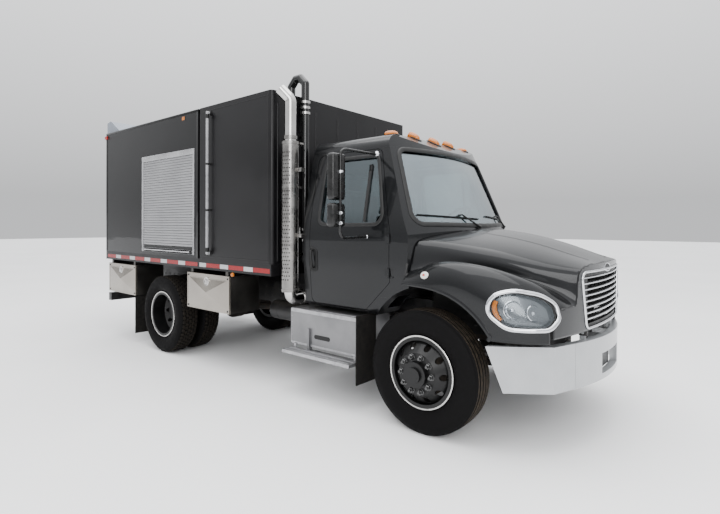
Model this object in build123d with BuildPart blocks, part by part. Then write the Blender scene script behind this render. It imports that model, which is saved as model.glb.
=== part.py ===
"""Sewer jetter truck: a two-axle conventional cab truck with a water tank and an enclosed jetter body.

Millimetres. +X points forward, +Y to the left of the truck, +Z up. The origin is on the ground under
the middle of the overall length. Places named "ahead" are measured forward from the front axle.
"""

import os
from math import atan2, cos, degrees, hypot, pi, radians, sin, sqrt

from build123d import *

os.makedirs("parts", exist_ok=True)

# Overall
WHEELBASE = 4064.0
FRONT_OVERHANG = 1180.0
REAR_OVERHANG = 1836.0
HALF_LENGTH = (WHEELBASE + FRONT_OVERHANG + REAR_OVERHANG) / 2
FRONT_AXLE_X = HALF_LENGTH - FRONT_OVERHANG
REAR_AXLE_X = FRONT_AXLE_X - WHEELBASE
HALF_WIDTH = 1219.0
SEAT_GAP = 0.3
PANEL_GAP = 5.0
OVERRUN = 50.0

# Wheels and tyres
TYRE_RADIUS = 515.0
TYRE_HALF_WIDTH = 137.0
TREAD_HALF_WIDTH = 104.0
SHOULDER_DROP = 18.0
SIDEWALL_RADIUS = 415.0
BEAD_RADIUS = 306.0
BEAD_HALF_WIDTH = 98.0
RIM_FLANGE_RADIUS = 302.0
RIM_BARREL_RADIUS = 272.0
RIM_HALF_WIDTH = 112.0
RIM_THICKNESS = 9.0
DISC_OFFSET = 167.0
DISC_FLAT_RADIUS = 172.0
DISC_THICKNESS = 12.0
DISC_EDGE_OFFSET = 62.0
HAND_HOLE_RADIUS = 27.0
HAND_HOLE_CIRCLE = 222.0
HAND_HOLE_COUNT = 10
NUT_COUNT = 10
NUT_CIRCLE = 142.9
NUT_RADIUS = 19.0
NUT_HEIGHT = 26.0
STUD_RADIUS = 11.0
STUD_HEIGHT = 16.0
FRONT_HUB_RADIUS = 104.0
FRONT_HUB_HEIGHT = 42.0
HUB_CAP_RADIUS = 62.0
HUB_CAP_HEIGHT = 20.0
REAR_HUB_RADIUS = 106.0
REAR_HUB_HEIGHT = 112.0
REAR_CAP_RADIUS = 92.0
REAR_CAP_HEIGHT = 26.0
FRONT_TYRE_Y = 1026.0
REAR_TRACK_Y = 920.0
KINGPIN_Y = 872.0
SPINDLE_RADIUS = 38.0
SPINDLE_CLEARANCE = 0.4
HUB_BORE_DEPTH = 60.0

# Front axle, kingpins and brakes
AXLE_EYE_RADIUS = 44.0
AXLE_EYE_HALF_HEIGHT = 48.0
KINGPIN_RADIUS = 22.0
EYE_CLEARANCE = 0.4
YOKE_EAR_RADIUS = 46.0
YOKE_EAR_THICKNESS = 30.0
YOKE_WEB_IN = 52.0
YOKE_WEB_THICKNESS = 26.0
YOKE_WEB_HALF_WIDTH = 58.0
BRAKE_DRUM_RADIUS = 205.0
BRAKE_DRUM_WIDTH = 110.0
AXLE_BEAM_Z = 415.0
AXLE_BEAM_HEIGHT = 84.0
AXLE_BEAM_WIDTH = 88.0
AXLE_BEAM_FLANGE = 22.0
AXLE_BEAM_WEB = 26.0
AXLE_BEAM_END_Y = 720.0

# Rear axle
HOUSING_RADIUS = 75.0
BANJO_RADIUS = 205.0
BANJO_DEPTH = 250.0
BANJO_NOSE_LENGTH = 260.0
BANJO_NOSE_RADIUS = 95.0
REAR_TUBE_END_Y = 640.0
REAR_DRUM_RADIUS = 205.0
REAR_DRUM_WIDTH = 170.0

# Leaf springs
SPRING_Y = 482.0
SPRING_WIDTH = 75.0
SPRING_PACK = 46.0
FRONT_SPRING_HALF_LENGTH = 660.0
REAR_SPRING_HALF_LENGTH = 680.0
SPRING_RISE = 86.0
HANGER_HALF_LENGTH = 42.0
HANGER_TOP = 850.0
HANGER_BELOW_SPRING = 20.0

# Frame
RAIL_HALF_SPACING = 432.0
RAIL_FLANGE = 78.0
RAIL_WALL = 9.0
RAIL_BOTTOM = 740.0
RAIL_TOP = 1000.0
RAIL_FRONT_AHEAD = 930.0
RAIL_REAR_MARGIN = 190.0
CROSSMEMBER_WIDTH = 90.0
CROSSMEMBER_INSET = 40.0
CROSSMEMBER_SHARES = (0.02, 0.16, 0.35, 0.49, 0.62, 0.988)

# Power train
ENGINE_AHEAD = (40.0, 700.0)
ENGINE_HALF_WIDTH = 300.0
ENGINE_Z = (660.0, 1290.0)
ENGINE_MOUNT_AHEAD = (300.0, 400.0)
ENGINE_MOUNT_Z = (810.0, 890.0)
GEARBOX_LENGTH = 760.0
GEARBOX_HALF_WIDTH = 190.0
GEARBOX_Z = (640.0, 985.0)
SHAFT_RADIUS = 48.0
SHAFT_FRONT_Z = 790.0
RADIATOR_AHEAD = (730.0, 790.0)
RADIATOR_Z = (760.0, 1290.0)

# Cab
CAB_REAR_BEHIND = 1487.0
CAB_BOTTOM = 900.0
CAB_WALL = 55.0
CAB_FLOOR_TOP = 1075.0
CAB_TUNNEL_HALF_WIDTH = 690.0
CAB_TUNNEL_TOP = 1020.0
CAB_MOUNT_BEHIND = (1400.0, 700.0)
CAB_MOUNT_LENGTH = 60.0
CAB_SILL_HALF_WIDTH = 1000.0
CAB_WAIST_HALF_WIDTH = 1040.0
CAB_WAIST_LOW = 1350.0
CAB_WAIST_HIGH = 1720.0
CAB_EAVE_HALF_WIDTH = 868.0
CAB_EAVE_Z = 2590.0
CAB_CROWN_Z = 2650.0
CAB_SILL_RADIUS = 60.0
CAB_SIDE_RADIUS = 1500.0
CAB_EAVE_RADIUS = 150.0
CAB_CROWN_RADIUS = 5000.0
CAB_ROOF_REAR_DROP = 50.0
CAB_ROOF_REAR_RUN = 110.0
CAB_ROOF_FRONT_BEHIND = 640.0
CAB_BROW_DROP = 130.0
CAB_BROW_RUN = 245.0
CAB_BROW_RADIUS = 260.0
CAB_BASE_Z = 1690.0
CAB_FRONT_AHEAD = 20.0
CAB_FRONT_PLAN_RADIUS = 2600.0
SCREEN_RAKE = 335.0
SCREEN_RAKE_HEIGHT = 750.0
WHEEL_ARCH_RADIUS = 700.0
WHEEL_ARCH_AHEAD = 20.0

# Cab openings, as seen from the side or the front
SCREEN_LOW_Z = 1745.0
SCREEN_HIGH_Z = 2440.0
SCREEN_LOW_HALF_WIDTH = 935.0
SCREEN_HIGH_HALF_WIDTH = 800.0
SCREEN_RADIUS = 95.0
REAR_WINDOW_HALF_WIDTH = 620.0
REAR_WINDOW_Z = (1800.0, 2300.0)
REAR_WINDOW_RADIUS = 60.0
GLASS_DEPTH = 22.0
GLASS_THICKNESS = 6.0
ROOF_SPLIT_Z = 2460.0
FOOT_WELL_Z = 955.0
DOOR_REAR_BEHIND = 1395.0
DOOR_FRONT_BEHIND = 398.0
DOOR_FOOT_BEHIND = 690.0
DOOR_HEAD_BEHIND = 585.0
DOOR_BOTTOM = 935.0
DOOR_KINK_Z = 1215.0
DOOR_BELT_Z = 1700.0
DOOR_TOP = 2447.0
DOOR_RADII = (70.0, 60.0, 40.0, 250.0, 70.0, 90.0)
WINDOW_REAR_BEHIND = 1270.0
WINDOW_FRONT_BEHIND = 478.0
WINDOW_HEAD_BEHIND = 624.0
WINDOW_LOW_Z = 1745.0
WINDOW_HIGH_Z = 2375.0
WINDOW_RADII = (70.0, 90.0, 60.0, 70.0)
WINDOW_BAR_BEHIND = 700.0
WINDOW_BAR_WIDTH = 30.0
HINGE_OUT = 3.0
DOOR_HINGE_Z = (1300.0, 1610.0)
HINGE_PIN_RADIUS = 7.0
HINGE_LUG_RADIUS = 13.0
HINGE_LUG_HEIGHT = 50.0
HINGE_LEAF_Z = (27.5, 41.5)
HINGE_NOTCH_RADIUS = 19.0
HINGE_NOTCH_HEIGHT = 94.0
HINGE_REACH = 44.0

# Cab inside
DASH_DEPTH = 420.0
DASH_Z = (1350.0, 1730.0)
DASH_HALF_WIDTH = 880.0
DASH_SIDE_GAP = 20.0
SEAT_Y = 500.0
SEAT_WIDTH = 500.0
SEAT_CUSHION_Z = (1330.0, 1500.0)
SEAT_FRONT_BEHIND = 820.0
SEAT_REAR_BEHIND = 1340.0
SEAT_BACK_TOP = 2150.0
SEAT_BACK_THICKNESS = 130.0
SEAT_BASE_HALF_WIDTH = 180.0
STEERING_WHEEL_RADIUS = 225.0
STEERING_RIM_RADIUS = 15.0
STEERING_TILT = 50.0
STEERING_Z = 1790.0
STEERING_BEHIND = 600.0
STEERING_BOSS_RADIUS = 55.0
STEERING_BOSS_HEIGHT = 40.0
STEERING_SPOKE_WIDTH = 36.0
STEERING_SPOKE_THICKNESS = 14.0
STEERING_COLUMN_RADIUS = 34.0
STEERING_COLUMN_LENGTH = 330.0

MIRROR_BEHIND = 700.0
MIRROR_Y = 1352.0
MIRROR_Z = (1599.0, 2419.0)
MIRROR_RISE = 22.0
MIRROR_TOP_BEHIND = 640.0
MIRROR_TOP_Y = 890.0
MIRROR_FOOT_Y = 1020.0
MIRROR_FOOT_BEHIND = 655.0
MIRROR_TUBE_RADIUS = 13.0
MIRROR_HEAD_DEPTH = 95.0
MIRROR_HEAD_WIDTH = 175.0
MIRROR_HEAD_Z = (1950.0, 2368.0)
MIRROR_CONVEX_Z = (1711.0, 1925.0)

# Hood
HOOD_GAP = 12.0
HOOD_WALL = 16.0
HOOD_SECTIONS_AHEAD = (-420.0, 560.0, 1180.0)
HOOD_SECTION_HALF_WIDTHS = (1010.0, 745.0, 600.0)
HOOD_SHOULDER_Z = (1600.0, 1495.0, 1385.0)
HOOD_TOP_Z = (1690.0, 1565.0, 1440.0)
HOOD_TOP_SHARE = 0.72
HOOD_EDGE_RADIUS = 60.0
HOOD_BOTTOM = 900.0
HOOD_NOSE_AHEAD = 1135.0
HOOD_NOSE_RADIUS = 3500.0
FENDER_PLAN_AHEAD = (-420.0, -200.0, 60.0, 560.0, 1000.0, 1085.0)
FENDER_PLAN_Y = (1045.0, 1045.0, 1172.0, 1172.0, 1010.0, 620.0)
FENDER_PLAN_RADIUS = 160.0
FENDER_SIDE_AHEAD = (-420.0, -200.0, 60.0, 480.0, 800.0, 1040.0, 1090.0)
FENDER_SIDE_Z = (1500.0, 1480.0, 1425.0, 1410.0, 1320.0, 1190.0, 1000.0)
FENDER_LOW_Z = 852.0
FENDER_SIDE_RADIUS = 90.0
FENDER_INNER_Y = 560.0
FENDER_REAR_BOTTOM = 1235.0
HOOD_HINGE_AHEAD = 1072.0
HOOD_HINGE_Z = 890.0
HOOD_PIN_RADIUS = 14.0
HOOD_LUG_MARGIN = 12.0
HOOD_LUG_Y = (442.0, 470.0)
HOOD_ARM_Y = (402.0, 434.0)
HOOD_ARM_BACK = 34.0
HOOD_ARM_LOW_Z = 785.0
LAMP_SIDE_AHEAD = (600.0, 720.0, 1100.0, 1110.0, 880.0)
LAMP_SIDE_Z = (1125.0, 1225.0, 1165.0, 1030.0, 992.0)
LAMP_INNER_Y = 850.0
LAMP_DEPTH = 46.0
LAMP_REVEAL = 3.0
LAMP_RADIUS = 40.0
GRILLE_TOP_HALF_WIDTH = 575.0
GRILLE_BOTTOM_HALF_WIDTH = 485.0
GRILLE_Z = (925.0, 1370.0)
GRILLE_RADIUS = 60.0
GRILLE_BORDER = 36.0
GRILLE_BAR_COUNT = 8
GRILLE_BAR_SHARE = 0.45
GRILLE_THICKNESS = 24.0
GRILLE_SETBACK = 6.0

# Front bumper
BUMPER_TOP = 835.0
BUMPER_BOTTOM = 490.0
BUMPER_THICKNESS = 60.0
BUMPER_CENTRE_HALF_WIDTH = 640.0
BUMPER_SEAM = 6.0
BUMPER_CORNER_BACK = 110.0
BUMPER_NOSE_RADIUS = 1900.0
BUMPER_BEND_HALF_WIDTH = 880.0
BUMPER_BEND_AHEAD = 990.0
BUMPER_END_AHEAD = 588.0
BUMPER_END_HALF_WIDTH = 1180.0
BUMPER_END_RAKE = 105.0
BUMPER_CORNER_RADIUS = 140.0
PLATE_HALF_WIDTH = 250.0
PLATE_Z = (535.0, 700.0)
BUMPER_BRACKET_WIDTH = 60.0
BUMPER_STRAP_THICKNESS = 20.0
BUMPER_STRAP_REACH = 40.0
BUMPER_STRAP_Z = (560.0, 700.0)

# Steps, fuel tank
STEP_BOX_BEHIND = (690.0, 1655.0)
STEP_BOX_Z = (485.0, 862.0)
STEP_BOX_FACE_Y = 1060.0
STEP_BOX_INNER_Y = 620.0
STEP_TREAD_THICKNESS = 28.0
STEP_TREAD_LIP = 24.0
LOWER_STEP_Z = 430.0
LOWER_STEP_OUT_Y = 1215.0
FUEL_TANK_CORNER = 120.0
STEP_BOX_CORNER = 25.0
STEP_HANGER_WIDTH = 60.0
STEP_TREAD_BEHIND = (720.0, 1390.0)
AIR_TANK_BEHIND = (1760.0, 2440.0)
AIR_TANK_RADIUS = 115.0
AIR_TANK_Y = 600.0
AIR_TANK_Z = 700.0

# Deck, tank and body
DECK_TOP = 1310.0
DECK_PLATE = 20.0
DECK_RAIL_HEIGHT = 125.0
DECK_RAIL_WIDTH = 40.0
DECK_BEAM_WIDTH = 60.0
DECK_BEAM_COUNT = 9
SILL_HALF_SPACING = 392.0
SILL_WIDTH = 76.0
BODY_TOP = 3150.0
TANK_FRONT_BEHIND = 1790.0
TANK_REAR_BEHIND = 3165.0
TANK_WALL = 10.0
BODY_REAR_BEHIND = 5775.0
BODY_WALL = 32.0
BODY_POST = 70.0
BULKHEAD_BEHIND = 4720.0
ROLLER_BEHIND = (3262.0, 4600.0)
ROLLER_Z = (1350.0, 2672.0)
ROLLER_DEPTH = 14.0
ROLLER_INSET = 12.0
ROLLER_BAR_HEIGHT = 90.0
REAR_OPENING_HALF_WIDTH = 1000.0
REAR_OPENING_Z = (1370.0, 2900.0)
VISOR_HINGE_BEHIND = 5430.0
VISOR_RISE = 212.0
VISOR_PEAK_BEHIND = 5775.0
VISOR_LIP_DROP = 22.0
VISOR_LIP_HEIGHT = 190.0
VISOR_HALF_WIDTH = 1150.0
VISOR_WALL = 12.0
PUMP_BLOCK_BEHIND = (3450.0, 4450.0)
PUMP_BLOCK_HALF_WIDTH = 600.0
PUMP_BLOCK_HEIGHT = 900.0

# Lamps
ROOF_LAMP_BEHIND = (566.0, 590.0, 611.0)
ROOF_LAMP_Y = (350.0, 706.0)
ROOF_LAMP_LENGTH = 110.0
ROOF_LAMP_WIDTH = 90.0
ROOF_LAMP_TOP = 2645.0
MARKER_BEHIND = (3510.0, 5745.0)
MARKER_Z = 3080.0
MARKER_LENGTH = 70.0
MARKER_HEIGHT = 45.0
MARKER_DEPTH = 22.0
TAIL_LAMP_COUNT = 3
TAIL_LAMP_Y = 1110.0
TAIL_LAMP_Z = 1450.0
TAIL_LAMP_PITCH = 150.0
TAIL_LAMP_RADIUS = 52.0

# Underbody toolboxes
BOX_DEPTH = 430.0
BOX_WALL = 8.0
BOX_TOP = 1130.0
BOX_BOTTOM = 695.0
BOX_HANGER_WIDTH = 50.0
FRONT_BOX_BEHIND = (2527.0, 3410.0)
REAR_BOX_BEHIND = (4800.0, 5665.0)
BOX_DOOR_THICKNESS = 22.0
BOX_DOOR_REVEAL = 0.3

# Behind the wheels
FLAP_THICKNESS = 10.0
REAR_FLAP_BEHIND = 4808.0
REAR_FLAP_Y = (655.0, 1215.0)
REAR_FLAP_BOTTOM = 145.0
FRONT_FLAP_BEHIND = 668.0
FRONT_FLAP_Y = (870.0, 1160.0)
FRONT_FLAP_Z = (262.0, 899.7)
UNDERRIDE_BEHIND = 5700.0
UNDERRIDE_Z = (535.0, 655.0)
UNDERRIDE_DEPTH = 90.0
UNDERRIDE_HALF_WIDTH = 1190.0
UNDERRIDE_LEG_Y = 392.0
UNDERRIDE_LEG_WIDTH = 70.0

# Exhaust
STACK_BEHIND = 1640.0
STACK_Y = 1090.0
STACK_RADIUS = 62.0
STACK_WALL = 3.0
STACK_TOP = 3040.0
STACK_BEND_RADIUS = 78.0
STACK_TIP_RUN = 150.0
STACK_TIP_RISE = 110.0
STACK_TIP_DEPTH = 120.0
STACK_LOW_Z = 950.0
SHIELD_RADIUS = 90.0
SHIELD_WALL = 3.0
SHIELD_CLAMP_HEIGHT = 40.0
SHIELD_Z = (1030.0, 2600.0)

# Tank fittings
TANK_CORNER_RADIUS = 40.0
HATCH_RADIUS = 260.0
HATCH_HEIGHT = 60.0
TANK_BRACKET_Z = (1700.0, 2700.0)
TANK_BRACKET_HEIGHT = 50.0
FILL_PIPE_STANDOFF = 62.0
FILL_PIPE_Y = 790.0
FILL_PIPE_RADIUS = 45.0
FILL_PIPE_RISE = 215.0
FILL_PIPE_CHAMFER = 75.0
LEVEL_TUBE_BEHIND = 2910.0
LEVEL_TUBE_STANDOFF = 42.0
LEVEL_TUBE_RADIUS = 17.0
LEVEL_TUBE_Z = (1385.0, 3060.0)

# Hose reel
REEL_BEHIND = 5290.0
REEL_Z = 2030.0
REEL_HALF_WIDTH = 480.0
REEL_FLANGE_RADIUS = 430.0
REEL_FLANGE_THICKNESS = 12.0
REEL_DRUM_RADIUS = 160.0
REEL_SHAFT_RADIUS = 35.0
REEL_SHAFT_END_Y = 560.0
REEL_STAND_Y = (500.0, 560.0)
REEL_BORE_CLEARANCE = 0.4
REEL_POST_HALF = 70.0
HOSE_RADIUS = 16.0
HOSE_LAYERS_RADIUS = 360.0


def ahead(distance):
    """Turns a distance forward from the front axle into a place along X."""
    return FRONT_AXLE_X + distance


def behind(distance):
    return FRONT_AXLE_X - distance


def block(x, y, z, mode=Mode.ADD):
    """Adds the box between two opposite corners to the part in hand, whichever way round they come."""
    centre = ((x[0] + x[1]) / 2, (y[0] + y[1]) / 2, (z[0] + z[1]) / 2)
    with Locations(centre):
        Box(abs(x[1] - x[0]), abs(y[1] - y[0]), abs(z[1] - z[0]), mode=mode)


def save(built, name):
    built.part.label = name
    export_step(built.part, f"parts/{name}.step")


def tube(points, radius):
    """Adds round bar along a chain of points to the part in hand, with a ball at each bend."""
    for start, end in zip(points[:-1], points[1:]):
        line = Vector(end) - Vector(start)
        with Locations(Plane(origin=start, z_dir=line).location):
            Cylinder(radius, line.length, align=(Align.CENTER, Align.CENTER, Align.MIN))
    for place in points[1:-1]:
        with Locations(place):
            Sphere(radius + SEAT_GAP)


def both_sides(side_value):
    return [(side, side * side_value) for side in (-1, 1)]


# Frame: two C channels open towards each other, with channels across between their webs
rail_front_x = ahead(RAIL_FRONT_AHEAD)
body_rear_x = behind(BODY_REAR_BEHIND)
rail_rear_x = body_rear_x + RAIL_REAR_MARGIN
rail_length = rail_front_x - rail_rear_x
with BuildPart() as frame_rails:
    for side in (-1, 1):
        outer = side * RAIL_HALF_SPACING
        inner = side * (RAIL_HALF_SPACING - RAIL_FLANGE)
        web = side * (RAIL_HALF_SPACING - RAIL_WALL)
        with BuildSketch(Plane.YZ.offset(rail_rear_x)):
            with BuildLine():
                Polyline(
                    (inner, RAIL_BOTTOM), (outer, RAIL_BOTTOM), (outer, RAIL_TOP), (inner, RAIL_TOP),
                    (inner, RAIL_TOP - RAIL_WALL), (web, RAIL_TOP - RAIL_WALL),
                    (web, RAIL_BOTTOM + RAIL_WALL), (inner, RAIL_BOTTOM + RAIL_WALL), close=True,
                )
            make_face()
        extrude(amount=rail_length)
    for share in CROSSMEMBER_SHARES:
        x = rail_rear_x + share * rail_length
        low_x, high_x = x - CROSSMEMBER_WIDTH / 2, x + CROSSMEMBER_WIDTH / 2
        web_y = RAIL_HALF_SPACING - RAIL_WALL
        cross_z = (RAIL_BOTTOM + CROSSMEMBER_INSET, RAIL_TOP - CROSSMEMBER_INSET)
        block((low_x, low_x + RAIL_WALL), (-web_y, web_y), cross_z)
        for level in (cross_z[0], cross_z[1] - RAIL_WALL):
            block((low_x, high_x), (-web_y, web_y), (level, level + RAIL_WALL))
save(frame_rails, "frame_rails")
engine_x = (ahead(ENGINE_AHEAD[0]), ahead(ENGINE_AHEAD[1]))
gearbox_x = (engine_x[0] - GEARBOX_LENGTH, engine_x[0])

# Front axle: a drop beam of I section between two kingpin eyes, with the spring pads on it
beam_z = (AXLE_BEAM_Z - AXLE_BEAM_HEIGHT / 2, AXLE_BEAM_Z + AXLE_BEAM_HEIGHT / 2)
wheel_z = TYRE_RADIUS
with BuildPart() as front_axle:
    block(
        (FRONT_AXLE_X - AXLE_BEAM_WIDTH / 2, FRONT_AXLE_X + AXLE_BEAM_WIDTH / 2),
        (-AXLE_BEAM_END_Y, AXLE_BEAM_END_Y), beam_z,
    )
    for web_side in (-1, 1):
        face = FRONT_AXLE_X + web_side * AXLE_BEAM_WEB / 2
        edge = FRONT_AXLE_X + web_side * AXLE_BEAM_WIDTH
        block(
            (face, edge), (-AXLE_BEAM_END_Y, AXLE_BEAM_END_Y),
            (beam_z[0] + AXLE_BEAM_FLANGE, beam_z[1] - AXLE_BEAM_FLANGE), Mode.SUBTRACT,
        )
    for side in (-1, 1):
        with BuildSketch(Plane.XZ.offset(-side * AXLE_BEAM_END_Y)):
            with Locations((FRONT_AXLE_X, AXLE_BEAM_Z)):
                Rectangle(AXLE_BEAM_WIDTH, AXLE_BEAM_HEIGHT)
        neck_y = KINGPIN_Y - YOKE_EAR_RADIUS - PANEL_GAP
        with BuildSketch(Plane.XZ.offset(-side * neck_y)):
            with Locations((FRONT_AXLE_X, wheel_z)):
                Rectangle(AXLE_BEAM_WIDTH - AXLE_BEAM_FLANGE, AXLE_EYE_HALF_HEIGHT)
        loft()
        block(
            (FRONT_AXLE_X - AXLE_BEAM_WIDTH / 2 + AXLE_BEAM_FLANGE / 2, FRONT_AXLE_X + AXLE_BEAM_WIDTH / 2 - AXLE_BEAM_FLANGE / 2),
            (side * neck_y, side * KINGPIN_Y), (wheel_z - AXLE_EYE_HALF_HEIGHT / 2, wheel_z + AXLE_EYE_HALF_HEIGHT / 2),
        )
        with Locations((FRONT_AXLE_X, side * KINGPIN_Y, wheel_z)):
            Cylinder(AXLE_EYE_RADIUS, 2 * AXLE_EYE_HALF_HEIGHT)
            Cylinder(KINGPIN_RADIUS + EYE_CLEARANCE, 3 * AXLE_EYE_HALF_HEIGHT, mode=Mode.SUBTRACT)
        block(
            (FRONT_AXLE_X - AXLE_BEAM_WIDTH, FRONT_AXLE_X + AXLE_BEAM_WIDTH),
            (side * (SPRING_Y - SPRING_WIDTH / 2), side * (SPRING_Y + SPRING_WIDTH / 2)),
            (beam_z[1] - AXLE_BEAM_FLANGE, beam_z[1] + AXLE_BEAM_FLANGE),
        )
save(front_axle, "front_axle")
front_pad_z = beam_z[1] + AXLE_BEAM_FLANGE

# Knuckles: a yoke on the kingpin, with the brake drum's back plate and the spindle
web_y = (KINGPIN_Y + YOKE_WEB_IN, KINGPIN_Y + YOKE_WEB_IN + YOKE_WEB_THICKNESS)
hub_back_y = FRONT_TYRE_Y + DISC_OFFSET - DISC_THICKNESS
ear_z = AXLE_EYE_HALF_HEIGHT + EYE_CLEARANCE
drum_y = (web_y[1], web_y[1] + BRAKE_DRUM_WIDTH)
for side, name in ((-1, "right"), (1, "left")):
    with BuildPart() as knuckle:
        with Locations((FRONT_AXLE_X, side * KINGPIN_Y, wheel_z)):
            Cylinder(KINGPIN_RADIUS, 2 * (ear_z + YOKE_EAR_THICKNESS))
        for up in (-1, 1):
            ear = (wheel_z + up * ear_z, wheel_z + up * (ear_z + YOKE_EAR_THICKNESS))
            with Locations((FRONT_AXLE_X, side * KINGPIN_Y, (ear[0] + ear[1]) / 2)):
                Cylinder(YOKE_EAR_RADIUS, YOKE_EAR_THICKNESS)
            block(
                (FRONT_AXLE_X - YOKE_EAR_RADIUS, FRONT_AXLE_X + YOKE_EAR_RADIUS),
                (side * KINGPIN_Y, side * web_y[1]), ear,
            )
        block(
            (FRONT_AXLE_X - YOKE_WEB_HALF_WIDTH, FRONT_AXLE_X + YOKE_WEB_HALF_WIDTH),
            (side * web_y[0], side * web_y[1]),
            (wheel_z - ear_z - YOKE_EAR_THICKNESS, wheel_z + ear_z + YOKE_EAR_THICKNESS),
        )
        with BuildSketch(Plane.XZ.offset(-side * drum_y[0])):
            with Locations((FRONT_AXLE_X, wheel_z)):
                Circle(BRAKE_DRUM_RADIUS)
        extrude(amount=-side * BRAKE_DRUM_WIDTH)
        with BuildSketch(Plane.XZ.offset(-side * drum_y[1])):
            with Locations((FRONT_AXLE_X, wheel_z)):
                Circle(SPINDLE_RADIUS)
        extrude(amount=-side * (hub_back_y + HUB_BORE_DEPTH - EYE_CLEARANCE - drum_y[1]))
    save(knuckle, f"knuckle_{name}")

# Rear axle: housing tube, differential and brake drums
nose_x = REAR_AXLE_X + BANJO_NOSE_LENGTH
with BuildPart() as rear_axle:
    with Locations(Location((REAR_AXLE_X, 0, wheel_z), (90, 0, 0))):
        Cylinder(HOUSING_RADIUS, 2 * REAR_TUBE_END_Y)
        Cylinder(BANJO_RADIUS, BANJO_DEPTH)
    with Locations(Location((REAR_AXLE_X + BANJO_NOSE_LENGTH / 2, 0, wheel_z), (0, 90, 0))):
        Cylinder(BANJO_NOSE_RADIUS, BANJO_NOSE_LENGTH)
    fillet(rear_axle.edges().filter_by(GeomType.CIRCLE).filter_by(lambda e: abs(e.radius - BANJO_RADIUS) < 1), BANJO_DEPTH / 4)
    for side in (-1, 1):
        with BuildSketch(Plane.XZ.offset(-side * REAR_TUBE_END_Y)):
            with Locations((REAR_AXLE_X, wheel_z)):
                Circle(SPINDLE_RADIUS)
        extrude(amount=-side * (REAR_TRACK_Y + HUB_BORE_DEPTH - REAR_TUBE_END_Y))
        block(
            (REAR_AXLE_X - HOUSING_RADIUS, REAR_AXLE_X + HOUSING_RADIUS),
            (side * (SPRING_Y - SPRING_WIDTH / 2), side * (SPRING_Y + SPRING_WIDTH / 2)),
            (wheel_z, wheel_z + HOUSING_RADIUS + RAIL_WALL),
        )
save(rear_axle, "rear_axle")
rear_pad_z = wheel_z + HOUSING_RADIUS + RAIL_WALL


def leaf_spring(axle_x, pad_z, half_length, side):
    """A leaf pack bowed down to its pad, with a hanger at each end bolted to the rail's web."""
    low = pad_z + SEAT_GAP
    near, far = side * (SPRING_Y - SPRING_WIDTH / 2), side * (SPRING_Y + SPRING_WIDTH / 2)
    with BuildSketch(Plane.XZ.offset(-near)) as leaves:
        with BuildLine():
            bottom = ThreePointArc(
                (axle_x - half_length, low + SPRING_RISE), (axle_x, low), (axle_x + half_length, low + SPRING_RISE)
            )
            Line(bottom @ 1, (axle_x + half_length, low + SPRING_RISE + SPRING_PACK / 2))
            ThreePointArc(
                (axle_x + half_length, low + SPRING_RISE + SPRING_PACK / 2),
                (axle_x, low + SPRING_PACK),
                (axle_x - half_length, low + SPRING_RISE + SPRING_PACK / 2),
            )
            Line((axle_x - half_length, low + SPRING_RISE + SPRING_PACK / 2), bottom @ 0)
        make_face()
    extrude(leaves.sketch, amount=-side * SPRING_WIDTH)
    for end in (-1, 1):
        x = axle_x + end * half_length
        block(
            (x - HANGER_HALF_LENGTH, x + HANGER_HALF_LENGTH),
            (side * (RAIL_HALF_SPACING + SEAT_GAP), far),
            (low + SPRING_RISE - HANGER_BELOW_SPRING, HANGER_TOP),
        )


with BuildPart() as leaf_springs:
    for side in (-1, 1):
        leaf_spring(FRONT_AXLE_X, front_pad_z, FRONT_SPRING_HALF_LENGTH, side)
        leaf_spring(REAR_AXLE_X, rear_pad_z, REAR_SPRING_HALF_LENGTH, side)
save(leaf_springs, "leaf_springs")

# Engine and gearbox as plain masses, with the propeller shaft
shaft_start = Vector(gearbox_x[0], 0, SHAFT_FRONT_Z)
shaft_end = Vector(nose_x + SHAFT_RADIUS / 4, 0, wheel_z)
shaft_plane = Plane(origin=shaft_start, z_dir=shaft_end - shaft_start)
with BuildPart() as power_train:
    block(engine_x, (-ENGINE_HALF_WIDTH, ENGINE_HALF_WIDTH), ENGINE_Z)
    block(gearbox_x, (-GEARBOX_HALF_WIDTH, GEARBOX_HALF_WIDTH), GEARBOX_Z)
    for side in (-1, 1):
        block(
            (ahead(ENGINE_MOUNT_AHEAD[0]), ahead(ENGINE_MOUNT_AHEAD[1])),
            (0, side * (RAIL_HALF_SPACING - RAIL_WALL - SEAT_GAP)), ENGINE_MOUNT_Z,
        )
    with Locations(shaft_plane.location):
        Cylinder(SHAFT_RADIUS, (shaft_end - shaft_start).length, align=(Align.CENTER, Align.CENTER, Align.MIN))
save(power_train, "power_train")

rail_inner_y = RAIL_HALF_SPACING - RAIL_FLANGE
with BuildPart() as radiator:
    block(
        (ahead(RADIATOR_AHEAD[0]), ahead(RADIATOR_AHEAD[1])),
        (-rail_inner_y + SEAT_GAP, rail_inner_y - SEAT_GAP), RADIATOR_Z,
    )
save(radiator, "radiator")

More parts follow.
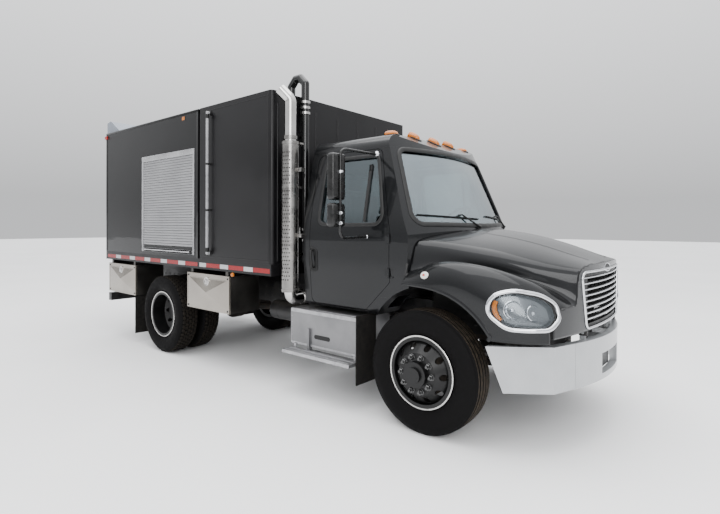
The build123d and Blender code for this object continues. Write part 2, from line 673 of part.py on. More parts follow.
# Front bumper: a bowed middle and two corners with seams between them, on two brackets
bumper_corner_x = ahead(FRONT_OVERHANG - BUMPER_CORNER_BACK)
strap_x = bumper_corner_x - BUMPER_THICKNESS - SEAT_GAP
hood_hinge_x = ahead(HOOD_HINGE_AHEAD)
with BuildPart() as front_bumper:
    with BuildSketch(Plane.XY.offset(BUMPER_BOTTOM)):
        with BuildLine():
            front = ThreePointArc(
                (bumper_corner_x, -BUMPER_CENTRE_HALF_WIDTH), (ahead(FRONT_OVERHANG), 0),
                (bumper_corner_x, BUMPER_CENTRE_HALF_WIDTH),
            )
            Line(front @ 1, (bumper_corner_x - BUMPER_THICKNESS, BUMPER_CENTRE_HALF_WIDTH))
            ThreePointArc(
                (bumper_corner_x - BUMPER_THICKNESS, BUMPER_CENTRE_HALF_WIDTH),
                (ahead(FRONT_OVERHANG) - BUMPER_THICKNESS, 0),
                (bumper_corner_x - BUMPER_THICKNESS, -BUMPER_CENTRE_HALF_WIDTH),
            )
            Line((bumper_corner_x - BUMPER_THICKNESS, -BUMPER_CENTRE_HALF_WIDTH), front @ 0)
        make_face()
    extrude(amount=BUMPER_TOP - BUMPER_BOTTOM)
    block(
        (bumper_corner_x, ahead(FRONT_OVERHANG) + OVERRUN), (-PLATE_HALF_WIDTH, PLATE_HALF_WIDTH),
        PLATE_Z, Mode.SUBTRACT,
    )
    for side in (-1, 1):
        inner = BUMPER_CENTRE_HALF_WIDTH + BUMPER_SEAM
        end_x = ahead(BUMPER_END_AHEAD)
        outline = (
            (bumper_corner_x, side * inner),
            (ahead(BUMPER_BEND_AHEAD), side * BUMPER_BEND_HALF_WIDTH),
            (end_x, side * BUMPER_END_HALF_WIDTH),
            (end_x, side * (BUMPER_END_HALF_WIDTH - BUMPER_THICKNESS)),
            (ahead(BUMPER_BEND_AHEAD) - BUMPER_THICKNESS, side * (BUMPER_BEND_HALF_WIDTH - BUMPER_THICKNESS)),
            (bumper_corner_x - BUMPER_THICKNESS, side * inner),
        )
        with BuildSketch(Plane.XY.offset(BUMPER_BOTTOM)):
            with BuildLine():
                Polyline(*outline, close=True)
            make_face()
        extrude(amount=BUMPER_TOP - BUMPER_BOTTOM)
        with BuildSketch(Plane.XZ.offset(-side * (BUMPER_END_HALF_WIDTH + OVERRUN))):
            with BuildLine():
                Polyline(
                    (end_x - OVERRUN, BUMPER_BOTTOM - OVERRUN), (end_x + BUMPER_END_RAKE, BUMPER_BOTTOM - OVERRUN),
                    (end_x + BUMPER_END_RAKE, BUMPER_BOTTOM), (end_x, BUMPER_TOP), (end_x - OVERRUN, BUMPER_TOP),
                    close=True,
                )
            make_face()
        extrude(amount=side * BUMPER_CENTRE_HALF_WIDTH, mode=Mode.SUBTRACT)
        block(
            (strap_x - BUMPER_STRAP_THICKNESS, strap_x),
            (side * (inner - BUMPER_STRAP_REACH), side * (inner + BUMPER_STRAP_REACH)),
            (BUMPER_STRAP_Z[0], BUMPER_STRAP_Z[1]),
        )
        block(
            (rail_front_x + SEAT_GAP, hood_hinge_x - HOOD_PIN_RADIUS),
            (side * (RAIL_HALF_SPACING - BUMPER_BRACKET_WIDTH), side * RAIL_HALF_SPACING),
            (RAIL_BOTTOM, HOOD_ARM_LOW_Z),
        )
        block(
            (hood_hinge_x - HOOD_ARM_BACK, hood_hinge_x + HOOD_PIN_RADIUS / 2),
            (side * HOOD_ARM_Y[0], side * HOOD_ARM_Y[1]), (BUMPER_STRAP_Z[1], HOOD_HINGE_Z),
        )
        with Locations(Location((hood_hinge_x, side * (HOOD_ARM_Y[0] + HOOD_LUG_Y[1]) / 2, HOOD_HINGE_Z), (90, 0, 0))):
            Cylinder(HOOD_PIN_RADIUS, HOOD_LUG_Y[1] - HOOD_ARM_Y[0] + PANEL_GAP)
save(front_bumper, "front_bumper")


# Cab: one form drawn at several insets gives the panels, the hollow and the glass
cab_rear_x = behind(CAB_REAR_BEHIND)
cab_front_x = ahead(CAB_FRONT_AHEAD)
arch_x = ahead(WHEEL_ARCH_AHEAD)


def cab_section(inset):
    """The cab's cross section extruded over its whole length, drawn in by the inset at sides and roof."""
    half = (
        (CAB_SILL_HALF_WIDTH, CAB_BOTTOM), (CAB_WAIST_HALF_WIDTH, CAB_WAIST_LOW),
        (CAB_WAIST_HALF_WIDTH, CAB_WAIST_HIGH), (CAB_EAVE_HALF_WIDTH, CAB_EAVE_Z),
    )
    right = [(-y + inset, z - (inset if z > CAB_WAIST_HIGH else 0)) for y, z in half]
    left = [(-y, z) for y, z in reversed(right)]
    radii = [
        CAB_SILL_RADIUS, CAB_SIDE_RADIUS, CAB_SIDE_RADIUS, CAB_EAVE_RADIUS, CAB_CROWN_RADIUS,
        CAB_EAVE_RADIUS, CAB_SIDE_RADIUS, CAB_SIDE_RADIUS, CAB_SILL_RADIUS,
    ]
    with BuildSketch(Plane.YZ.offset(cab_rear_x - OVERRUN)) as section:
        with BuildLine():
            FilletPolyline(*right, (0, CAB_CROWN_Z - inset), *left, radius=radii, close=True)
        make_face()
    return extrude(section.sketch, amount=cab_front_x - cab_rear_x + 2 * OVERRUN, mode=Mode.PRIVATE)


def cab_side(inset):
    """The roof line seen from the side, with its brow, extruded across the cab."""
    rear_x = cab_rear_x + inset
    brow_x = behind(CAB_ROOF_FRONT_BEHIND)
    reach = brow_x + CAB_BROW_RUN * 3
    with BuildSketch(Plane.XZ.offset(-CAB_WAIST_HALF_WIDTH - OVERRUN)) as side_view:
        with BuildLine():
            FilletPolyline(
                (rear_x, CAB_BOTTOM), (rear_x, CAB_CROWN_Z - CAB_ROOF_REAR_DROP - inset),
                (rear_x + CAB_ROOF_REAR_RUN, CAB_CROWN_Z - inset), (brow_x, CAB_CROWN_Z - inset),
                (reach, CAB_CROWN_Z - CAB_BROW_DROP * 3 - inset), (reach, CAB_BOTTOM),
                radius=(0, CAB_SILL_RADIUS, CAB_EAVE_RADIUS, CAB_BROW_RADIUS, 0, 0), close=True,
            )
        make_face()
    return extrude(side_view.sketch, amount=2 * (CAB_WAIST_HALF_WIDTH + OVERRUN), mode=Mode.PRIVATE)


def cab_form(inset):
    """The cab's outer form, or the same drawn in by an inset: its front is upright, then raked."""
    radius = CAB_FRONT_PLAN_RADIUS - inset
    centre_x = cab_front_x - CAB_FRONT_PLAN_RADIUS
    rake = degrees(atan2(SCREEN_RAKE, SCREEN_RAKE_HEIGHT))
    tilted = Location((cab_front_x, 0, CAB_BASE_Z), (0, -rake, 0)) * Location((-CAB_FRONT_PLAN_RADIUS, 0, 0))
    with BuildPart() as form:
        add(cab_section(inset))
        add(cab_side(inset), mode=Mode.INTERSECT)
        with Locations((centre_x, 0, CAB_BASE_Z)):
            Cylinder(radius, 2 * CAB_CROWN_Z, mode=Mode.INTERSECT)
        with Locations(tilted):
            Cylinder(radius, 2 * CAB_CROWN_Z, mode=Mode.INTERSECT)
        with Locations(Location((arch_x, 0, wheel_z), (90, 0, 0))):
            Cylinder(WHEEL_ARCH_RADIUS + inset, 3 * CAB_WAIST_HALF_WIDTH, mode=Mode.SUBTRACT)
    return form.part


def outline_across(points, radii, low_y, high_y):
    """A closed side-view outline of X and Z places, extruded across the truck between two Y places."""
    with BuildSketch(Plane.XZ.offset(-high_y)) as outline:
        with BuildLine():
            FilletPolyline(*points, radius=radii, close=True)
        make_face()
    return extrude(outline.sketch, amount=high_y - low_y, mode=Mode.PRIVATE)


def outline_along(points, radii, low_x, high_x):
    """A closed front-view outline of Y and Z places, extruded along the truck between two X places."""
    with BuildSketch(Plane.YZ.offset(low_x)) as outline:
        with BuildLine():
            FilletPolyline(*points, radius=radii, close=True)
        make_face()
    return extrude(outline.sketch, amount=high_x - low_x, mode=Mode.PRIVATE)


def door_outline(grow):
    """The door's edge seen from the side, grown outward by a gap."""
    rear = behind(DOOR_REAR_BEHIND) - grow
    front = behind(DOOR_FRONT_BEHIND) + grow
    return (
        (rear, DOOR_BOTTOM - grow), (behind(DOOR_FOOT_BEHIND), DOOR_BOTTOM - grow), (front, DOOR_KINK_Z),
        (front, DOOR_BELT_Z), (behind(DOOR_HEAD_BEHIND) + grow, DOOR_TOP + grow), (rear, DOOR_TOP + grow),
    )


def window_outline(grow):
    rear = behind(WINDOW_REAR_BEHIND) - grow
    return (
        (rear, WINDOW_LOW_Z - grow), (behind(WINDOW_FRONT_BEHIND) + grow, WINDOW_LOW_Z - grow),
        (behind(WINDOW_HEAD_BEHIND) + grow, WINDOW_HIGH_Z + grow), (rear, WINDOW_HIGH_Z + grow),
    )


cab_reach = CAB_WAIST_HALF_WIDTH + OVERRUN
screen_low = (SCREEN_LOW_HALF_WIDTH, SCREEN_LOW_Z)
screen_high = (SCREEN_HIGH_HALF_WIDTH, SCREEN_HIGH_Z)


def screen_prism(shrink):
    low_y, high_y = SCREEN_LOW_HALF_WIDTH - shrink, SCREEN_HIGH_HALF_WIDTH - shrink
    low_z, high_z = SCREEN_LOW_Z + shrink, SCREEN_HIGH_Z - shrink
    return outline_along(
        ((-low_y, low_z), (low_y, low_z), (high_y, high_z), (-high_y, high_z)),
        [SCREEN_RADIUS] * 4, behind(DOOR_HEAD_BEHIND + OVERRUN), cab_front_x + OVERRUN,
    )


def rear_window_prism(shrink):
    half, low_z, high_z = REAR_WINDOW_HALF_WIDTH - shrink, REAR_WINDOW_Z[0] + shrink, REAR_WINDOW_Z[1] - shrink
    return outline_along(
        ((-half, low_z), (half, low_z), (half, high_z), (-half, high_z)),
        [REAR_WINDOW_RADIUS] * 4, cab_rear_x - OVERRUN, behind(DOOR_REAR_BEHIND),
    )


cab_outer = cab_form(0)
cab_inner = cab_form(CAB_WALL)
door_sleeve = cab_section(CAB_WALL)
glass_outer = cab_form(GLASS_DEPTH)
glass_inner = cab_form(GLASS_DEPTH + GLASS_THICKNESS)
door_hole = outline_across(door_outline(PANEL_GAP), DOOR_RADII, -cab_reach, cab_reach)
inner_reach = CAB_SILL_HALF_WIDTH - CAB_WALL - PANEL_GAP

with BuildPart() as cab_shell:
    add(cab_outer)
    add(cab_inner, mode=Mode.SUBTRACT)
with BuildPart() as cab_opening:
    add(door_hole)
    add(cab_section(CAB_WALL + PANEL_GAP), mode=Mode.SUBTRACT)
with BuildPart() as cab_body:
    add(cab_shell.part)
    block((cab_rear_x + CAB_WALL, arch_x), (-inner_reach, inner_reach), (CAB_BOTTOM, CAB_FLOOR_TOP))
    add(cab_outer, mode=Mode.INTERSECT)
    for side in (-1, 1):
        block(
            (cab_rear_x + CAB_WALL, behind(DOOR_FRONT_BEHIND)),
            (side * CAB_TUNNEL_HALF_WIDTH, side * (inner_reach - CAB_WALL)), (FOOT_WELL_Z, CAB_FLOOR_TOP),
            Mode.SUBTRACT,
        )
    with Locations(Location((arch_x, 0, wheel_z), (90, 0, 0))):
        Cylinder(WHEEL_ARCH_RADIUS, 3 * CAB_WAIST_HALF_WIDTH, mode=Mode.SUBTRACT)
    block(
        (cab_rear_x - OVERRUN, cab_front_x + OVERRUN),
        (-CAB_TUNNEL_HALF_WIDTH + CAB_WALL, CAB_TUNNEL_HALF_WIDTH - CAB_WALL),
        (CAB_BOTTOM - OVERRUN, CAB_TUNNEL_TOP), Mode.SUBTRACT,
    )
    add(cab_opening.part, mode=Mode.SUBTRACT)
    add(screen_prism(0), mode=Mode.SUBTRACT)
    add(rear_window_prism(0), mode=Mode.SUBTRACT)

split_back_x = behind(DOOR_REAR_BEHIND)
split_front_x = behind(DOOR_FRONT_BEHIND)
far_z = CAB_CROWN_Z + OVERRUN


def cab_piece(*regions):
    """The part of the cab body inside the named box regions."""
    with BuildPart() as piece:
        for x, y, z in regions:
            block(x, y, z)
        add(cab_body.part, mode=Mode.INTERSECT)
    return piece


all_x = (cab_rear_x - OVERRUN, cab_front_x + OVERRUN)
all_y = (-cab_reach, cab_reach)
cab_roof = cab_piece((all_x, all_y, (ROOF_SPLIT_Z, far_z)))
cab_back = cab_piece(((all_x[0], split_back_x), all_y, (CAB_FLOOR_TOP, ROOF_SPLIT_Z - SEAT_GAP)))
cab_floor = cab_piece(((all_x[0], split_front_x), all_y, (CAB_BOTTOM - OVERRUN, CAB_FLOOR_TOP - SEAT_GAP)))
with cab_floor:
    for side in (-1, 1):
        for distance in CAB_MOUNT_BEHIND:
            block(
                (behind(distance), behind(distance) + CAB_MOUNT_LENGTH),
                (side * (RAIL_HALF_SPACING - CAB_MOUNT_LENGTH), side * RAIL_HALF_SPACING),
                (RAIL_TOP + SEAT_GAP, CAB_TUNNEL_TOP + CAB_WALL / 4),
            )
cab_front = cab_piece(
    ((split_front_x + SEAT_GAP, all_x[1]), all_y, (CAB_BOTTOM - OVERRUN, ROOF_SPLIT_Z - SEAT_GAP)),
    (
        (split_back_x + SEAT_GAP, split_front_x + OVERRUN), all_y,
        (CAB_FLOOR_TOP, ROOF_SPLIT_Z - SEAT_GAP),
    ),
)
hinge_x = behind(DOOR_FRONT_BEHIND)
hinge_y = CAB_WAIST_HALF_WIDTH + HINGE_OUT


def hinge_cut(side, radius, height):
    """Takes an upright cylinder about the door's hinge line out of the part in hand, at each hinge."""
    for z in DOOR_HINGE_Z:
        with Locations((hinge_x, side * hinge_y, z)):
            Cylinder(radius, height, mode=Mode.SUBTRACT)


with cab_front:
    for side in (-1, 1):
        hinge_cut(side, HINGE_NOTCH_RADIUS, HINGE_NOTCH_HEIGHT)
        for z in DOOR_HINGE_Z:
            for up in (-1, 1):
                leaf_z = (z + up * HINGE_LEAF_Z[0], z + up * HINGE_LEAF_Z[1])
                block(
                    (hinge_x, hinge_x + HINGE_REACH),
                    (side * (hinge_y - HINGE_LUG_RADIUS), side * (hinge_y - HINGE_OUT)), leaf_z,
                )
                with Locations((hinge_x, side * hinge_y, (leaf_z[0] + leaf_z[1]) / 2)):
                    Cylinder(HINGE_LUG_RADIUS, HINGE_LEAF_Z[1] - HINGE_LEAF_Z[0])
            with Locations((hinge_x, side * hinge_y, z)):
                Cylinder(HINGE_PIN_RADIUS, 2 * HINGE_LEAF_Z[1])
save(cab_roof, "cab_roof")
save(cab_back, "cab_back")
save(cab_floor, "cab_floor")
save(cab_front, "cab_front")

with BuildPart() as cab_glass:
    add(screen_prism(SEAT_GAP))
    add(rear_window_prism(SEAT_GAP))
    add(glass_outer, mode=Mode.INTERSECT)
    add(glass_inner, mode=Mode.SUBTRACT)
save(cab_glass, "cab_glass")

# Doors, each as thick as the cab wall, with one pane
for side, name in ((-1, "right"), (1, "left")):
    side_y = sorted((0, side * cab_reach))
    with BuildPart() as door:
        add(outline_across(door_outline(0), DOOR_RADII, *side_y))
        add(cab_outer, mode=Mode.INTERSECT)
        add(door_sleeve, mode=Mode.SUBTRACT)
        add(outline_across(window_outline(0), WINDOW_RADII, *side_y), mode=Mode.SUBTRACT)
        hinge_cut(side, HINGE_NOTCH_RADIUS, HINGE_NOTCH_HEIGHT)
        for z in DOOR_HINGE_Z:
            lug_z = (z - HINGE_LUG_HEIGHT / 2, z + HINGE_LUG_HEIGHT / 2)
            block(
                (hinge_x - HINGE_REACH, hinge_x),
                (side * (hinge_y - HINGE_LUG_RADIUS), side * (hinge_y - HINGE_OUT)), lug_z,
            )
            with Locations((hinge_x, side * hinge_y, z)):
                Cylinder(HINGE_LUG_RADIUS, HINGE_LUG_HEIGHT)
        hinge_cut(side, HINGE_PIN_RADIUS + SEAT_GAP, HINGE_NOTCH_HEIGHT)
    save(door, f"door_{name}")
    with BuildPart() as door_glass:
        add(outline_across(window_outline(-SEAT_GAP), WINDOW_RADII, *side_y))
        add(glass_outer, mode=Mode.INTERSECT)
        add(glass_inner, mode=Mode.SUBTRACT)
    save(door_glass, f"door_glass_{name}")

# Hood: a tapering middle and two fenders in one tilting shell, cut by the cab's bowed front
hood_reach = FENDER_PLAN_Y[2] + OVERRUN
fender_side = list(zip(FENDER_SIDE_AHEAD, FENDER_SIDE_Z))
fender_plan = list(zip(FENDER_PLAN_AHEAD, FENDER_PLAN_Y))


def hood_middle(inset):
    """A ruled loft through three sections, each a roof with sloping shoulders."""
    with BuildPart() as middle:
        for distance, half, shoulder, top in zip(
            HOOD_SECTIONS_AHEAD, HOOD_SECTION_HALF_WIDTHS, HOOD_SHOULDER_Z, HOOD_TOP_Z
        ):
            y, low, high = half - inset, shoulder - inset, top - inset
            roof = y * HOOD_TOP_SHARE
            with BuildSketch(Plane.YZ.offset(ahead(distance))):
                with BuildLine():
                    FilletPolyline(
                        (-y, HOOD_BOTTOM), (-y, low), (-roof, high), (roof, high), (y, low), (y, HOOD_BOTTOM),
                        radius=[0, HOOD_EDGE_RADIUS, HOOD_EDGE_RADIUS, HOOD_EDGE_RADIUS, HOOD_EDGE_RADIUS, 0],
                        close=True,
                    )
                make_face()
        loft(ruled=True)
    return middle.part


def hood_fenders(inset):
    """Both fenders: a side outline across the truck, trimmed by a plan outline."""
    points = [(ahead(x) - (inset if x > 0 else 0), z - inset) for x, z in fender_side]
    points += [(ahead(FENDER_SIDE_AHEAD[-1]) - inset, FENDER_LOW_Z), (ahead(FENDER_SIDE_AHEAD[0]), FENDER_LOW_Z)]
    radii = [0] + [FENDER_SIDE_RADIUS] * (len(fender_side) - 2) + [FENDER_SIDE_RADIUS / 2, 0, 0]
    right = [(ahead(x), -y + inset) for x, y in fender_plan]
    left = [(x, -y) for x, y in reversed(right)]
    plan_radii = [0] + [FENDER_PLAN_RADIUS] * (len(right) - 2) + [0]
    with BuildSketch(Plane.XY.offset(FENDER_LOW_Z)) as plan:
        with BuildLine():
            FilletPolyline(*right, *left, radius=plan_radii + plan_radii, close=True)
        make_face()
    with BuildPart() as fenders:
        add(outline_across(points, radii, -hood_reach, hood_reach))
        add(extrude(plan.sketch, amount=HOOD_TOP_Z[0] - FENDER_LOW_Z, mode=Mode.PRIVATE), mode=Mode.INTERSECT)
        block(
            (ahead(FENDER_SIDE_AHEAD[0]) - OVERRUN, ahead(FENDER_SIDE_AHEAD[-1]) + OVERRUN),
            (-FENDER_INNER_Y - inset, FENDER_INNER_Y + inset), (FENDER_LOW_Z - OVERRUN, FENDER_SIDE_Z[0] + OVERRUN),
            Mode.SUBTRACT,
        )
    return fenders.part


def hood_form(inset):
    """Middle and fenders in one, bowed at the nose and set back from the cab by the hood's gap."""
    nose_x = ahead(HOOD_NOSE_AHEAD) - inset
    with BuildPart() as form:
        add(hood_middle(inset))
        add(hood_fenders(inset))
        with Locations((nose_x - HOOD_NOSE_RADIUS, 0, wheel_z)):
            Cylinder(HOOD_NOSE_RADIUS, 4 * HOOD_TOP_Z[0], mode=Mode.INTERSECT)
    return form.part


hood_outer = hood_form(0)
hood_inner = hood_form(HOOD_WALL)
lamp_points = [(ahead(x), z) for x, z in zip(LAMP_SIDE_AHEAD, LAMP_SIDE_Z)]
lamp_radii = [LAMP_RADIUS] * len(lamp_points)
grille_outline = (
    (-GRILLE_BOTTOM_HALF_WIDTH, GRILLE_Z[0]), (GRILLE_BOTTOM_HALF_WIDTH, GRILLE_Z[0]),
    (GRILLE_TOP_HALF_WIDTH, GRILLE_Z[1]), (-GRILLE_TOP_HALF_WIDTH, GRILLE_Z[1]),
)
grille_rear_x = ahead(HOOD_NOSE_AHEAD) - 2 * HOOD_WALL - PLATE_HALF_WIDTH
grille_prism = outline_along(grille_outline, [GRILLE_RADIUS] * 4, grille_rear_x, ahead(FRONT_OVERHANG))
lamp_prisms = [
    outline_across(lamp_points, lamp_radii, *sorted((side * LAMP_INNER_Y, side * hood_reach))) for side in (-1, 1)
]
with BuildPart() as hood:
    add(hood_outer)
    add(hood_inner, mode=Mode.SUBTRACT)
    with Locations(Location((arch_x, 0, wheel_z), (90, 0, 0))):
        Cylinder(WHEEL_ARCH_RADIUS, 4 * FENDER_PLAN_Y[2], mode=Mode.SUBTRACT)
    with Locations((cab_front_x - CAB_FRONT_PLAN_RADIUS, 0, CAB_BASE_Z)):
        Cylinder(CAB_FRONT_PLAN_RADIUS + HOOD_GAP, 2 * CAB_CROWN_Z, mode=Mode.SUBTRACT)
    block(
        (ahead(FENDER_SIDE_AHEAD[0]) - OVERRUN, arch_x), (-hood_reach, hood_reach),
        (HOOD_BOTTOM - OVERRUN, FENDER_REAR_BOTTOM), Mode.SUBTRACT,
    )
    add(grille_prism, mode=Mode.SUBTRACT)
    for lamp_prism in lamp_prisms:
        add(lamp_prism, mode=Mode.SUBTRACT)
    for side in (-1, 1):
        lug = HOOD_PIN_RADIUS + HOOD_LUG_MARGIN
        block(
            (hood_hinge_x - lug, hood_hinge_x + lug), (side * HOOD_LUG_Y[0], side * HOOD_LUG_Y[1]),
            (HOOD_HINGE_Z - lug, HOOD_HINGE_Z + lug),
        )
        with Locations(Location((hood_hinge_x, side * (HOOD_LUG_Y[0] + HOOD_LUG_Y[1]) / 2, HOOD_HINGE_Z), (90, 0, 0))):
            Cylinder(HOOD_PIN_RADIUS + SEAT_GAP, 2 * (HOOD_LUG_Y[1] - HOOD_LUG_Y[0]), mode=Mode.SUBTRACT)
save(hood, "hood")

# Headlamps: one block behind each lens, following the fender's corner
lamp_outer = hood_form(LAMP_REVEAL)
lamp_inner = hood_form(LAMP_REVEAL + LAMP_DEPTH)
with BuildPart() as headlamps:
    for side in (-1, 1):
        add(outline_across(
            lamp_points, lamp_radii, *sorted((side * (LAMP_INNER_Y + SEAT_GAP), side * hood_reach))
        ))
    add(lamp_outer, mode=Mode.INTERSECT)
    add(lamp_inner, mode=Mode.SUBTRACT)
save(headlamps, "headlamps")

# Grille: a bowed surround with level bars
nose_centre_x = ahead(HOOD_NOSE_AHEAD) - HOOD_NOSE_RADIUS
with BuildPart() as grille:
    add(outline_along(
        [(y - SEAT_GAP * (1 if y > 0 else -1), z) for y, z in grille_outline],
        [GRILLE_RADIUS] * 4, grille_rear_x, ahead(FRONT_OVERHANG),
    ))
    with Locations((nose_centre_x, 0, wheel_z)):
        Cylinder(HOOD_NOSE_RADIUS - GRILLE_SETBACK, 4 * HOOD_TOP_Z[0], mode=Mode.INTERSECT)
        Cylinder(HOOD_NOSE_RADIUS - GRILLE_SETBACK - GRILLE_THICKNESS, 4 * HOOD_TOP_Z[0], mode=Mode.SUBTRACT)
    bar_pitch = (GRILLE_Z[1] - GRILLE_Z[0] - 2 * GRILLE_BORDER) / GRILLE_BAR_COUNT
    for index in range(GRILLE_BAR_COUNT):
        low_z = GRILLE_Z[0] + GRILLE_BORDER + index * bar_pitch
        block(
            (grille_rear_x, ahead(FRONT_OVERHANG)),
            (-GRILLE_BOTTOM_HALF_WIDTH + GRILLE_BORDER, GRILLE_BOTTOM_HALF_WIDTH - GRILLE_BORDER),
            (low_z, low_z + bar_pitch * (1 - GRILLE_BAR_SHARE)), Mode.SUBTRACT,
        )
save(grille, "grille")

# Cab inside: dashboard with the steering wheel, and two seats
dash_front_x = split_front_x
dash_rear_x = dash_front_x - DASH_DEPTH / 2
wheel_centre = Vector(behind(STEERING_BEHIND), SEAT_Y, STEERING_Z)
wheel_plane = Plane(origin=wheel_centre, z_dir=(-cos(radians(STEERING_TILT)), 0, sin(radians(STEERING_TILT))))
with BuildPart() as dashboard:
    block((dash_rear_x, cab_front_x), (-DASH_HALF_WIDTH, DASH_HALF_WIDTH), DASH_Z)
    fillet(dashboard.edges().filter_by(Axis.Y).group_by(Axis.X)[0], CAB_SILL_RADIUS)
    block((dash_front_x + DASH_SIDE_GAP, cab_front_x), all_y, DASH_Z)
    add(cab_form(CAB_WALL + SEAT_GAP), mode=Mode.INTERSECT)
    with Locations(wheel_plane.location):
        Torus(STEERING_WHEEL_RADIUS, STEERING_RIM_RADIUS)
        Cylinder(STEERING_BOSS_RADIUS, STEERING_BOSS_HEIGHT)
        Box(2 * STEERING_WHEEL_RADIUS, STEERING_SPOKE_WIDTH, STEERING_SPOKE_THICKNESS)
        Box(STEERING_SPOKE_WIDTH, 2 * STEERING_WHEEL_RADIUS, STEERING_SPOKE_THICKNESS)
        Cylinder(
            STEERING_COLUMN_RADIUS, STEERING_COLUMN_LENGTH, align=(Align.CENTER, Align.CENTER, Align.MAX)
        )
save(dashboard, "dashboard")

seat_front_x, seat_rear_x = behind(SEAT_FRONT_BEHIND), behind(SEAT_REAR_BEHIND)
with BuildPart() as seats:
    for side, seat_y in both_sides(SEAT_Y):
        block(
            (seat_rear_x + SEAT_BACK_THICKNESS, seat_front_x),
            (seat_y - SEAT_WIDTH / 2, seat_y + SEAT_WIDTH / 2), SEAT_CUSHION_Z,
        )
        block(
            (seat_rear_x, seat_rear_x + SEAT_BACK_THICKNESS),
            (seat_y - SEAT_WIDTH / 2, seat_y + SEAT_WIDTH / 2), (SEAT_CUSHION_Z[0], SEAT_BACK_TOP),
        )
    fillet(seats.edges(), SEAT_BACK_THICKNESS / 4)
    for side, seat_y in both_sides(SEAT_Y):
        block(
            (seat_rear_x + SEAT_BACK_THICKNESS, seat_front_x - SEAT_BACK_THICKNESS),
            (seat_y - SEAT_BASE_HALF_WIDTH, seat_y + SEAT_BASE_HALF_WIDTH),
            (CAB_FLOOR_TOP, SEAT_CUSHION_Z[0]),
        )
    block(
        (seat_rear_x + SEAT_BACK_THICKNESS, seat_front_x),
        (-CAB_TUNNEL_HALF_WIDTH, CAB_TUNNEL_HALF_WIDTH), (CAB_FLOOR_TOP, CAB_FLOOR_TOP + SEAT_BACK_THICKNESS / 4),
    )
save(seats, "seats")

cab_skin = cab_form(-SEAT_GAP)

# Mirrors: a tube loop off the door with a flat head and a small curved head on it
for side, name in ((-1, "right"), (1, "left")):
    top_skin_y = side * MIRROR_TOP_Y
    foot_y = side * MIRROR_FOOT_Y
    bar_y = side * MIRROR_Y
    bar_x = behind(MIRROR_BEHIND)
    with BuildPart() as mirror:
        tube(
            (
                (behind(MIRROR_TOP_BEHIND), top_skin_y, MIRROR_Z[1] - MIRROR_RISE), (bar_x, bar_y, MIRROR_Z[1]),
                (bar_x, bar_y, MIRROR_Z[0]), (behind(MIRROR_FOOT_BEHIND), foot_y, MIRROR_Z[0] + MIRROR_RISE),
            ),
            MIRROR_TUBE_RADIUS,
        )
        head_x = (bar_x - MIRROR_HEAD_DEPTH, bar_x - MIRROR_TUBE_RADIUS)
        head_y = (bar_y - MIRROR_HEAD_WIDTH / 2, bar_y + MIRROR_HEAD_WIDTH / 2)
        block(head_x, head_y, MIRROR_HEAD_Z)
        block(head_x, head_y, MIRROR_CONVEX_Z)
        block(
            (head_x[1], bar_x), (bar_y - MIRROR_TUBE_RADIUS, bar_y + MIRROR_TUBE_RADIUS),
            (MIRROR_CONVEX_Z[0], MIRROR_HEAD_Z[1]),
        )
        add(cab_skin, mode=Mode.SUBTRACT)
    save(mirror, f"mirror_{name}")

# Clearance lamps: amber along the cab roof and at the body's front corners, red at its rear
roof_lamps = ((ROOF_LAMP_BEHIND[0], 0), (ROOF_LAMP_BEHIND[1], ROOF_LAMP_Y[0]), (ROOF_LAMP_BEHIND[2], ROOF_LAMP_Y[1]))
with BuildPart() as amber_lamps:
    for distance, lamp_y in roof_lamps:
        for side in ((1,) if lamp_y == 0 else (-1, 1)):
            lamp_x = behind(distance)
            block(
                (lamp_x - ROOF_LAMP_LENGTH / 2, lamp_x + ROOF_LAMP_LENGTH / 2),
                (side * lamp_y - ROOF_LAMP_WIDTH / 2, side * lamp_y + ROOF_LAMP_WIDTH / 2),
                (ROOF_SPLIT_Z, ROOF_LAMP_TOP),
            )
    add(cab_skin, mode=Mode.SUBTRACT)
    for side in (-1, 1):
        block(
            (behind(MARKER_BEHIND[0]) - MARKER_LENGTH / 2, behind(MARKER_BEHIND[0]) + MARKER_LENGTH / 2),
            (side * (HALF_WIDTH + SEAT_GAP), side * (HALF_WIDTH + MARKER_DEPTH)),
            (MARKER_Z - MARKER_HEIGHT / 2, MARKER_Z + MARKER_HEIGHT / 2),
        )
save(amber_lamps, "amber_lamps")
with BuildPart() as red_lamps:
    for side in (-1, 1):
        block(
            (behind(MARKER_BEHIND[1]) - MARKER_LENGTH / 2, behind(MARKER_BEHIND[1]) + MARKER_LENGTH / 2),
            (side * (HALF_WIDTH + SEAT_GAP), side * (HALF_WIDTH + MARKER_DEPTH)),
            (MARKER_Z - MARKER_HEIGHT / 2, MARKER_Z + MARKER_HEIGHT / 2),
        )
        for index in range(TAIL_LAMP_COUNT):
            with BuildSketch(Plane.YZ.offset(body_rear_x - SEAT_GAP)):
                with Locations((side * TAIL_LAMP_Y, TAIL_LAMP_Z + index * TAIL_LAMP_PITCH)):
                    Circle(TAIL_LAMP_RADIUS)
            extrude(amount=-MARKER_DEPTH)
save(red_lamps, "red_lamps")

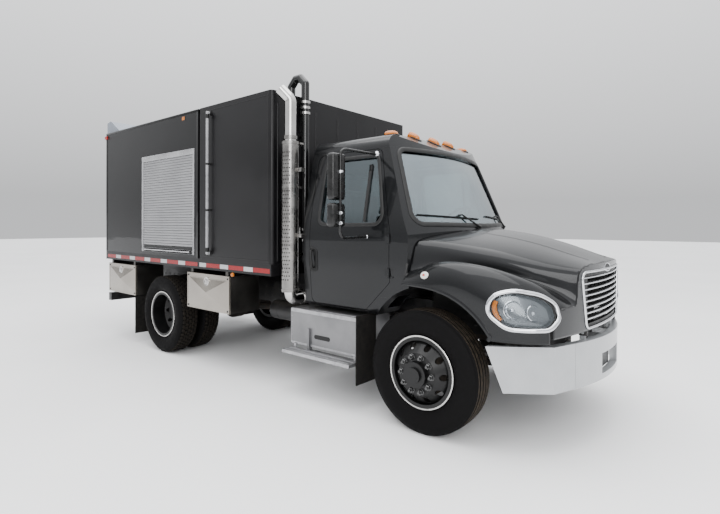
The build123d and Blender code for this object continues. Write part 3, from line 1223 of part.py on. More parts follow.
# Exhaust: a low pipe out to the side, a tall stack with a turned-out tip, and its heat shield
stack_x = behind(STACK_BEHIND)
with BuildPart() as exhaust:
    with BuildLine() as run:
        FilletPolyline(
            (stack_x, -RAIL_HALF_SPACING - SEAT_GAP, STACK_LOW_Z), (stack_x, -STACK_Y, STACK_LOW_Z), (stack_x, -STACK_Y, STACK_TOP),
            (stack_x - STACK_TIP_RUN / 2, -STACK_Y - STACK_TIP_RUN / 2, STACK_TOP + STACK_TIP_RISE),
            radius=STACK_BEND_RADIUS,
        )
    with BuildSketch(Plane(origin=run.line @ 0, z_dir=run.line % 0)):
        Circle(STACK_RADIUS)
    sweep(path=run.line)
    tip = Plane(origin=run.line @ 1, z_dir=run.line % 1)
    with Locations(tip.location):
        Cylinder(
            STACK_RADIUS - STACK_WALL, STACK_TIP_DEPTH, align=(Align.CENTER, Align.CENTER, Align.MAX),
            mode=Mode.SUBTRACT,
        )
save(exhaust, "exhaust")
with BuildPart() as stack_shield:
    with Locations((stack_x, -STACK_Y, (SHIELD_Z[0] + SHIELD_Z[1]) / 2)):
        Cylinder(SHIELD_RADIUS, SHIELD_Z[1] - SHIELD_Z[0])
        Cylinder(SHIELD_RADIUS - SHIELD_WALL, SHIELD_Z[1] - SHIELD_Z[0], mode=Mode.SUBTRACT)
    for up in (0, 1):
        ring_z = SHIELD_Z[0] + SHIELD_CLAMP_HEIGHT / 2 + up * (SHIELD_Z[1] - SHIELD_Z[0] - SHIELD_CLAMP_HEIGHT)
        with Locations((stack_x, -STACK_Y, ring_z)):
            Cylinder(SHIELD_RADIUS - SHIELD_WALL / 2, SHIELD_CLAMP_HEIGHT)
            Cylinder(STACK_RADIUS + SEAT_GAP, SHIELD_CLAMP_HEIGHT, mode=Mode.SUBTRACT)
save(stack_shield, "stack_shield")

# Step box on the right, fuel tank with the same two treads on the left, and two air tanks between
step_x = (behind(STEP_BOX_BEHIND[1]), behind(STEP_BOX_BEHIND[0]))
tread_x = (behind(STEP_TREAD_BEHIND[1]), behind(STEP_TREAD_BEHIND[0]))
for side, name, corner in ((-1, "step_box", STEP_BOX_CORNER), (1, "fuel_tank", FUEL_TANK_CORNER)):
    with BuildPart() as saddle:
        with BuildSketch(Plane.YZ.offset(step_x[0])):
            with Locations((side * (STEP_BOX_INNER_Y + STEP_BOX_FACE_Y) / 2, (STEP_BOX_Z[0] + STEP_BOX_Z[1]) / 2)):
                RectangleRounded(
                    STEP_BOX_FACE_Y - STEP_BOX_INNER_Y, STEP_BOX_Z[1] - STEP_BOX_Z[0], corner
                )
        extrude(amount=step_x[1] - step_x[0])
        block(
            tread_x, (side * (STEP_BOX_FACE_Y - corner), side * LOWER_STEP_OUT_Y),
            (LOWER_STEP_Z, LOWER_STEP_Z + STEP_TREAD_THICKNESS),
        )
        for end_x in (tread_x[0], tread_x[1] - STEP_TREAD_THICKNESS):
            block(
                (end_x, end_x + STEP_TREAD_THICKNESS),
                (side * (STEP_BOX_FACE_Y - corner), side * (STEP_BOX_FACE_Y + STEP_TREAD_LIP)),
                (LOWER_STEP_Z, (STEP_BOX_Z[0] + STEP_BOX_Z[1]) / 2),
            )
        for end_x in (step_x[0] + STEP_HANGER_WIDTH, step_x[1] - 2 * STEP_HANGER_WIDTH):
            block(
                (end_x, end_x + STEP_HANGER_WIDTH),
                (side * (RAIL_HALF_SPACING + SEAT_GAP), side * (STEP_BOX_INNER_Y + corner)),
                (STEP_BOX_Z[1] - STEP_HANGER_WIDTH, STEP_BOX_Z[1]),
            )
    save(saddle, name)

with BuildPart() as air_tanks:
    for side in (-1, 1):
        tank_x = (behind(AIR_TANK_BEHIND[1]), behind(AIR_TANK_BEHIND[0]))
        with Locations(Location(((tank_x[0] + tank_x[1]) / 2, side * AIR_TANK_Y, AIR_TANK_Z), (0, 90, 0))):
            Cylinder(AIR_TANK_RADIUS, tank_x[1] - tank_x[0])
        fillet(air_tanks.edges().filter_by(GeomType.CIRCLE).group_by(Axis.Y)[0 if side < 0 else -1], AIR_TANK_RADIUS / 3)
        for share in (1 / 4, 3 / 4):
            x = tank_x[0] + share * (tank_x[1] - tank_x[0])
            block(
                (x, x + STEP_HANGER_WIDTH / 2),
                (side * (RAIL_HALF_SPACING + SEAT_GAP), side * AIR_TANK_Y), (RAIL_BOTTOM, RAIL_BOTTOM + STEP_HANGER_WIDTH),
            )
save(air_tanks, "air_tanks")

# Deck: side rails with the reflective tape on them, beams across and sills on the frame
deck_x = (body_rear_x, behind(TANK_FRONT_BEHIND))
deck_length = deck_x[1] - deck_x[0]
beam_top = DECK_TOP - DECK_PLATE
rail_z = (DECK_TOP - DECK_RAIL_HEIGHT, DECK_TOP)
with BuildPart() as deck:
    block(deck_x, (-HALF_WIDTH, HALF_WIDTH), (beam_top, DECK_TOP))
    for side in (-1, 1):
        block(deck_x, (side * (HALF_WIDTH - DECK_RAIL_WIDTH), side * HALF_WIDTH), rail_z)
        block(
            deck_x, (side * (SILL_HALF_SPACING - SILL_WIDTH / 2), side * (SILL_HALF_SPACING + SILL_WIDTH / 2)),
            (RAIL_TOP + SEAT_GAP, beam_top),
        )
    for index in range(DECK_BEAM_COUNT):
        beam_x = deck_x[0] + index * (deck_length - DECK_BEAM_WIDTH) / (DECK_BEAM_COUNT - 1)
        block((beam_x, beam_x + DECK_BEAM_WIDTH), (-HALF_WIDTH, HALF_WIDTH), (rail_z[0], beam_top))
save(deck, "deck")

# Water tank: one tall box with rounded upright corners and a walkway hatch on top
tank_x = (behind(TANK_REAR_BEHIND) + PANEL_GAP, behind(TANK_FRONT_BEHIND))
hatch_x = (tank_x[0] + tank_x[1]) / 2
with BuildPart() as water_tank:
    with BuildSketch(Plane.XY.offset(DECK_TOP + SEAT_GAP)):
        with Locations(((tank_x[0] + tank_x[1]) / 2, 0)):
            RectangleRounded(tank_x[1] - tank_x[0], 2 * HALF_WIDTH, TANK_CORNER_RADIUS)
    extrude(amount=BODY_TOP - DECK_TOP - SEAT_GAP)
    with Locations((hatch_x, 0, BODY_TOP)):
        Cylinder(HATCH_RADIUS, HATCH_HEIGHT, align=(Align.CENTER, Align.CENTER, Align.MIN))
save(water_tank, "water_tank")

# Fill pipe: up the tank's front face, over and into its top
fill_x = deck_x[1] + FILL_PIPE_STANDOFF
fill_top = BODY_TOP + FILL_PIPE_RISE
with BuildPart() as fill_pipe:
    tube(
        (
            (fill_x, -FILL_PIPE_Y, DECK_TOP), (fill_x, -FILL_PIPE_Y, fill_top - FILL_PIPE_CHAMFER),
            (fill_x - FILL_PIPE_CHAMFER, -FILL_PIPE_Y, fill_top),
            (fill_x - 2 * FILL_PIPE_CHAMFER, -FILL_PIPE_Y, fill_top),
            (fill_x - 3 * FILL_PIPE_CHAMFER, -FILL_PIPE_Y, fill_top - FILL_PIPE_CHAMFER),
            (fill_x - 3 * FILL_PIPE_CHAMFER, -FILL_PIPE_Y, BODY_TOP + SEAT_GAP),
        ),
        FILL_PIPE_RADIUS,
    )
    for bracket_z in (TANK_BRACKET_Z[0], TANK_BRACKET_Z[1]):
        block(
            (deck_x[1] + SEAT_GAP, fill_x),
            (-FILL_PIPE_Y - FILL_PIPE_RADIUS, -FILL_PIPE_Y + FILL_PIPE_RADIUS),
            (bracket_z, bracket_z + TANK_BRACKET_HEIGHT),
        )
save(fill_pipe, "fill_pipe")

# Level tube: a sight tube on the tank's right side between two elbows
level_x = behind(LEVEL_TUBE_BEHIND)
level_y = -HALF_WIDTH - LEVEL_TUBE_STANDOFF
with BuildPart() as level_tube:
    tube(
        (
            (level_x, -HALF_WIDTH - SEAT_GAP, LEVEL_TUBE_Z[0]), (level_x, level_y, LEVEL_TUBE_Z[0]),
            (level_x, level_y, LEVEL_TUBE_Z[1]), (level_x, -HALF_WIDTH - SEAT_GAP, LEVEL_TUBE_Z[1]),
        ),
        LEVEL_TUBE_RADIUS,
    )
save(level_tube, "level_tube")

# Body behind the tank: side walls with shutter openings, roof, bulkheads and the open rear frame
body_x = (body_rear_x, behind(TANK_REAR_BEHIND))
floor_z = DECK_TOP + SEAT_GAP
roof_z = BODY_TOP - BODY_WALL
bulkhead_x = behind(BULKHEAD_BEHIND)
shutter_x = (behind(ROLLER_BEHIND[1]), behind(ROLLER_BEHIND[0]))
with BuildPart() as body_sides:
    for side in (-1, 1):
        outer, inner = side * HALF_WIDTH, side * (HALF_WIDTH - BODY_WALL)
        block(body_x, (inner, outer), (floor_z, roof_z - SEAT_GAP))
        block(shutter_x, (inner - side * OVERRUN, outer + side * OVERRUN), ROLLER_Z, Mode.SUBTRACT)
save(body_sides, "body_sides")
wall_y = HALF_WIDTH - BODY_WALL - SEAT_GAP
wall_top = roof_z
with BuildPart() as body_walls:
    block(body_x, (-HALF_WIDTH, HALF_WIDTH), (roof_z, BODY_TOP))
    for x in (body_x[1] - BODY_WALL, bulkhead_x):
        block((x, x + BODY_WALL), (-wall_y, wall_y), (floor_z, wall_top))
    block((body_x[0], body_x[0] + BODY_WALL), (-wall_y, wall_y), (floor_z, wall_top))
    block(
        (body_x[0] - OVERRUN, body_x[0] + BODY_WALL + OVERRUN),
        (-REAR_OPENING_HALF_WIDTH, REAR_OPENING_HALF_WIDTH), REAR_OPENING_Z, Mode.SUBTRACT,
    )
save(body_walls, "body_walls")

# Roller shutters, closed in their openings, with a bar along the bottom
with BuildPart() as roller_doors:
    for side in (-1, 1):
        face = side * (HALF_WIDTH - ROLLER_INSET)
        block(
            (shutter_x[0] + SEAT_GAP, shutter_x[1] - SEAT_GAP), (face, face - side * ROLLER_DEPTH),
            (ROLLER_Z[0] + SEAT_GAP, ROLLER_Z[1] - SEAT_GAP),
        )
        block(
            (shutter_x[0] + OVERRUN, shutter_x[1] - OVERRUN), (face, face + side * ROLLER_INSET),
            (ROLLER_Z[0] + SEAT_GAP, ROLLER_Z[0] + ROLLER_BAR_HEIGHT),
        )
save(roller_doors, "roller_doors")

# Visor: a hollow wedge on the roof over the rear opening
visor_hinge_x = behind(VISOR_HINGE_BEHIND)
visor_peak_x = behind(VISOR_PEAK_BEHIND)
visor_lip_x = -HALF_LENGTH
visor_top = BODY_TOP + VISOR_RISE
with BuildPart() as rear_visor:
    add(outline_across(
        (
            (visor_hinge_x, BODY_TOP + SEAT_GAP), (visor_peak_x, visor_top),
            (visor_lip_x, visor_top - VISOR_LIP_DROP), (visor_lip_x, visor_top - VISOR_LIP_DROP - VISOR_LIP_HEIGHT),
            (body_rear_x, BODY_TOP + SEAT_GAP),
        ),
        [VISOR_WALL / 2, CAB_SILL_RADIUS, VISOR_WALL, VISOR_WALL, VISOR_WALL / 2], -VISOR_HALF_WIDTH, VISOR_HALF_WIDTH,
    ))
    add(
        outline_across(
            (
                (visor_hinge_x - 8 * VISOR_WALL, BODY_TOP - OVERRUN), (visor_hinge_x - 8 * VISOR_WALL, BODY_TOP + 2 * VISOR_WALL),
                (visor_peak_x, visor_top - VISOR_WALL), (visor_lip_x + VISOR_WALL, visor_top - VISOR_LIP_DROP - VISOR_WALL),
                (visor_lip_x + VISOR_WALL, BODY_TOP - OVERRUN),
            ),
            [0] * 5, -VISOR_HALF_WIDTH + VISOR_WALL, VISOR_HALF_WIDTH - VISOR_WALL,
        ),
        mode=Mode.SUBTRACT,
    )
save(rear_visor, "rear_visor")

# Pump and its engine as one plain mass behind the shutters
with BuildPart() as pump_block:
    block(
        (behind(PUMP_BLOCK_BEHIND[1]), behind(PUMP_BLOCK_BEHIND[0])),
        (-PUMP_BLOCK_HALF_WIDTH, PUMP_BLOCK_HALF_WIDTH), (floor_z, floor_z + PUMP_BLOCK_HEIGHT),
    )
save(pump_block, "pump_block")

# Toolboxes under the deck: four hollow boxes, each with a door hinged along its bottom edge
box_outer_y = HALF_WIDTH - BOX_DOOR_THICKNESS
box_inner_y = HALF_WIDTH - BOX_DEPTH
box_spans = {
    "front": (behind(FRONT_BOX_BEHIND[1]), behind(FRONT_BOX_BEHIND[0])),
    "rear": (behind(REAR_BOX_BEHIND[1]), behind(REAR_BOX_BEHIND[0])),
}
with BuildPart() as toolboxes:
    for side in (-1, 1):
        for span in box_spans.values():
            block(span, (side * box_inner_y, side * (box_outer_y - SEAT_GAP)), (BOX_BOTTOM, BOX_TOP))
            block(
                (span[0] + BOX_WALL, span[1] - BOX_WALL),
                (side * (box_inner_y + BOX_WALL), side * HALF_WIDTH),
                (BOX_BOTTOM + BOX_WALL, BOX_TOP - BOX_WALL), Mode.SUBTRACT,
            )
            for x in (span[0] + BOX_HANGER_WIDTH, span[1] - 2 * BOX_HANGER_WIDTH):
                block(
                    (x, x + BOX_HANGER_WIDTH), (side * box_inner_y, side * (box_outer_y - SEAT_GAP)),
                    (BOX_TOP, rail_z[0] - SEAT_GAP),
                )
save(toolboxes, "toolboxes")
for side, side_name in ((-1, "right"), (1, "left")):
    for place, span in box_spans.items():
        with BuildPart() as box_door:
            block(
                span, (side * (box_outer_y + BOX_DOOR_REVEAL), side * (HALF_WIDTH)),
                (BOX_BOTTOM, BOX_TOP),
            )
        save(box_door, f"box_door_{place}_{side_name}")

# Mud flaps behind both axles
with BuildPart() as mud_flaps:
    for side in (-1, 1):
        block(
            (behind(REAR_FLAP_BEHIND) - FLAP_THICKNESS, behind(REAR_FLAP_BEHIND)),
            (side * REAR_FLAP_Y[0], side * REAR_FLAP_Y[1]), (REAR_FLAP_BOTTOM, BOX_BOTTOM - SEAT_GAP),
        )
        block(
            (behind(FRONT_FLAP_BEHIND) - FLAP_THICKNESS, behind(FRONT_FLAP_BEHIND)),
            (side * FRONT_FLAP_Y[0], side * FRONT_FLAP_Y[1]), FRONT_FLAP_Z,
        )
save(mud_flaps, "mud_flaps")

# Rear guard: a low beam on two legs off the rail ends
guard_x = (behind(UNDERRIDE_BEHIND) - UNDERRIDE_DEPTH / 2, behind(UNDERRIDE_BEHIND) + UNDERRIDE_DEPTH / 2)
with BuildPart() as rear_guard:
    block(guard_x, (-UNDERRIDE_HALF_WIDTH, UNDERRIDE_HALF_WIDTH), UNDERRIDE_Z)
    for side in (-1, 1):
        block(
            (guard_x[0], rail_rear_x - SEAT_GAP),
            (side * (UNDERRIDE_LEG_Y - UNDERRIDE_LEG_WIDTH / 2), side * (UNDERRIDE_LEG_Y + UNDERRIDE_LEG_WIDTH / 2)),
            (UNDERRIDE_Z[0], RAIL_TOP),
        )
save(rear_guard, "rear_guard")

# Hose reel on its stand in the open rear bay, with the hose wound on it
reel_x = behind(REEL_BEHIND)
with BuildPart() as reel_stand:
    for side in (-1, 1):
        post_y = (side * REEL_STAND_Y[0], side * REEL_STAND_Y[1])
        block(
            (reel_x - REEL_POST_HALF, reel_x + REEL_POST_HALF), post_y, (floor_z, REEL_Z + REEL_POST_HALF),
        )
        with Locations(Location((reel_x, (post_y[0] + post_y[1]) / 2, REEL_Z), (90, 0, 0))):
            Cylinder(REEL_SHAFT_RADIUS + REEL_BORE_CLEARANCE, 2 * REEL_POST_HALF, mode=Mode.SUBTRACT)
save(reel_stand, "reel_stand")
with BuildPart() as hose_reel:
    with Locations(Location((reel_x, 0, REEL_Z), (90, 0, 0))):
        Cylinder(REEL_SHAFT_RADIUS, 2 * REEL_SHAFT_END_Y)
        Cylinder(REEL_DRUM_RADIUS, 2 * REEL_HALF_WIDTH)
    for side in (-1, 1):
        flange_y = side * (REEL_HALF_WIDTH - REEL_FLANGE_THICKNESS / 2)
        with Locations(Location((reel_x, flange_y, REEL_Z), (90, 0, 0))):
            Cylinder(REEL_FLANGE_RADIUS, REEL_FLANGE_THICKNESS)
save(hose_reel, "hose_reel")
hose_half = REEL_HALF_WIDTH - REEL_FLANGE_THICKNESS - SEAT_GAP
with BuildPart() as hose_wrap:
    with Locations(Location((reel_x, 0, REEL_Z), (90, 0, 0))):
        Cylinder(HOSE_LAYERS_RADIUS, 2 * hose_half)
        Cylinder(REEL_DRUM_RADIUS + SEAT_GAP, 2 * hose_half, mode=Mode.SUBTRACT)
save(hose_wrap, "hose_wrap")


# Wheels: each rim and tyre is a profile turned about the wheel's own axle line
def tyre_profile(centre_y):
    """Places of a tyre's section as distance along the axle and distance from it."""
    return (
        (centre_y - BEAD_HALF_WIDTH, RIM_BARREL_RADIUS + SEAT_GAP), (centre_y - BEAD_HALF_WIDTH, BEAD_RADIUS),
        (centre_y - TYRE_HALF_WIDTH, SIDEWALL_RADIUS),
        (centre_y - TREAD_HALF_WIDTH, TYRE_RADIUS - SHOULDER_DROP), (centre_y - TREAD_HALF_WIDTH / 2, TYRE_RADIUS),
        (centre_y + TREAD_HALF_WIDTH / 2, TYRE_RADIUS), (centre_y + TREAD_HALF_WIDTH, TYRE_RADIUS - SHOULDER_DROP),
        (centre_y + TYRE_HALF_WIDTH, SIDEWALL_RADIUS), (centre_y + BEAD_HALF_WIDTH, BEAD_RADIUS),
        (centre_y + BEAD_HALF_WIDTH, RIM_BARREL_RADIUS + SEAT_GAP),
    )


def rim_profile(centre_y, disc_side):
    """A rim with a flat disc face set off to one side and a cone between the disc and the barrel."""
    low, high = centre_y - RIM_HALF_WIDTH, centre_y + RIM_HALF_WIDTH
    bore = RIM_BARREL_RADIUS - RIM_THICKNESS
    seat = BEAD_HALF_WIDTH + SEAT_GAP
    return (
        (low, bore), (low, RIM_FLANGE_RADIUS), (centre_y - seat, RIM_FLANGE_RADIUS),
        (centre_y - seat, RIM_BARREL_RADIUS), (centre_y + seat, RIM_BARREL_RADIUS),
        (centre_y + seat, RIM_FLANGE_RADIUS), (high, RIM_FLANGE_RADIUS), (high, bore),
    )


def disc_profile(centre_y, disc_side):
    face = centre_y + disc_side * DISC_OFFSET
    back = face - disc_side * DISC_THICKNESS
    edge = centre_y + disc_side * DISC_EDGE_OFFSET
    return (
        (back, 0), (back, DISC_FLAT_RADIUS), (edge, RIM_BARREL_RADIUS - RIM_THICKNESS),
        (edge + disc_side * DISC_THICKNESS, RIM_BARREL_RADIUS - RIM_THICKNESS),
        (face, DISC_FLAT_RADIUS), (face, 0),
    )


def turned(points, axle_x, side):
    """A solid turned about the axle line from places given as outward distance and radius."""
    with BuildSketch(Plane.YZ.offset(axle_x)) as section:
        with BuildLine():
            Polyline(*[(side * y, wheel_z + radius) for y, radius in points], close=True)
        make_face()
    axis = Axis((axle_x, 0, wheel_z), (0, 1, 0))
    return revolve(section.sketch, axis=axis, mode=Mode.PRIVATE)


def wheel_face(axle_x, side, face_y):
    """Hand holes through the disc, and nuts with their stud ends on its face."""
    with Locations(Location((axle_x, side * face_y, wheel_z), (90, 0, 0))):
        with PolarLocations(HAND_HOLE_CIRCLE, HAND_HOLE_COUNT):
            Cylinder(HAND_HOLE_RADIUS, 4 * RIM_HALF_WIDTH, mode=Mode.SUBTRACT)
    with Locations(Location((axle_x, side * (face_y + NUT_HEIGHT / 2), wheel_z), (90, 0, 0))):
        with PolarLocations(NUT_CIRCLE, NUT_COUNT):
            Cylinder(NUT_RADIUS, NUT_HEIGHT)
            Cylinder(STUD_RADIUS, NUT_HEIGHT + 2 * STUD_HEIGHT)


def hub_on_face(axle_x, side, steps):
    for radius, low_y, high_y in steps:
        with Locations(Location((axle_x, side * (low_y + high_y) / 2, wheel_z), (90, 0, 0))):
            Cylinder(radius, high_y - low_y)


front_face_y = FRONT_TYRE_Y + DISC_OFFSET
dual_y = (REAR_TRACK_Y - DISC_OFFSET, REAR_TRACK_Y + DISC_OFFSET)
for side, name in ((-1, "right"), (1, "left")):
    with BuildPart() as front_tyre:
        add(turned(tyre_profile(FRONT_TYRE_Y), FRONT_AXLE_X, side))
    save(front_tyre, f"front_tyre_{name}")
    with BuildPart() as front_rim:
        add(turned(rim_profile(FRONT_TYRE_Y, 1), FRONT_AXLE_X, side))
        add(turned(disc_profile(FRONT_TYRE_Y, 1), FRONT_AXLE_X, side))
        wheel_face(FRONT_AXLE_X, side, front_face_y)
        hub_on_face(FRONT_AXLE_X, side, (
            (FRONT_HUB_RADIUS, hub_back_y, front_face_y + FRONT_HUB_HEIGHT),
            (HUB_CAP_RADIUS, front_face_y, front_face_y + FRONT_HUB_HEIGHT + HUB_CAP_HEIGHT),
        ))
        with Locations(Location((FRONT_AXLE_X, side * (hub_back_y + HUB_BORE_DEPTH / 2), wheel_z), (90, 0, 0))):
            Cylinder(SPINDLE_RADIUS + SPINDLE_CLEARANCE, HUB_BORE_DEPTH, mode=Mode.SUBTRACT)
    save(front_rim, f"front_rim_{name}")
    with BuildPart() as rear_tyres:
        for y in dual_y:
            add(turned(tyre_profile(y), REAR_AXLE_X, side))
    save(rear_tyres, f"rear_tyres_{name}")
    with BuildPart() as rear_rims:
        for y, disc_side in zip(dual_y, (1, -1)):
            add(turned(rim_profile(y, disc_side), REAR_AXLE_X, side))
            add(turned(disc_profile(y, disc_side), REAR_AXLE_X, side))
        wheel_face(REAR_AXLE_X, side, REAR_TRACK_Y + DISC_THICKNESS)
        hub_on_face(REAR_AXLE_X, side, (
            (REAR_HUB_RADIUS, REAR_TRACK_Y - DISC_OFFSET, REAR_TRACK_Y + REAR_HUB_HEIGHT),
            (REAR_CAP_RADIUS, REAR_TRACK_Y, REAR_TRACK_Y + REAR_HUB_HEIGHT + REAR_CAP_HEIGHT),
        ))
        bore_y = (REAR_TRACK_Y - DISC_OFFSET - EYE_CLEARANCE, REAR_TRACK_Y + HUB_BORE_DEPTH + EYE_CLEARANCE)
        with Locations(Location((REAR_AXLE_X, side * (bore_y[0] + bore_y[1]) / 2, wheel_z), (90, 0, 0))):
            Cylinder(SPINDLE_RADIUS + SPINDLE_CLEARANCE, bore_y[1] - bore_y[0], mode=Mode.SUBTRACT)
    save(rear_rims, f"rear_rims_{name}")
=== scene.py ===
"""A sewer jetter truck, dressed piece by piece over its solid model, in metres."""

from math import atan2, ceil, cos, hypot, pi, radians, sin, sqrt, tau

import bmesh
import bpy
import numpy as np
from mathutils import Matrix, Vector
from mathutils.bvhtree import BVHTree


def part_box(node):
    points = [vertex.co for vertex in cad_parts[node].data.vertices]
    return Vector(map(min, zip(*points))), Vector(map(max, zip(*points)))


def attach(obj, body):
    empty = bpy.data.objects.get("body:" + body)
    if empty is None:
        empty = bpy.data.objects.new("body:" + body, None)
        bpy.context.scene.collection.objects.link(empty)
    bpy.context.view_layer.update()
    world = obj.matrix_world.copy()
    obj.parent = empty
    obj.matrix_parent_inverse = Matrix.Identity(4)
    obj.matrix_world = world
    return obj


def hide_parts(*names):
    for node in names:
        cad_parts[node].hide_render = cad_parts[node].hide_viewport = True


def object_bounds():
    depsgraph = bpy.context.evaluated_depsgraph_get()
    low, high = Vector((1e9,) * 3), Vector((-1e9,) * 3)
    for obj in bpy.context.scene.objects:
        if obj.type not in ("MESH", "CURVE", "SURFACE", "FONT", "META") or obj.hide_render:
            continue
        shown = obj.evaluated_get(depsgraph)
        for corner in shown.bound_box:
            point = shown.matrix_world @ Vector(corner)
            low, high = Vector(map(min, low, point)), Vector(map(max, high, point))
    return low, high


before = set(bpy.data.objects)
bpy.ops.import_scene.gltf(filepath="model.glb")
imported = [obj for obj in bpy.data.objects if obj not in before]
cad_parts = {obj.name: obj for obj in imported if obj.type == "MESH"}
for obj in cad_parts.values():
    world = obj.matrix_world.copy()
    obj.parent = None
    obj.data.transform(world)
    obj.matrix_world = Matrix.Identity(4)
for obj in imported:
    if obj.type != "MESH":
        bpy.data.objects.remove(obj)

solid_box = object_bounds()

# Frame rails and deck. Pressed steel channels under a welded deck, painted chassis black in one
# go, so the paint is thin on the edges, a little rough, and holds grey road dust on what faces up.
CHASSIS_BLACK = (0.009, 0.009, 0.010)
ROAD_DUST = (0.085, 0.075, 0.062)
FRONT_AXLE = (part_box("front_tyre_right")[0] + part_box("front_tyre_right")[1]).x / 2
REAR_AXLE = (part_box("rear_tyres_right")[0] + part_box("rear_tyres_right")[1]).x / 2
HUCK_BOLT = 0.014
BOLTS_IN_ROW, BOLT_PITCH = 46, 0.135


def bare_finish(name):
    """An empty material with its node tree and shader, ready for its sockets."""
    finish = bpy.data.materials.new(name)
    finish.use_nodes = True
    return finish, finish.node_tree, finish.node_tree.nodes["Principled BSDF"]


def ranged(tree, value, low, high, least=0.0, most=1.0):
    """A value between two levels, spread between two others."""
    spread = tree.nodes.new("ShaderNodeMapRange")
    for socket, level in zip(("From Min", "From Max", "To Min", "To Max"), (low, high, least, most)):
        spread.inputs[socket].default_value = level
    tree.links.new(value, spread.inputs["Value"])
    return spread.outputs["Result"]


def scaled(tree, mask, least, most):
    """A mask from 0 to 1, spread between two levels."""
    return ranged(tree, mask, 0, 1, least, most)


def mottle(tree, size, low, high, stretch=(1, 1, 1), detail=5.0):
    """Noise fixed to the truck, in patches of a size in metres, as a mask from 0 to 1."""
    place = tree.nodes.new("ShaderNodeTexCoord")
    fit = tree.nodes.new("ShaderNodeMapping")
    fit.inputs["Scale"].default_value = [one / size for one in stretch]
    grain = tree.nodes.new("ShaderNodeTexNoise")
    grain.inputs["Scale"].default_value = 1.0
    grain.inputs["Detail"].default_value = detail
    tree.links.new(place.outputs["Object"], fit.inputs["Vector"])
    tree.links.new(fit.outputs["Vector"], grain.inputs["Vector"])
    return ranged(tree, grain.outputs["Fac"], low, high)


def facing_up(tree):
    """A mask of what faces the sky, where dust settles."""
    face = tree.nodes.new("ShaderNodeNewGeometry")
    parts = tree.nodes.new("ShaderNodeSeparateXYZ")
    tree.links.new(face.outputs["Normal"], parts.inputs["Vector"])
    return ranged(tree, parts.outputs["Z"], 0.5, 1.0)


def by_mask(tree, mask, first, second):
    """A colour that goes from the first to the second as the mask does."""
    mix = tree.nodes.new("ShaderNodeMix")
    mix.data_type = "RGBA"
    for socket, colour in ((mix.inputs[6], first), (mix.inputs[7], second)):
        if isinstance(colour, bpy.types.NodeSocket):
            tree.links.new(colour, socket)
        else:
            socket.default_value = (*colour, 1)
    tree.links.new(mask, mix.inputs[0])
    return mix.outputs[2]


def times(tree, first, second):
    """Two masks multiplied."""
    product = tree.nodes.new("ShaderNodeMath")
    product.operation = "MULTIPLY"
    tree.links.new(first, product.inputs[0])
    tree.links.new(second, product.inputs[1])
    return product.outputs["Value"]


def raised(tree, shader, height, strength, distance, socket="Normal"):
    """Lets a mask lift the surface."""
    bump = tree.nodes.new("ShaderNodeBump")
    bump.inputs["Strength"].default_value = strength
    bump.inputs["Distance"].default_value = distance
    tree.links.new(height, bump.inputs["Height"])
    tree.links.new(bump.outputs["Normal"], shader.inputs[socket])


def coated(name, colour, worn, rough, patch=0.12, metal=0.0, coat=0.0, grit=0.0, dust=0.0):
    """A painted or plated finish: two close tones in patches, matching gloss, grit, and dust on top."""
    finish, tree, shader = bare_finish(name)
    patches = mottle(tree, patch, 0.35, 0.65)
    tone = by_mask(tree, patches, colour, worn)
    if dust:
        settled = times(tree, facing_up(tree), mottle(tree, 0.3, 0.3, 0.7))
        tone = by_mask(tree, scaled(tree, settled, 0, dust), tone, ROAD_DUST)
    tree.links.new(tone, shader.inputs["Base Color"])
    tree.links.new(scaled(tree, patches, *rough), shader.inputs["Roughness"])
    shader.inputs["Metallic"].default_value = metal
    shader.inputs["Coat Weight"].default_value = coat
    shader.inputs["Coat Roughness"].default_value = 0.05
    shader.inputs["Specular IOR Level"].default_value = 0.28
    if grit:
        raised(tree, shader, mottle(tree, 0.004, 0.2, 0.8, detail=3.0), grit, 0.0006)
    return finish


def dress(finish, *node_names):
    """Gives solids of the frame their finish."""
    for node_name in node_names:
        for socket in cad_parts[node_name].material_slots:
            socket.link = "OBJECT"
            socket.material = finish


def fit_piece(name, shape, finish, body, stands_for=(), crease=32):
    """Turns a drawn shape into a named piece of the truck, smooth between its creases."""
    mesh = bpy.data.meshes.new(name)
    bmesh.ops.recalc_face_normals(shape, faces=shape.faces)
    shape.to_mesh(mesh)
    shape.free()
    for one in finish if isinstance(finish, tuple) else (finish,):
        mesh.materials.append(one)
    mesh.shade_smooth()
    mesh.set_sharp_from_angle(angle=radians(crease))
    piece = bpy.data.objects.new(name, mesh)
    bpy.context.scene.collection.objects.link(piece)
    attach(piece, body)
    if stands_for:
        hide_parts(*stands_for)
    return piece


def band(shape, low, high, finish=0):
    """Faces between two rings of corners, which may fall together in a point."""
    for here in range(len(low)):
        after = (here + 1) % len(low)
        corners = list(dict.fromkeys((low[here], low[after], high[after], high[here])))
        if len(corners) > 2:
            shape.faces.new(corners).material_index = finish


def turned(shape, profile, centre, axle=(0, 1, 0), steps=48, finish_at=None, whole=True):
    """Turns a profile, given as (radius, distance along the axle), about an axle through a centre."""
    axle = Vector(axle).normalized()
    across = axle.orthogonal().normalized()
    square = axle.cross(across)
    turns = [tau * step / steps for step in range(steps)]
    rings = []
    for radius, along in profile:
        middle = Vector(centre) + axle * along
        if radius < 1e-6:
            rings.append([shape.verts.new(middle)] * steps)
        else:
            rings.append([shape.verts.new(middle + (across * cos(a) + square * sin(a)) * radius) for a in turns])
    pairs = list(zip(rings[:-1], rings[1:]))
    if whole and rings[0][0] is not rings[0][1] and rings[-1][0] is not rings[-1][1]:
        pairs.append((rings[-1], rings[0]))
    for row, (low, high) in enumerate(pairs):
        band(shape, low, high, finish_at(row) if finish_at else 0)


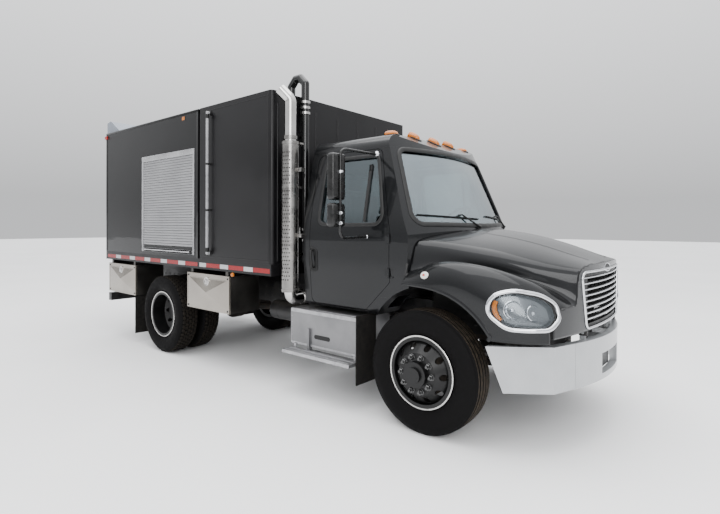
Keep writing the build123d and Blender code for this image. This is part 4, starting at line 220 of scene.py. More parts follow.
def collar(shape, centre, axle, inner, outer, half, flat, steps):
    """A ring round a pipe or bar: its two radii, half its width, and half the width of its flat."""
    turned(shape, ((inner, -half), (outer, -flat), (outer, flat), (inner, half)), centre, axle, steps)


chassis_black = coated(
    "chassis_black", CHASSIS_BLACK, (0.02, 0.019, 0.018), (0.35, 0.6), coat=0.15, grit=0.25, dust=0.8
)
dress(chassis_black, "frame_rails", "rear_guard", "air_tanks")
rail_low, rail_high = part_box("frame_rails")
bolts = bmesh.new()
head = ((0, 0.006), (HUCK_BOLT * 0.7, 0.006), (HUCK_BOLT, 0.002), (HUCK_BOLT, -0.002))
for side in (-1, 1):
    for row_share in (0.30, 0.72):
        bolt_z = rail_low.z + row_share * (rail_high.z - rail_low.z)
        for bolt in range(BOLTS_IN_ROW):
            bolt_x = rail_low.x + 0.06 + bolt * BOLT_PITCH
            turned(bolts, head, (bolt_x, side * rail_high.y, bolt_z), (0, side, 0), 10, whole=False)
fit_piece("rail_bolts", bolts, chassis_black, "chassis")

# Axles, springs and power train. Forged and cast iron parts brushed with black paint, which
# flakes and goes brown-grey, and spring leaves clamped on the axles by U-bolts.
U_BOLT = 0.011
SPRING_SIDE = 0.482
SPRING_HALF_WIDTH = 0.0375


def rounded_run(points, bend, steps=5):
    """The middle line of a bent bar through corner points, with an arc of one radius at each bend."""
    line = [Vector(points[0])]
    for before, corner, after in zip(points[:-2], points[1:-1], points[2:]):
        before, corner, after = Vector(before), Vector(corner), Vector(after)
        way_in = (before - corner).normalized()
        way_out = (after - corner).normalized()
        half = way_in.angle(way_out) / 2
        room = 0.48 * min((before - corner).length, (after - corner).length)
        back = min(bend / max(sin(half), 1e-3) * cos(half), room)
        reach = back * sin(half) / max(cos(half), 1e-3)
        middle = corner + (way_in + way_out).normalized() * hypot(back, reach)
        start, end = corner + way_in * back - middle, corner + way_out * back - middle
        for step in range(steps + 1):
            line.append(middle + start.normalized().slerp(end.normalized(), step / steps) * reach)
    line.append(Vector(points[-1]))
    return line


def bent_bar(shape, points, radius, bend=0.03, sides=10):
    """Bends a round bar or pipe through corner points."""
    line = rounded_run(points, bend)
    turns = [tau * side / sides for side in range(sides)]
    rings = []
    across = (line[1] - line[0]).normalized().orthogonal().normalized()
    for place, middle in enumerate(line):
        before = line[max(place - 1, 0)]
        after = line[min(place + 1, len(line) - 1)]
        way = (after - before).normalized()
        across = (across - way * across.dot(way)).normalized()
        square = way.cross(across)
        rings.append([shape.verts.new(middle + (across * cos(a) + square * sin(a)) * radius) for a in turns])
    for low, high in zip(rings[:-1], rings[1:]):
        band(shape, low, high)
    shape.faces.new(rings[0][::-1])
    shape.faces.new(rings[-1])


axle_black = coated(
    "axle_black", (0.012, 0.012, 0.012), (0.045, 0.036, 0.028), (0.5, 0.8), patch=0.06, grit=0.6, dust=0.9
)
dress(axle_black, "front_axle", "rear_axle", "leaf_springs", "power_train", "knuckle_right", "knuckle_left")
u_bolts = bmesh.new()
reach = SPRING_HALF_WIDTH + U_BOLT + 0.001
for axle_x, clamp_low, clamp_high in ((FRONT_AXLE, 0.42, 0.56), (REAR_AXLE, 0.43, 0.68)):
    for side in (-1, 1):
        for step in (-0.075, 0.075):
            near, far = side * (SPRING_SIDE - reach), side * (SPRING_SIDE + reach)
            x = axle_x + step
            corners = ((x, near, clamp_low), (x, near, clamp_high), (x, far, clamp_high), (x, far, clamp_low))
            bent_bar(u_bolts, corners, U_BOLT, bend=0.02, sides=8)
fit_piece("spring_u_bolts", u_bolts, axle_black, "chassis")

# Tyres. Moulded rubber on steel rims: five straight ribs in front, rows of lug blocks behind,
# with smooth blank sidewalls and tan yard dust caked on the ribs that touch the road.
SIDES = ((-1, "right"), (1, "left"))
RUBBER = (0.0032, 0.0030, 0.0033)
TREAD_DUST = (0.060, 0.047, 0.035)
TYRE_RADIUS = 0.515
TYRE_HALF_WIDTH, TREAD_HALF_WIDTH = 0.137, 0.104
TYRE_SECTION = (
    (0.274, 0.0965), (0.302, 0.0980), (0.318, 0.1075), (0.345, 0.1235), (0.380, 0.1335), (0.415, 0.1370),
    (0.445, 0.1345), (0.466, 0.1285), (0.480, 0.1215), (0.492, 0.1135), (0.4985, 0.1040),
)
RIB_GROOVES = (0.067, 0.023)
GROOVE_HALF_WIDTH = 0.0062
GROOVE_DEPTH = 0.014
LUG_DEPTH = 0.015
LUG_ROWS, LUGS_ROUND = 5, 56
LUG_OUTLINE = ((-0.5, 0), (-0.25, 0.5), (0.25, 0.5), (0.5, 0), (0.25, -0.5), (-0.25, -0.5))


def rubber(name, clean, dusty, dusty_share):
    """Black rubber with dust rubbed into it, more or less of it."""
    finish, tree, shader = bare_finish(name)
    rubbed = mottle(tree, 0.035, 0.5 - dusty_share / 2, 1.05 - dusty_share / 2)
    tree.links.new(by_mask(tree, rubbed, clean, dusty), shader.inputs["Base Color"])
    tree.links.new(scaled(tree, rubbed, 0.5, 0.9), shader.inputs["Roughness"])
    shader.inputs["Specular IOR Level"].default_value = 0.06
    raised(tree, shader, mottle(tree, 0.006, 0.2, 0.8, detail=4.0), 0.3, 0.001)
    return finish


def smoothed(points, steps=3):
    """More points along a smooth curve through those given."""
    out = []
    for place in range(len(points) - 1):
        p0 = Vector(points[max(place - 1, 0)])
        p1, p2 = Vector(points[place]), Vector(points[place + 1])
        p3 = Vector(points[min(place + 2, len(points) - 1)])
        square, cube = 2 * p0 - 5 * p1 + 4 * p2 - p3, 3 * p1 - p0 - 3 * p2 + p3
        for step in range(steps):
            t = step / steps
            out.append(0.5 * ((2 * p1) + (p2 - p0) * t + square * t**2 + cube * t**3))
    return out + [Vector(points[-1])]


def tyre_section(crown, grooves):
    """One tyre's section from bead to bead, with flexing rings on its walls and grooves in its crown."""
    half = []
    for radius, across in smoothed(TYRE_SECTION):
        ringed = 0.325 < radius < 0.336 or 0.455 < radius < 0.463
        half.append((radius, across + (0.0012 if ringed else 0.0)))
    shoulder_radius, shoulder_out = half[-1]

    def rise(across):
        return crown - (crown - shoulder_radius) * (across / shoulder_out) ** 4

    upper = half + [(crown - 0.004, 0.095)]
    for groove in grooves:
        out, inner, floor = groove + GROOVE_HALF_WIDTH, groove - GROOVE_HALF_WIDTH, rise(groove) - GROOVE_DEPTH
        upper += [(rise(out), out), (floor, out - 0.0015), (floor, inner + 0.0015), (rise(inner), inner)]
    return upper + [(radius, -across) for radius, across in reversed(upper)], len(half)


sidewall_rubber = rubber("sidewall_rubber", RUBBER, (0.0050, 0.0047, 0.0046), 0.4)
tread_rubber = rubber("tread_rubber", (0.006, 0.0055, 0.005), TREAD_DUST, 0.55)
lug_rubber = rubber("lug_rubber", (0.006, 0.006, 0.006), (0.022, 0.018, 0.014), 0.5)
ribbed, wall_points = tyre_section(TYRE_RADIUS, RIB_GROOVES)
plain = tyre_section(TYRE_RADIUS - LUG_DEPTH, ())[0]
lug_pitch, row_width = tau / LUGS_ROUND, 2 * TREAD_HALF_WIDTH / LUG_ROWS


def on_rib(row):
    """1 for the rows of the section that touch the road, 0 for the walls and the grooves."""
    wall = row < wall_points - 1 or row >= len(ribbed) - wall_points
    return 0 if wall or min(ribbed[row][0], ribbed[row + 1][0]) < TYRE_RADIUS - 0.010 else 1


for side, side_name in SIDES:
    low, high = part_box(f"front_tyre_{side_name}")
    tyre = bmesh.new()
    turned(tyre, ribbed, (low + high) / 2, steps=128, finish_at=on_rib)
    fit_piece(
        f"ribbed_tyre_{side_name}", tyre, (sidewall_rubber, tread_rubber), f"front_wheel_{side_name}",
        (f"front_tyre_{side_name}",), crease=40,
    )
    low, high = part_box(f"rear_tyres_{side_name}")
    tyres = bmesh.new()
    for tyre_y in (low.y + TYRE_HALF_WIDTH, high.y - TYRE_HALF_WIDTH):
        centre = Vector((REAR_AXLE, tyre_y, (low.z + high.z) / 2))
        turned(tyres, plain, centre, steps=112)
        for row in range(LUG_ROWS):
            row_y = row_width * (row + 0.5) - TREAD_HALF_WIDTH
            edge = 0.004 * (row_y / TREAD_HALF_WIDTH) ** 2
            for lug in range(LUGS_ROUND):
                middle = lug_pitch * (lug + 0.5 * (row % 2))
                rings = []
                for radius, grow in ((TYRE_RADIUS - LUG_DEPTH - 0.006, 0.92), (TYRE_RADIUS - 0.0005, 0.80)):
                    turns = [middle + along * lug_pitch * grow * 1.15 for along, across in LUG_OUTLINE]
                    outs = [row_y + across * row_width * grow for along, across in LUG_OUTLINE]
                    reach = radius - edge
                    rings.append([
                        tyres.verts.new(centre + Vector((reach * sin(turn), out, reach * cos(turn))))
                        for turn, out in zip(turns, outs)
                    ])
                band(tyres, *rings, 1)
                tyres.faces.new(rings[1]).material_index = 1
    fit_piece(
        f"lugged_tyres_{side_name}", tyres, (sidewall_rubber, lug_rubber), f"rear_wheels_{side_name}",
        (f"rear_tyres_{side_name}",), crease=40,
    )

# Rims and hubs. Pressed steel discs in satin black enamel with ten hand holes and ten nuts, a bare
# bright lip where the bead sits, and a flanged nut with its stud end at each hole of the bolt circle.
RIM_LIP = (
    (0.292, 0.1100), (0.2925, 0.1136), (0.2965, 0.1160), (0.3010, 0.1160),
    (0.3045, 0.1138), (0.3050, 0.1085), (0.300, 0.108),
)
NUT_CIRCLE, NUT_COUNT, NUT_FLATS = 0.1429, 10, 0.0205
FRONT_FACE_OUT, REAR_FACE_OUT = 0.167, 0.012
STUD_END = ((0.0115, 0.02), (0.0115, 0.046), (0.009, 0.049), (0, 0.049))


def hex_nut(shape, place, out, half_flats, height):
    """A flanged nut standing on a face: a washer flange, six flats and a chamfered top."""
    flange = ((half_flats * 1.3, 0), (half_flats * 1.3, 0.004), (half_flats, 0.007))
    turned(shape, flange, place, out, 16, whole=False)
    corner = half_flats / cos(pi / 6)
    flats = ((corner, 0.003), (corner, height - 0.004), (half_flats * 0.92, height), (0, height))
    turned(shape, flats, place, out, 6, whole=False)


wheel_black = coated(
    "wheel_black", (0.0028, 0.0028, 0.0030), (0.0045, 0.0045, 0.0045), (0.32, 0.45), coat=0.06, grit=0.12,
)
bright_lip = coated("bright_lip", (0.55, 0.54, 0.52), (0.68, 0.67, 0.65), (0.18, 0.34), patch=0.03, metal=1.0)
nut_black = coated("nut_black", (0.02, 0.02, 0.02), (0.05, 0.05, 0.05), (0.12, 0.3), patch=0.02, metal=0.6, coat=1.0)
for side, side_name in SIDES:
    dress(wheel_black, f"front_rim_{side_name}", f"rear_rims_{side_name}")
    tyre_low, tyre_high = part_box(f"front_tyre_{side_name}")
    wheel_z = (tyre_low.z + tyre_high.z) / 2
    front_y = abs(tyre_low.y + tyre_high.y) / 2
    dual_low, dual_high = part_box(f"rear_tyres_{side_name}")
    dual_out = max(abs(dual_low.y), abs(dual_high.y)) - TYRE_HALF_WIDTH
    dual_face = abs(dual_low.y + dual_high.y) / 2 + REAR_FACE_OUT
    for axle_name, body, axle_x, lip_y, face_y in (
        ("front", f"front_wheel_{side_name}", FRONT_AXLE, front_y, front_y + FRONT_FACE_OUT),
        ("rear", f"rear_wheels_{side_name}", REAR_AXLE, dual_out, dual_face),
    ):
        lip = bmesh.new()
        turned(lip, RIM_LIP, (axle_x, side * lip_y, wheel_z), (0, side, 0), 112)
        fit_piece(f"{axle_name}_rim_lip_{side_name}", lip, bright_lip, body)
        nuts = bmesh.new()
        for nut in range(NUT_COUNT):
            turn = tau * nut / NUT_COUNT
            place = (axle_x + NUT_CIRCLE * cos(turn), side * face_y, wheel_z + NUT_CIRCLE * sin(turn))
            hex_nut(nuts, place, (0, side, 0), NUT_FLATS, 0.029)
            turned(nuts, STUD_END, place, (0, side, 0), 12, whole=False)
        fit_piece(f"{axle_name}_wheel_nuts_{side_name}", nuts, nut_black, body)

# Front bumper. Three pressed steel pieces sprayed silver-grey: a bowed middle with an opening for
# the tow hooks, and two corners bolted to it, with a black holder for a plate on the middle.
BUMPER_SILVER = (0.36, 0.37, 0.38)
PLATE_SIZE = (0.30, 0.15)


def slab(shape, low, high, edge=0.003, steps=2, finish=0):
    """A bar or sheet between two corners with its edges rounded over, or flared where low is past high."""
    low, high = Vector(low), Vector(high)
    count = len(shape.faces)
    corners = bmesh.ops.create_cube(shape, size=1.0)["verts"]
    for corner in corners:
        corner.co = Vector([l + (h - l) * (c + 0.5) for l, h, c in zip(low, high, corner.co)])
    edges = {edge_of for corner in corners for edge_of in corner.link_edges}
    bmesh.ops.bevel(shape, geom=list(edges), offset=edge, segments=steps, affect="EDGES", profile=0.6)
    shape.faces.ensure_lookup_table()
    for face in shape.faces[count:] if finish else ():
        face.material_index = finish


def plate(shape, low, high, *rounding):
    """A slab between two corners given either way round, always with its edges rounded over."""
    slab(shape, *zip(*(sorted(pair) for pair in zip(low, high))), *rounding)


silver_paint = coated(
    "silver_paint", BUMPER_SILVER, (0.40, 0.41, 0.42), (0.30, 0.42), patch=0.2, metal=0.35, coat=0.5, grit=0.06
)
dress(silver_paint, "front_bumper")
plate_black = coated("plate_black", (0.012, 0.012, 0.013), (0.03, 0.03, 0.03), (0.35, 0.6), patch=0.03, grit=0.2)
bumper_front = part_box("front_bumper")[1].x
plate_foot = Vector((bumper_front - 0.068, -PLATE_SIZE[0] / 2, 0.54))
bumper_holder = bmesh.new()
plate(bumper_holder, plate_foot, plate_foot + Vector((0.008, *PLATE_SIZE)))
fit_piece("number_plate_holder", bumper_holder, plate_black, "chassis")

# Cab. Steel panels welded up and sprayed in dark grey metallic paint under clear lacquer, with
# the windscreen and the rear window held in black rubber seals.
CAB_GREY = (0.0045, 0.0048, 0.0053)
SEAL_HALF_WIDTH = 0.017
SEAL_HEIGHT = 0.010
SCREEN_OUTLINE = ((-0.935, 1.745), (0.935, 1.745), (0.800, 2.440), (-0.800, 2.440))
REAR_WINDOW_OUTLINE = ((-0.620, 1.800), (0.620, 1.800), (0.620, 2.300), (-0.620, 2.300))
SIDE_REACH, ROOF_REACH = 1.6, 3.2


def lacquer(name, colour, flake, wave):
    """Metallic paint: dark base, fine bright flake, clear lacquer, and a slow wave in the sheet."""
    finish, tree, shader = bare_finish(name)
    flakes = mottle(tree, 0.0018, 0.42, 0.72, detail=2.0)
    tree.links.new(by_mask(tree, flakes, colour, flake), shader.inputs["Base Color"])
    tree.links.new(scaled(tree, flakes, 0.34, 0.26), shader.inputs["Roughness"])
    shader.inputs["Metallic"].default_value = 0.45
    shader.inputs["Coat Weight"].default_value = 0.42
    shader.inputs["Specular IOR Level"].default_value = 0.1
    shader.inputs["Coat Roughness"].default_value = 0.03
    raised(tree, shader, mottle(tree, 0.5, 0.3, 0.7, detail=1.0), 0.25, wave, "Coat Normal")
    return finish


def ahead(distance):
    """A place along the truck from its distance ahead of the front axle."""
    return FRONT_AXLE + distance


def filleted(outline, radii, steps=8):
    """A closed flat outline with its corners rounded, to one radius or one each."""
    line = []
    count = len(outline)
    for place, bend in enumerate(radii if isinstance(radii, tuple) else [radii] * count):
        corner = Vector(outline[place])
        way_in = (Vector(outline[place - 1]) - corner).normalized()
        way_out = (Vector(outline[(place + 1) % count]) - corner).normalized()
        half = way_in.angle(way_out) / 2
        middle = corner + (way_in + way_out).normalized() * (bend / sin(half))
        start, end = [corner + way * (bend / sin(half) * cos(half)) - middle for way in (way_in, way_out)]
        first = atan2(start.y, start.x)
        turn = (atan2(end.y, end.x) - first + pi) % tau - pi
        turns = [first + turn * step / steps for step in range(steps + 1)]
        line += [middle + Vector((cos(at), sin(at))) * bend for at in turns]
    return line


def closely(line, gap, closed=True):
    """The same outline with more places along its straight runs."""
    out = []
    for here, there in zip(line, line[1:] + line[:1] if closed else line[1:]):
        pieces = max(1, ceil((there - here).length / gap))
        out += [here.lerp(there, piece / pieces) for piece in range(pieces)]
    return out if closed else out + [line[-1]]


def grown(outline, distance):
    """An outline moved out from its middle, or in towards it."""
    middle = sum(outline, Vector((0, 0))) / len(outline)
    return [place + (place - middle).normalized() * distance for place in outline]


def skin_of(*node_names):
    """The surface of some solids, to lay trim on."""
    corners, faces = [], []
    for node_name in node_names:
        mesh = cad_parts[node_name].data
        start = len(corners)
        corners += [vertex.co.copy() for vertex in mesh.vertices]
        faces += [[start + corner for corner in face.vertices] for face in mesh.polygons]
    return BVHTree.FromPolygons(corners, faces)


def laid_on(skin, places, way):
    """Each place dropped onto a skin along a direction, with the skin's outward normal there."""
    landed = []
    for place in places:
        spot, normal, _, _ = skin.ray_cast(place, way)
        if spot is None:
            spot, normal, _, _ = skin.find_nearest(place)
        landed.append((spot, -normal if normal.dot(way) > 0 else normal))
    return landed


def from_side(skin, side, places):
    """Places (ahead of the front axle, height) laid on a skin from one side of the truck."""
    return laid_on(skin, [Vector((ahead(x), side * SIDE_REACH, z)) for x, z in places], Vector((0, -side, 0)))


def from_front(skin, start_x, places, way=-1):
    """Places (across, height) laid on a skin along the truck."""
    return laid_on(skin, [Vector((start_x, y, z)) for y, z in places], Vector((way, 0, 0)))


def from_above(skin, places):
    """Places (ahead of the front axle, across) laid on a skin from above."""
    return laid_on(skin, [Vector((ahead(x), y, ROOF_REACH)) for x, y in places], Vector((0, 0, -1)))


def both_ways(*half):
    """A trim's section: its right half, and the same mirrored to the left."""
    return [*half, *((-across, out) for across, out in reversed(half) if across)]


def trim_strip(shape, landed, section, closed=True, evened=2):
    """Sweeps a section of (across, out) places along a line laid on a skin."""
    count = len(landed)
    spots, normals = zip(*landed)

    def beside(place, step):
        return (place + step) % count if closed else min(max(place + step, 0), count - 1)

    for _ in range(evened):
        normals = [
            (normals[beside(i, -1)] + normals[i] * 2 + normals[beside(i, 1)]).normalized() for i in range(count)
        ]
    rings = []
    for place in range(count):
        way = (spots[beside(place, 1)] - spots[beside(place, -1)]).normalized()
        out = (normals[place] - way * normals[place].dot(way)).normalized()
        across = way.cross(out)
        rings.append([shape.verts.new(spots[place] + across * a + out * o) for a, o in section])
    for low, high in zip(rings, rings[1:] + rings[:1] if closed else rings[1:]):
        band(shape, low, high)
    if not closed:
        shape.faces.new(rings[0][::-1])
        shape.faces.new(rings[-1])


def seal_section(half_width, height, sink=0.006):
    """A rubber seal's section, rounded on top and sunk a little into the panel."""
    top = [(half_width * cos(pi * s / 6), height * (0.35 + 0.65 * sin(pi * s / 6))) for s in range(7)]
    return [(half_width, -sink)] + top + [(-half_width, -sink)]


cab_paint = lacquer("cab_paint", CAB_GREY, (0.0185, 0.0194, 0.021), 0.0008)
dress(cab_paint, "cab_roof", "cab_back", "cab_front", "cab_floor")
seal_rubber_and_slot_shade = coated("seal_rubber_and_slot_shade", (0.010, 0.010, 0.010), (0.016, 0.016, 0.016), (0.4, 0.6), patch=0.05, grit=0.15)
cab_skin = skin_of("cab_front", "cab_roof", "cab_back")
seals = bmesh.new()
for outline, radius, start_x, way in (
    (SCREEN_OUTLINE, 0.095, ahead(0.6), -1), (REAR_WINDOW_OUTLINE, 0.06, ahead(-2.2), 1),
):
    edge = grown(closely(filleted(outline, radius), 0.03), 0.016)
    seal = seal_section(SEAL_HALF_WIDTH + 0.006, SEAL_HEIGHT)
    trim_strip(seals, from_front(cab_skin, start_x, edge, way), seal)
fit_piece("windscreen_seals", seals, seal_rubber_and_slot_shade, "chassis")

# Cab glass. Laminated safety glass with a faint green-grey tint, clear inside and mirror-smooth
# outside, so it shows the sky where it leans back and the cab where it faces the light.
SCREEN_TINT, DOOR_TINT = (0.60, 0.68, 0.68), (0.50, 0.58, 0.58)


def pane(name, tint, least, most):
    """Clear glass that turns to a mirror at a slant, with a faint film of dust on it."""
    finish, tree, shader = bare_finish(name)
    film = mottle(tree, 0.5, 0.3, 0.7, detail=1.0)
    tree.links.new(by_mask(tree, film, (0.50, 0.56, 0.60), (0.58, 0.64, 0.68)), shader.inputs["Base Color"])
    tree.links.new(scaled(tree, film, 0.01, 0.03), shader.inputs["Roughness"])
    shader.inputs["Metallic"].default_value = 1.0
    clear = tree.nodes.new("ShaderNodeBsdfTransparent")
    clear.inputs["Color"].default_value = (*tint, 1)
    slant = tree.nodes.new("ShaderNodeLayerWeight")
    slant.inputs["Blend"].default_value = 0.35
    mix = tree.nodes.new("ShaderNodeMixShader")
    tree.links.new(scaled(tree, slant.outputs["Facing"], least, most), mix.inputs["Fac"])
    tree.links.new(clear.outputs["BSDF"], mix.inputs[1])
    tree.links.new(shader.outputs["BSDF"], mix.inputs[2])
    tree.links.new(mix.outputs["Shader"], tree.nodes["Material Output"].inputs["Surface"])
    return finish


screen_glass = pane("screen_glass", SCREEN_TINT, 0.16, 0.75)
door_pane_glass = pane("door_pane_glass", DOOR_TINT, 0.05, 0.5)
dress(screen_glass, "cab_glass")
dress(door_pane_glass, "door_glass_right", "door_glass_left")

# Wipers. Two black steel arms on pivots in the cowl, bent over the glass, each with a rubber blade
# in a thin bridge that lies low on the windscreen.
WIPERS = ((-0.10, -0.33, -0.86), (0.80, 0.60, 0.20))
PIVOT_Z, BLADE_Z = 1.706, 1.802
screen_skin = skin_of("cab_glass")
wipers = bmesh.new()
for pivot_y, tip_y, blade_end_y in WIPERS:
    foot = from_front(cab_skin, ahead(0.6), [(pivot_y, PIVOT_Z)])[0][0]
    tip = from_front(screen_skin, ahead(0.6), [(tip_y, BLADE_Z + 0.03)])[0][0]
    bent_bar(wipers, (
        foot + Vector((-0.01, 0, 0)), foot + Vector((0.022, -0.01, 0.01)),
        tip + Vector((0.024, 0.03, 0)), tip + Vector((0.012, -0.02, -0.005)),
    ), 0.008, 0.03, 8)
    turned(wipers, ((0, 0.03), (0.016, 0.028), (0.020, 0.0), (0.020, -0.02)), foot, (0.6, 0, 0.8), 16, whole=False)
    blade = [(tip_y + (blade_end_y - tip_y) * s / 10, BLADE_Z + 0.02 * s / 10) for s in range(-6, 11)]
    bridge = both_ways((0.007, 0.002), (0.005, 0.014), (0, 0.020))
    trim_strip(wipers, from_front(screen_skin, ahead(0.6), blade), bridge, closed=False)
fit_piece("wipers", wipers, seal_rubber_and_slot_shade, "chassis")

# Doors. Pressed steel skins hung on two hinges, in the cab's paint, with the window in a black
# rubber seal, a black division bar, a pull handle in a dished recess, and a pressed waist line.
DOOR_WINDOW = ((-1.270, 1.745), (-0.478, 1.745), (-0.624, 2.375), (-1.270, 2.375))
DOOR_WINDOW_RADII = (0.07, 0.09, 0.06, 0.07)
WINDOW_BAR = -0.700
HANDLE_AT = Vector((-1.345, 1.385))
HANDLE_RECESS = ((-0.052, -0.11), (0.052, -0.125), (0.052, 0.085), (-0.03, 0.125), (-0.052, 0.09))
black_moulding = coated(
    "black_moulding", (0.006, 0.006, 0.006), (0.010, 0.010, 0.010), (0.35, 0.5), patch=0.05, grit=0.25,
)
chrome = coated("chrome", (0.58, 0.59, 0.61), (0.68, 0.69, 0.71), (0.05, 0.14), patch=0.05, metal=1.0)
for side, side_name in SIDES:
    body = f"cab_door_{side_name}"
    dress(cab_paint, f"door_{side_name}")
    door_skin = skin_of(f"door_{side_name}")
    pane_skin = skin_of(f"door_glass_{side_name}")
    seal = bmesh.new()
    edge = grown(closely(filleted(DOOR_WINDOW, DOOR_WINDOW_RADII), 0.03), 0.014)
    trim_strip(seal, from_side(door_skin, side, edge), seal_section(SEAL_HALF_WIDTH, 0.008))
    bar = from_side(pane_skin, side, [(WINDOW_BAR, 1.76 + 0.62 * s / 8) for s in range(9)])
    trim_strip(seal, bar, both_ways((0.016, -0.004), (0.016, 0.014)), closed=False)
    fit_piece(f"door_seal_{side_name}", seal, seal_rubber_and_slot_shade, body)
    handle = bmesh.new()
    rim = from_side(door_skin, side, [HANDLE_AT + place for place in closely(filleted(HANDLE_RECESS, 0.03, 5), 0.02)])
    trim_strip(handle, rim, seal_section(0.008, 0.007))
    handle.faces.new([handle.verts.new(place + out * 0.0012) for place, out in rim])
    (spot, normal), = from_side(door_skin, side, [HANDLE_AT])
    top, foot = spot + Vector((-0.012, 0, 0.085)), spot + Vector((0.004, 0, -0.085))
    pull = (top - normal * 0.01, top + normal * 0.028, foot + normal * 0.028, foot - normal * 0.01)
    bent_bar(handle, pull, 0.012, 0.02, 10)
    fit_piece(f"door_handle_{side_name}", handle, black_moulding, body)

# Mirrors. A black tube loop on each door carries a tall flat mirror and a small bowed one in
# black moulded shells, held by chrome clamps where the tube crosses each shell and at its feet.
MIRROR_BAR = (-0.700, 1.352)
MIRROR_HEADS = ((1.950, 2.368), (1.711, 1.925))
MIRROR_FEET = ((-0.640, 0.905, 2.397), (-0.655, 1.022, 1.621))
MIRROR_TUBE = 0.013
FOOT_PROFILE = ((0.030, -0.004), (0.030, 0.006), (0.020, 0.012), (0.0135, 0.022), (0.0135, 0.03))
mirror_black = coated("mirror_black", (0.004, 0.004, 0.004), (0.008, 0.008, 0.008), (0.2, 0.35), patch=0.05, coat=0.25)
mirror_silver = coated("mirror_silver", (0.80, 0.82, 0.83), (0.84, 0.86, 0.87), (0.02, 0.05), patch=0.2, metal=1.0)
for side, side_name in SIDES:
    body = f"cab_door_{side_name}"
    bar_x, bar_y = ahead(MIRROR_BAR[0]), side * MIRROR_BAR[1]
    face_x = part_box(f"mirror_{side_name}")[0].x
    top, foot = [Vector((ahead(x), side * y, z)) for x, y, z in MIRROR_FEET]
    loop = bmesh.new()
    bent_bar(loop, (top, (bar_x, bar_y, 2.406), (bar_x, bar_y, 1.612), foot), MIRROR_TUBE, 0.06, 12)
    faces = bmesh.new()
    for low_z, high_z in MIRROR_HEADS:
        plate(loop, (face_x, bar_y - 0.0875, low_z), (bar_x - 0.006, bar_y + 0.0875, high_z), 0.036, 5)
        glass_low = (face_x - 0.0005, bar_y - 0.070, low_z + 0.02)
        plate(faces, glass_low, (face_x + 0.004, bar_y + 0.070, high_z - 0.02), 0.0015)
    fit_piece(f"mirror_loop_{side_name}", loop, mirror_black, body, (f"mirror_{side_name}",))
    fit_piece(f"mirror_faces_{side_name}", faces, mirror_silver, body)
    clamps = bmesh.new()
    for clamp_z in (1.745, 1.835, 2.20):
        collar(clamps, (bar_x, bar_y, clamp_z), (0, 0, 1), 0.0145, 0.020, 0.016, 0.012, 16)
        hex_nut(clamps, (bar_x + 0.016, bar_y, clamp_z), (1, 0, 0), 0.009, 0.012)
    for place in (top, foot):
        turned(clamps, FOOT_PROFILE, place, (0, side, 0), 20, whole=False)
        for step in (-0.02, 0.02):
            hex_nut(clamps, place + Vector((step, side * 0.006, 0)), (0, side, 0), 0.007, 0.008)
    fit_piece(f"mirror_clamps_{side_name}", clamps, chrome, body)

# Hood. One moulded shell with both fenders in it, tilting forward, in the cab's paint: a crowned
# middle, a shoulder, a valley and a bulging fender each side, a rolled lip round each wheel arch,
# a soft crease each side of the middle, and black moulded liners over the wheels.
HOOD_STATIONS = (
    # ahead of the axle, height in the middle, then (across, height) of brow, shoulder, valley,
    # fender crown, fender side and fender foot
    (-0.420, 1.706, (0.440, 1.676), (0.985, 1.610), (1.035, 1.345), (1.060, 1.290), (1.098, 1.230), (1.108, 1.050)),
    (-0.200, 1.708, (0.430, 1.678), (0.968, 1.605), (1.028, 1.345), (1.062, 1.300), (1.102, 1.240), (1.112, 1.050)),
    (0.060, 1.702, (0.400, 1.672), (0.905, 1.585), (0.975, 1.390), (1.072, 1.414), (1.152, 1.335), (1.168, 1.050)),
    (0.320, 1.677, (0.370, 1.645), (0.835, 1.545), (0.905, 1.390), (1.068, 1.438), (1.166, 1.345), (1.172, 1.050)),
    (0.560, 1.634, (0.340, 1.601), (0.768, 1.500), (0.838, 1.350), (1.040, 1.402), (1.153, 1.285), (1.172, 1.040)),
    (0.780, 1.572, (0.310, 1.542), (0.702, 1.450), (0.775, 1.285), (0.975, 1.328), (1.098, 1.195), (1.130, 1.000)),
    (0.940, 1.514, (0.285, 1.490), (0.648, 1.418), (0.718, 1.215), (0.885, 1.232), (1.005, 1.110), (1.040, 0.965)),
    (1.050, 1.470, (0.265, 1.454), (0.614, 1.402), (0.668, 1.150), (0.775, 1.120), (0.880, 1.040), (0.900, 0.935)),
    (1.150, 1.426, (0.245, 1.416), (0.600, 1.390), (0.612, 1.100), (0.625, 1.040), (0.640, 0.980), (0.645, 0.915)),
)
HOOD_LOW_Z, NOSE_LOW_Z = 0.876, 0.905
SHOULDER_TURN, SHOULDER_CUT = 0.060, 0.28
HALF_SHARES = (0.0, 0.036, 0.096, 0.130, 0.170, 0.231, 0.248, 0.265, 0.390)
NOSE_AHEAD, NOSE_RADIUS = 1.135, 3.5
CAB_BOW_MIDDLE, CAB_BOW_RADIUS = -2.580, 2.612
SHELL = 0.012
ARCH_CENTRE = (0.020, 0.515)
ARCH_RADIUS, ARCH_LIP_RADIUS = 0.700, 0.716
REAR_FOOT_Z = 1.215
LINER_Y, LINER_LOW_Z = 0.640, 0.905
CREASES = ((-0.02, 0.392), (0.30, 0.370), (0.58, 0.338), (0.80, 0.308), (0.96, 0.284), (1.06, 0.262))
LAMP_OUTLINE = (
    (0.596, 1.085), (0.640, 1.215), (0.770, 1.247), (0.910, 1.213),
    (0.985, 1.156), (1.024, 1.056), (0.990, 0.985), (0.740, 0.985),
)
LAMP_RADII = (0.09, 0.11, 0.20, 0.18, 0.14, 0.06, 0.05, 0.15)
LAMP_INNER_Y = 0.78
HINGE_Y = 0.456
GRILLE_LOW_Z, GRILLE_HIGH_Z = 0.925, 1.370
GRILLE_LOW_HALF, GRILLE_HIGH_HALF = 0.485, 0.575
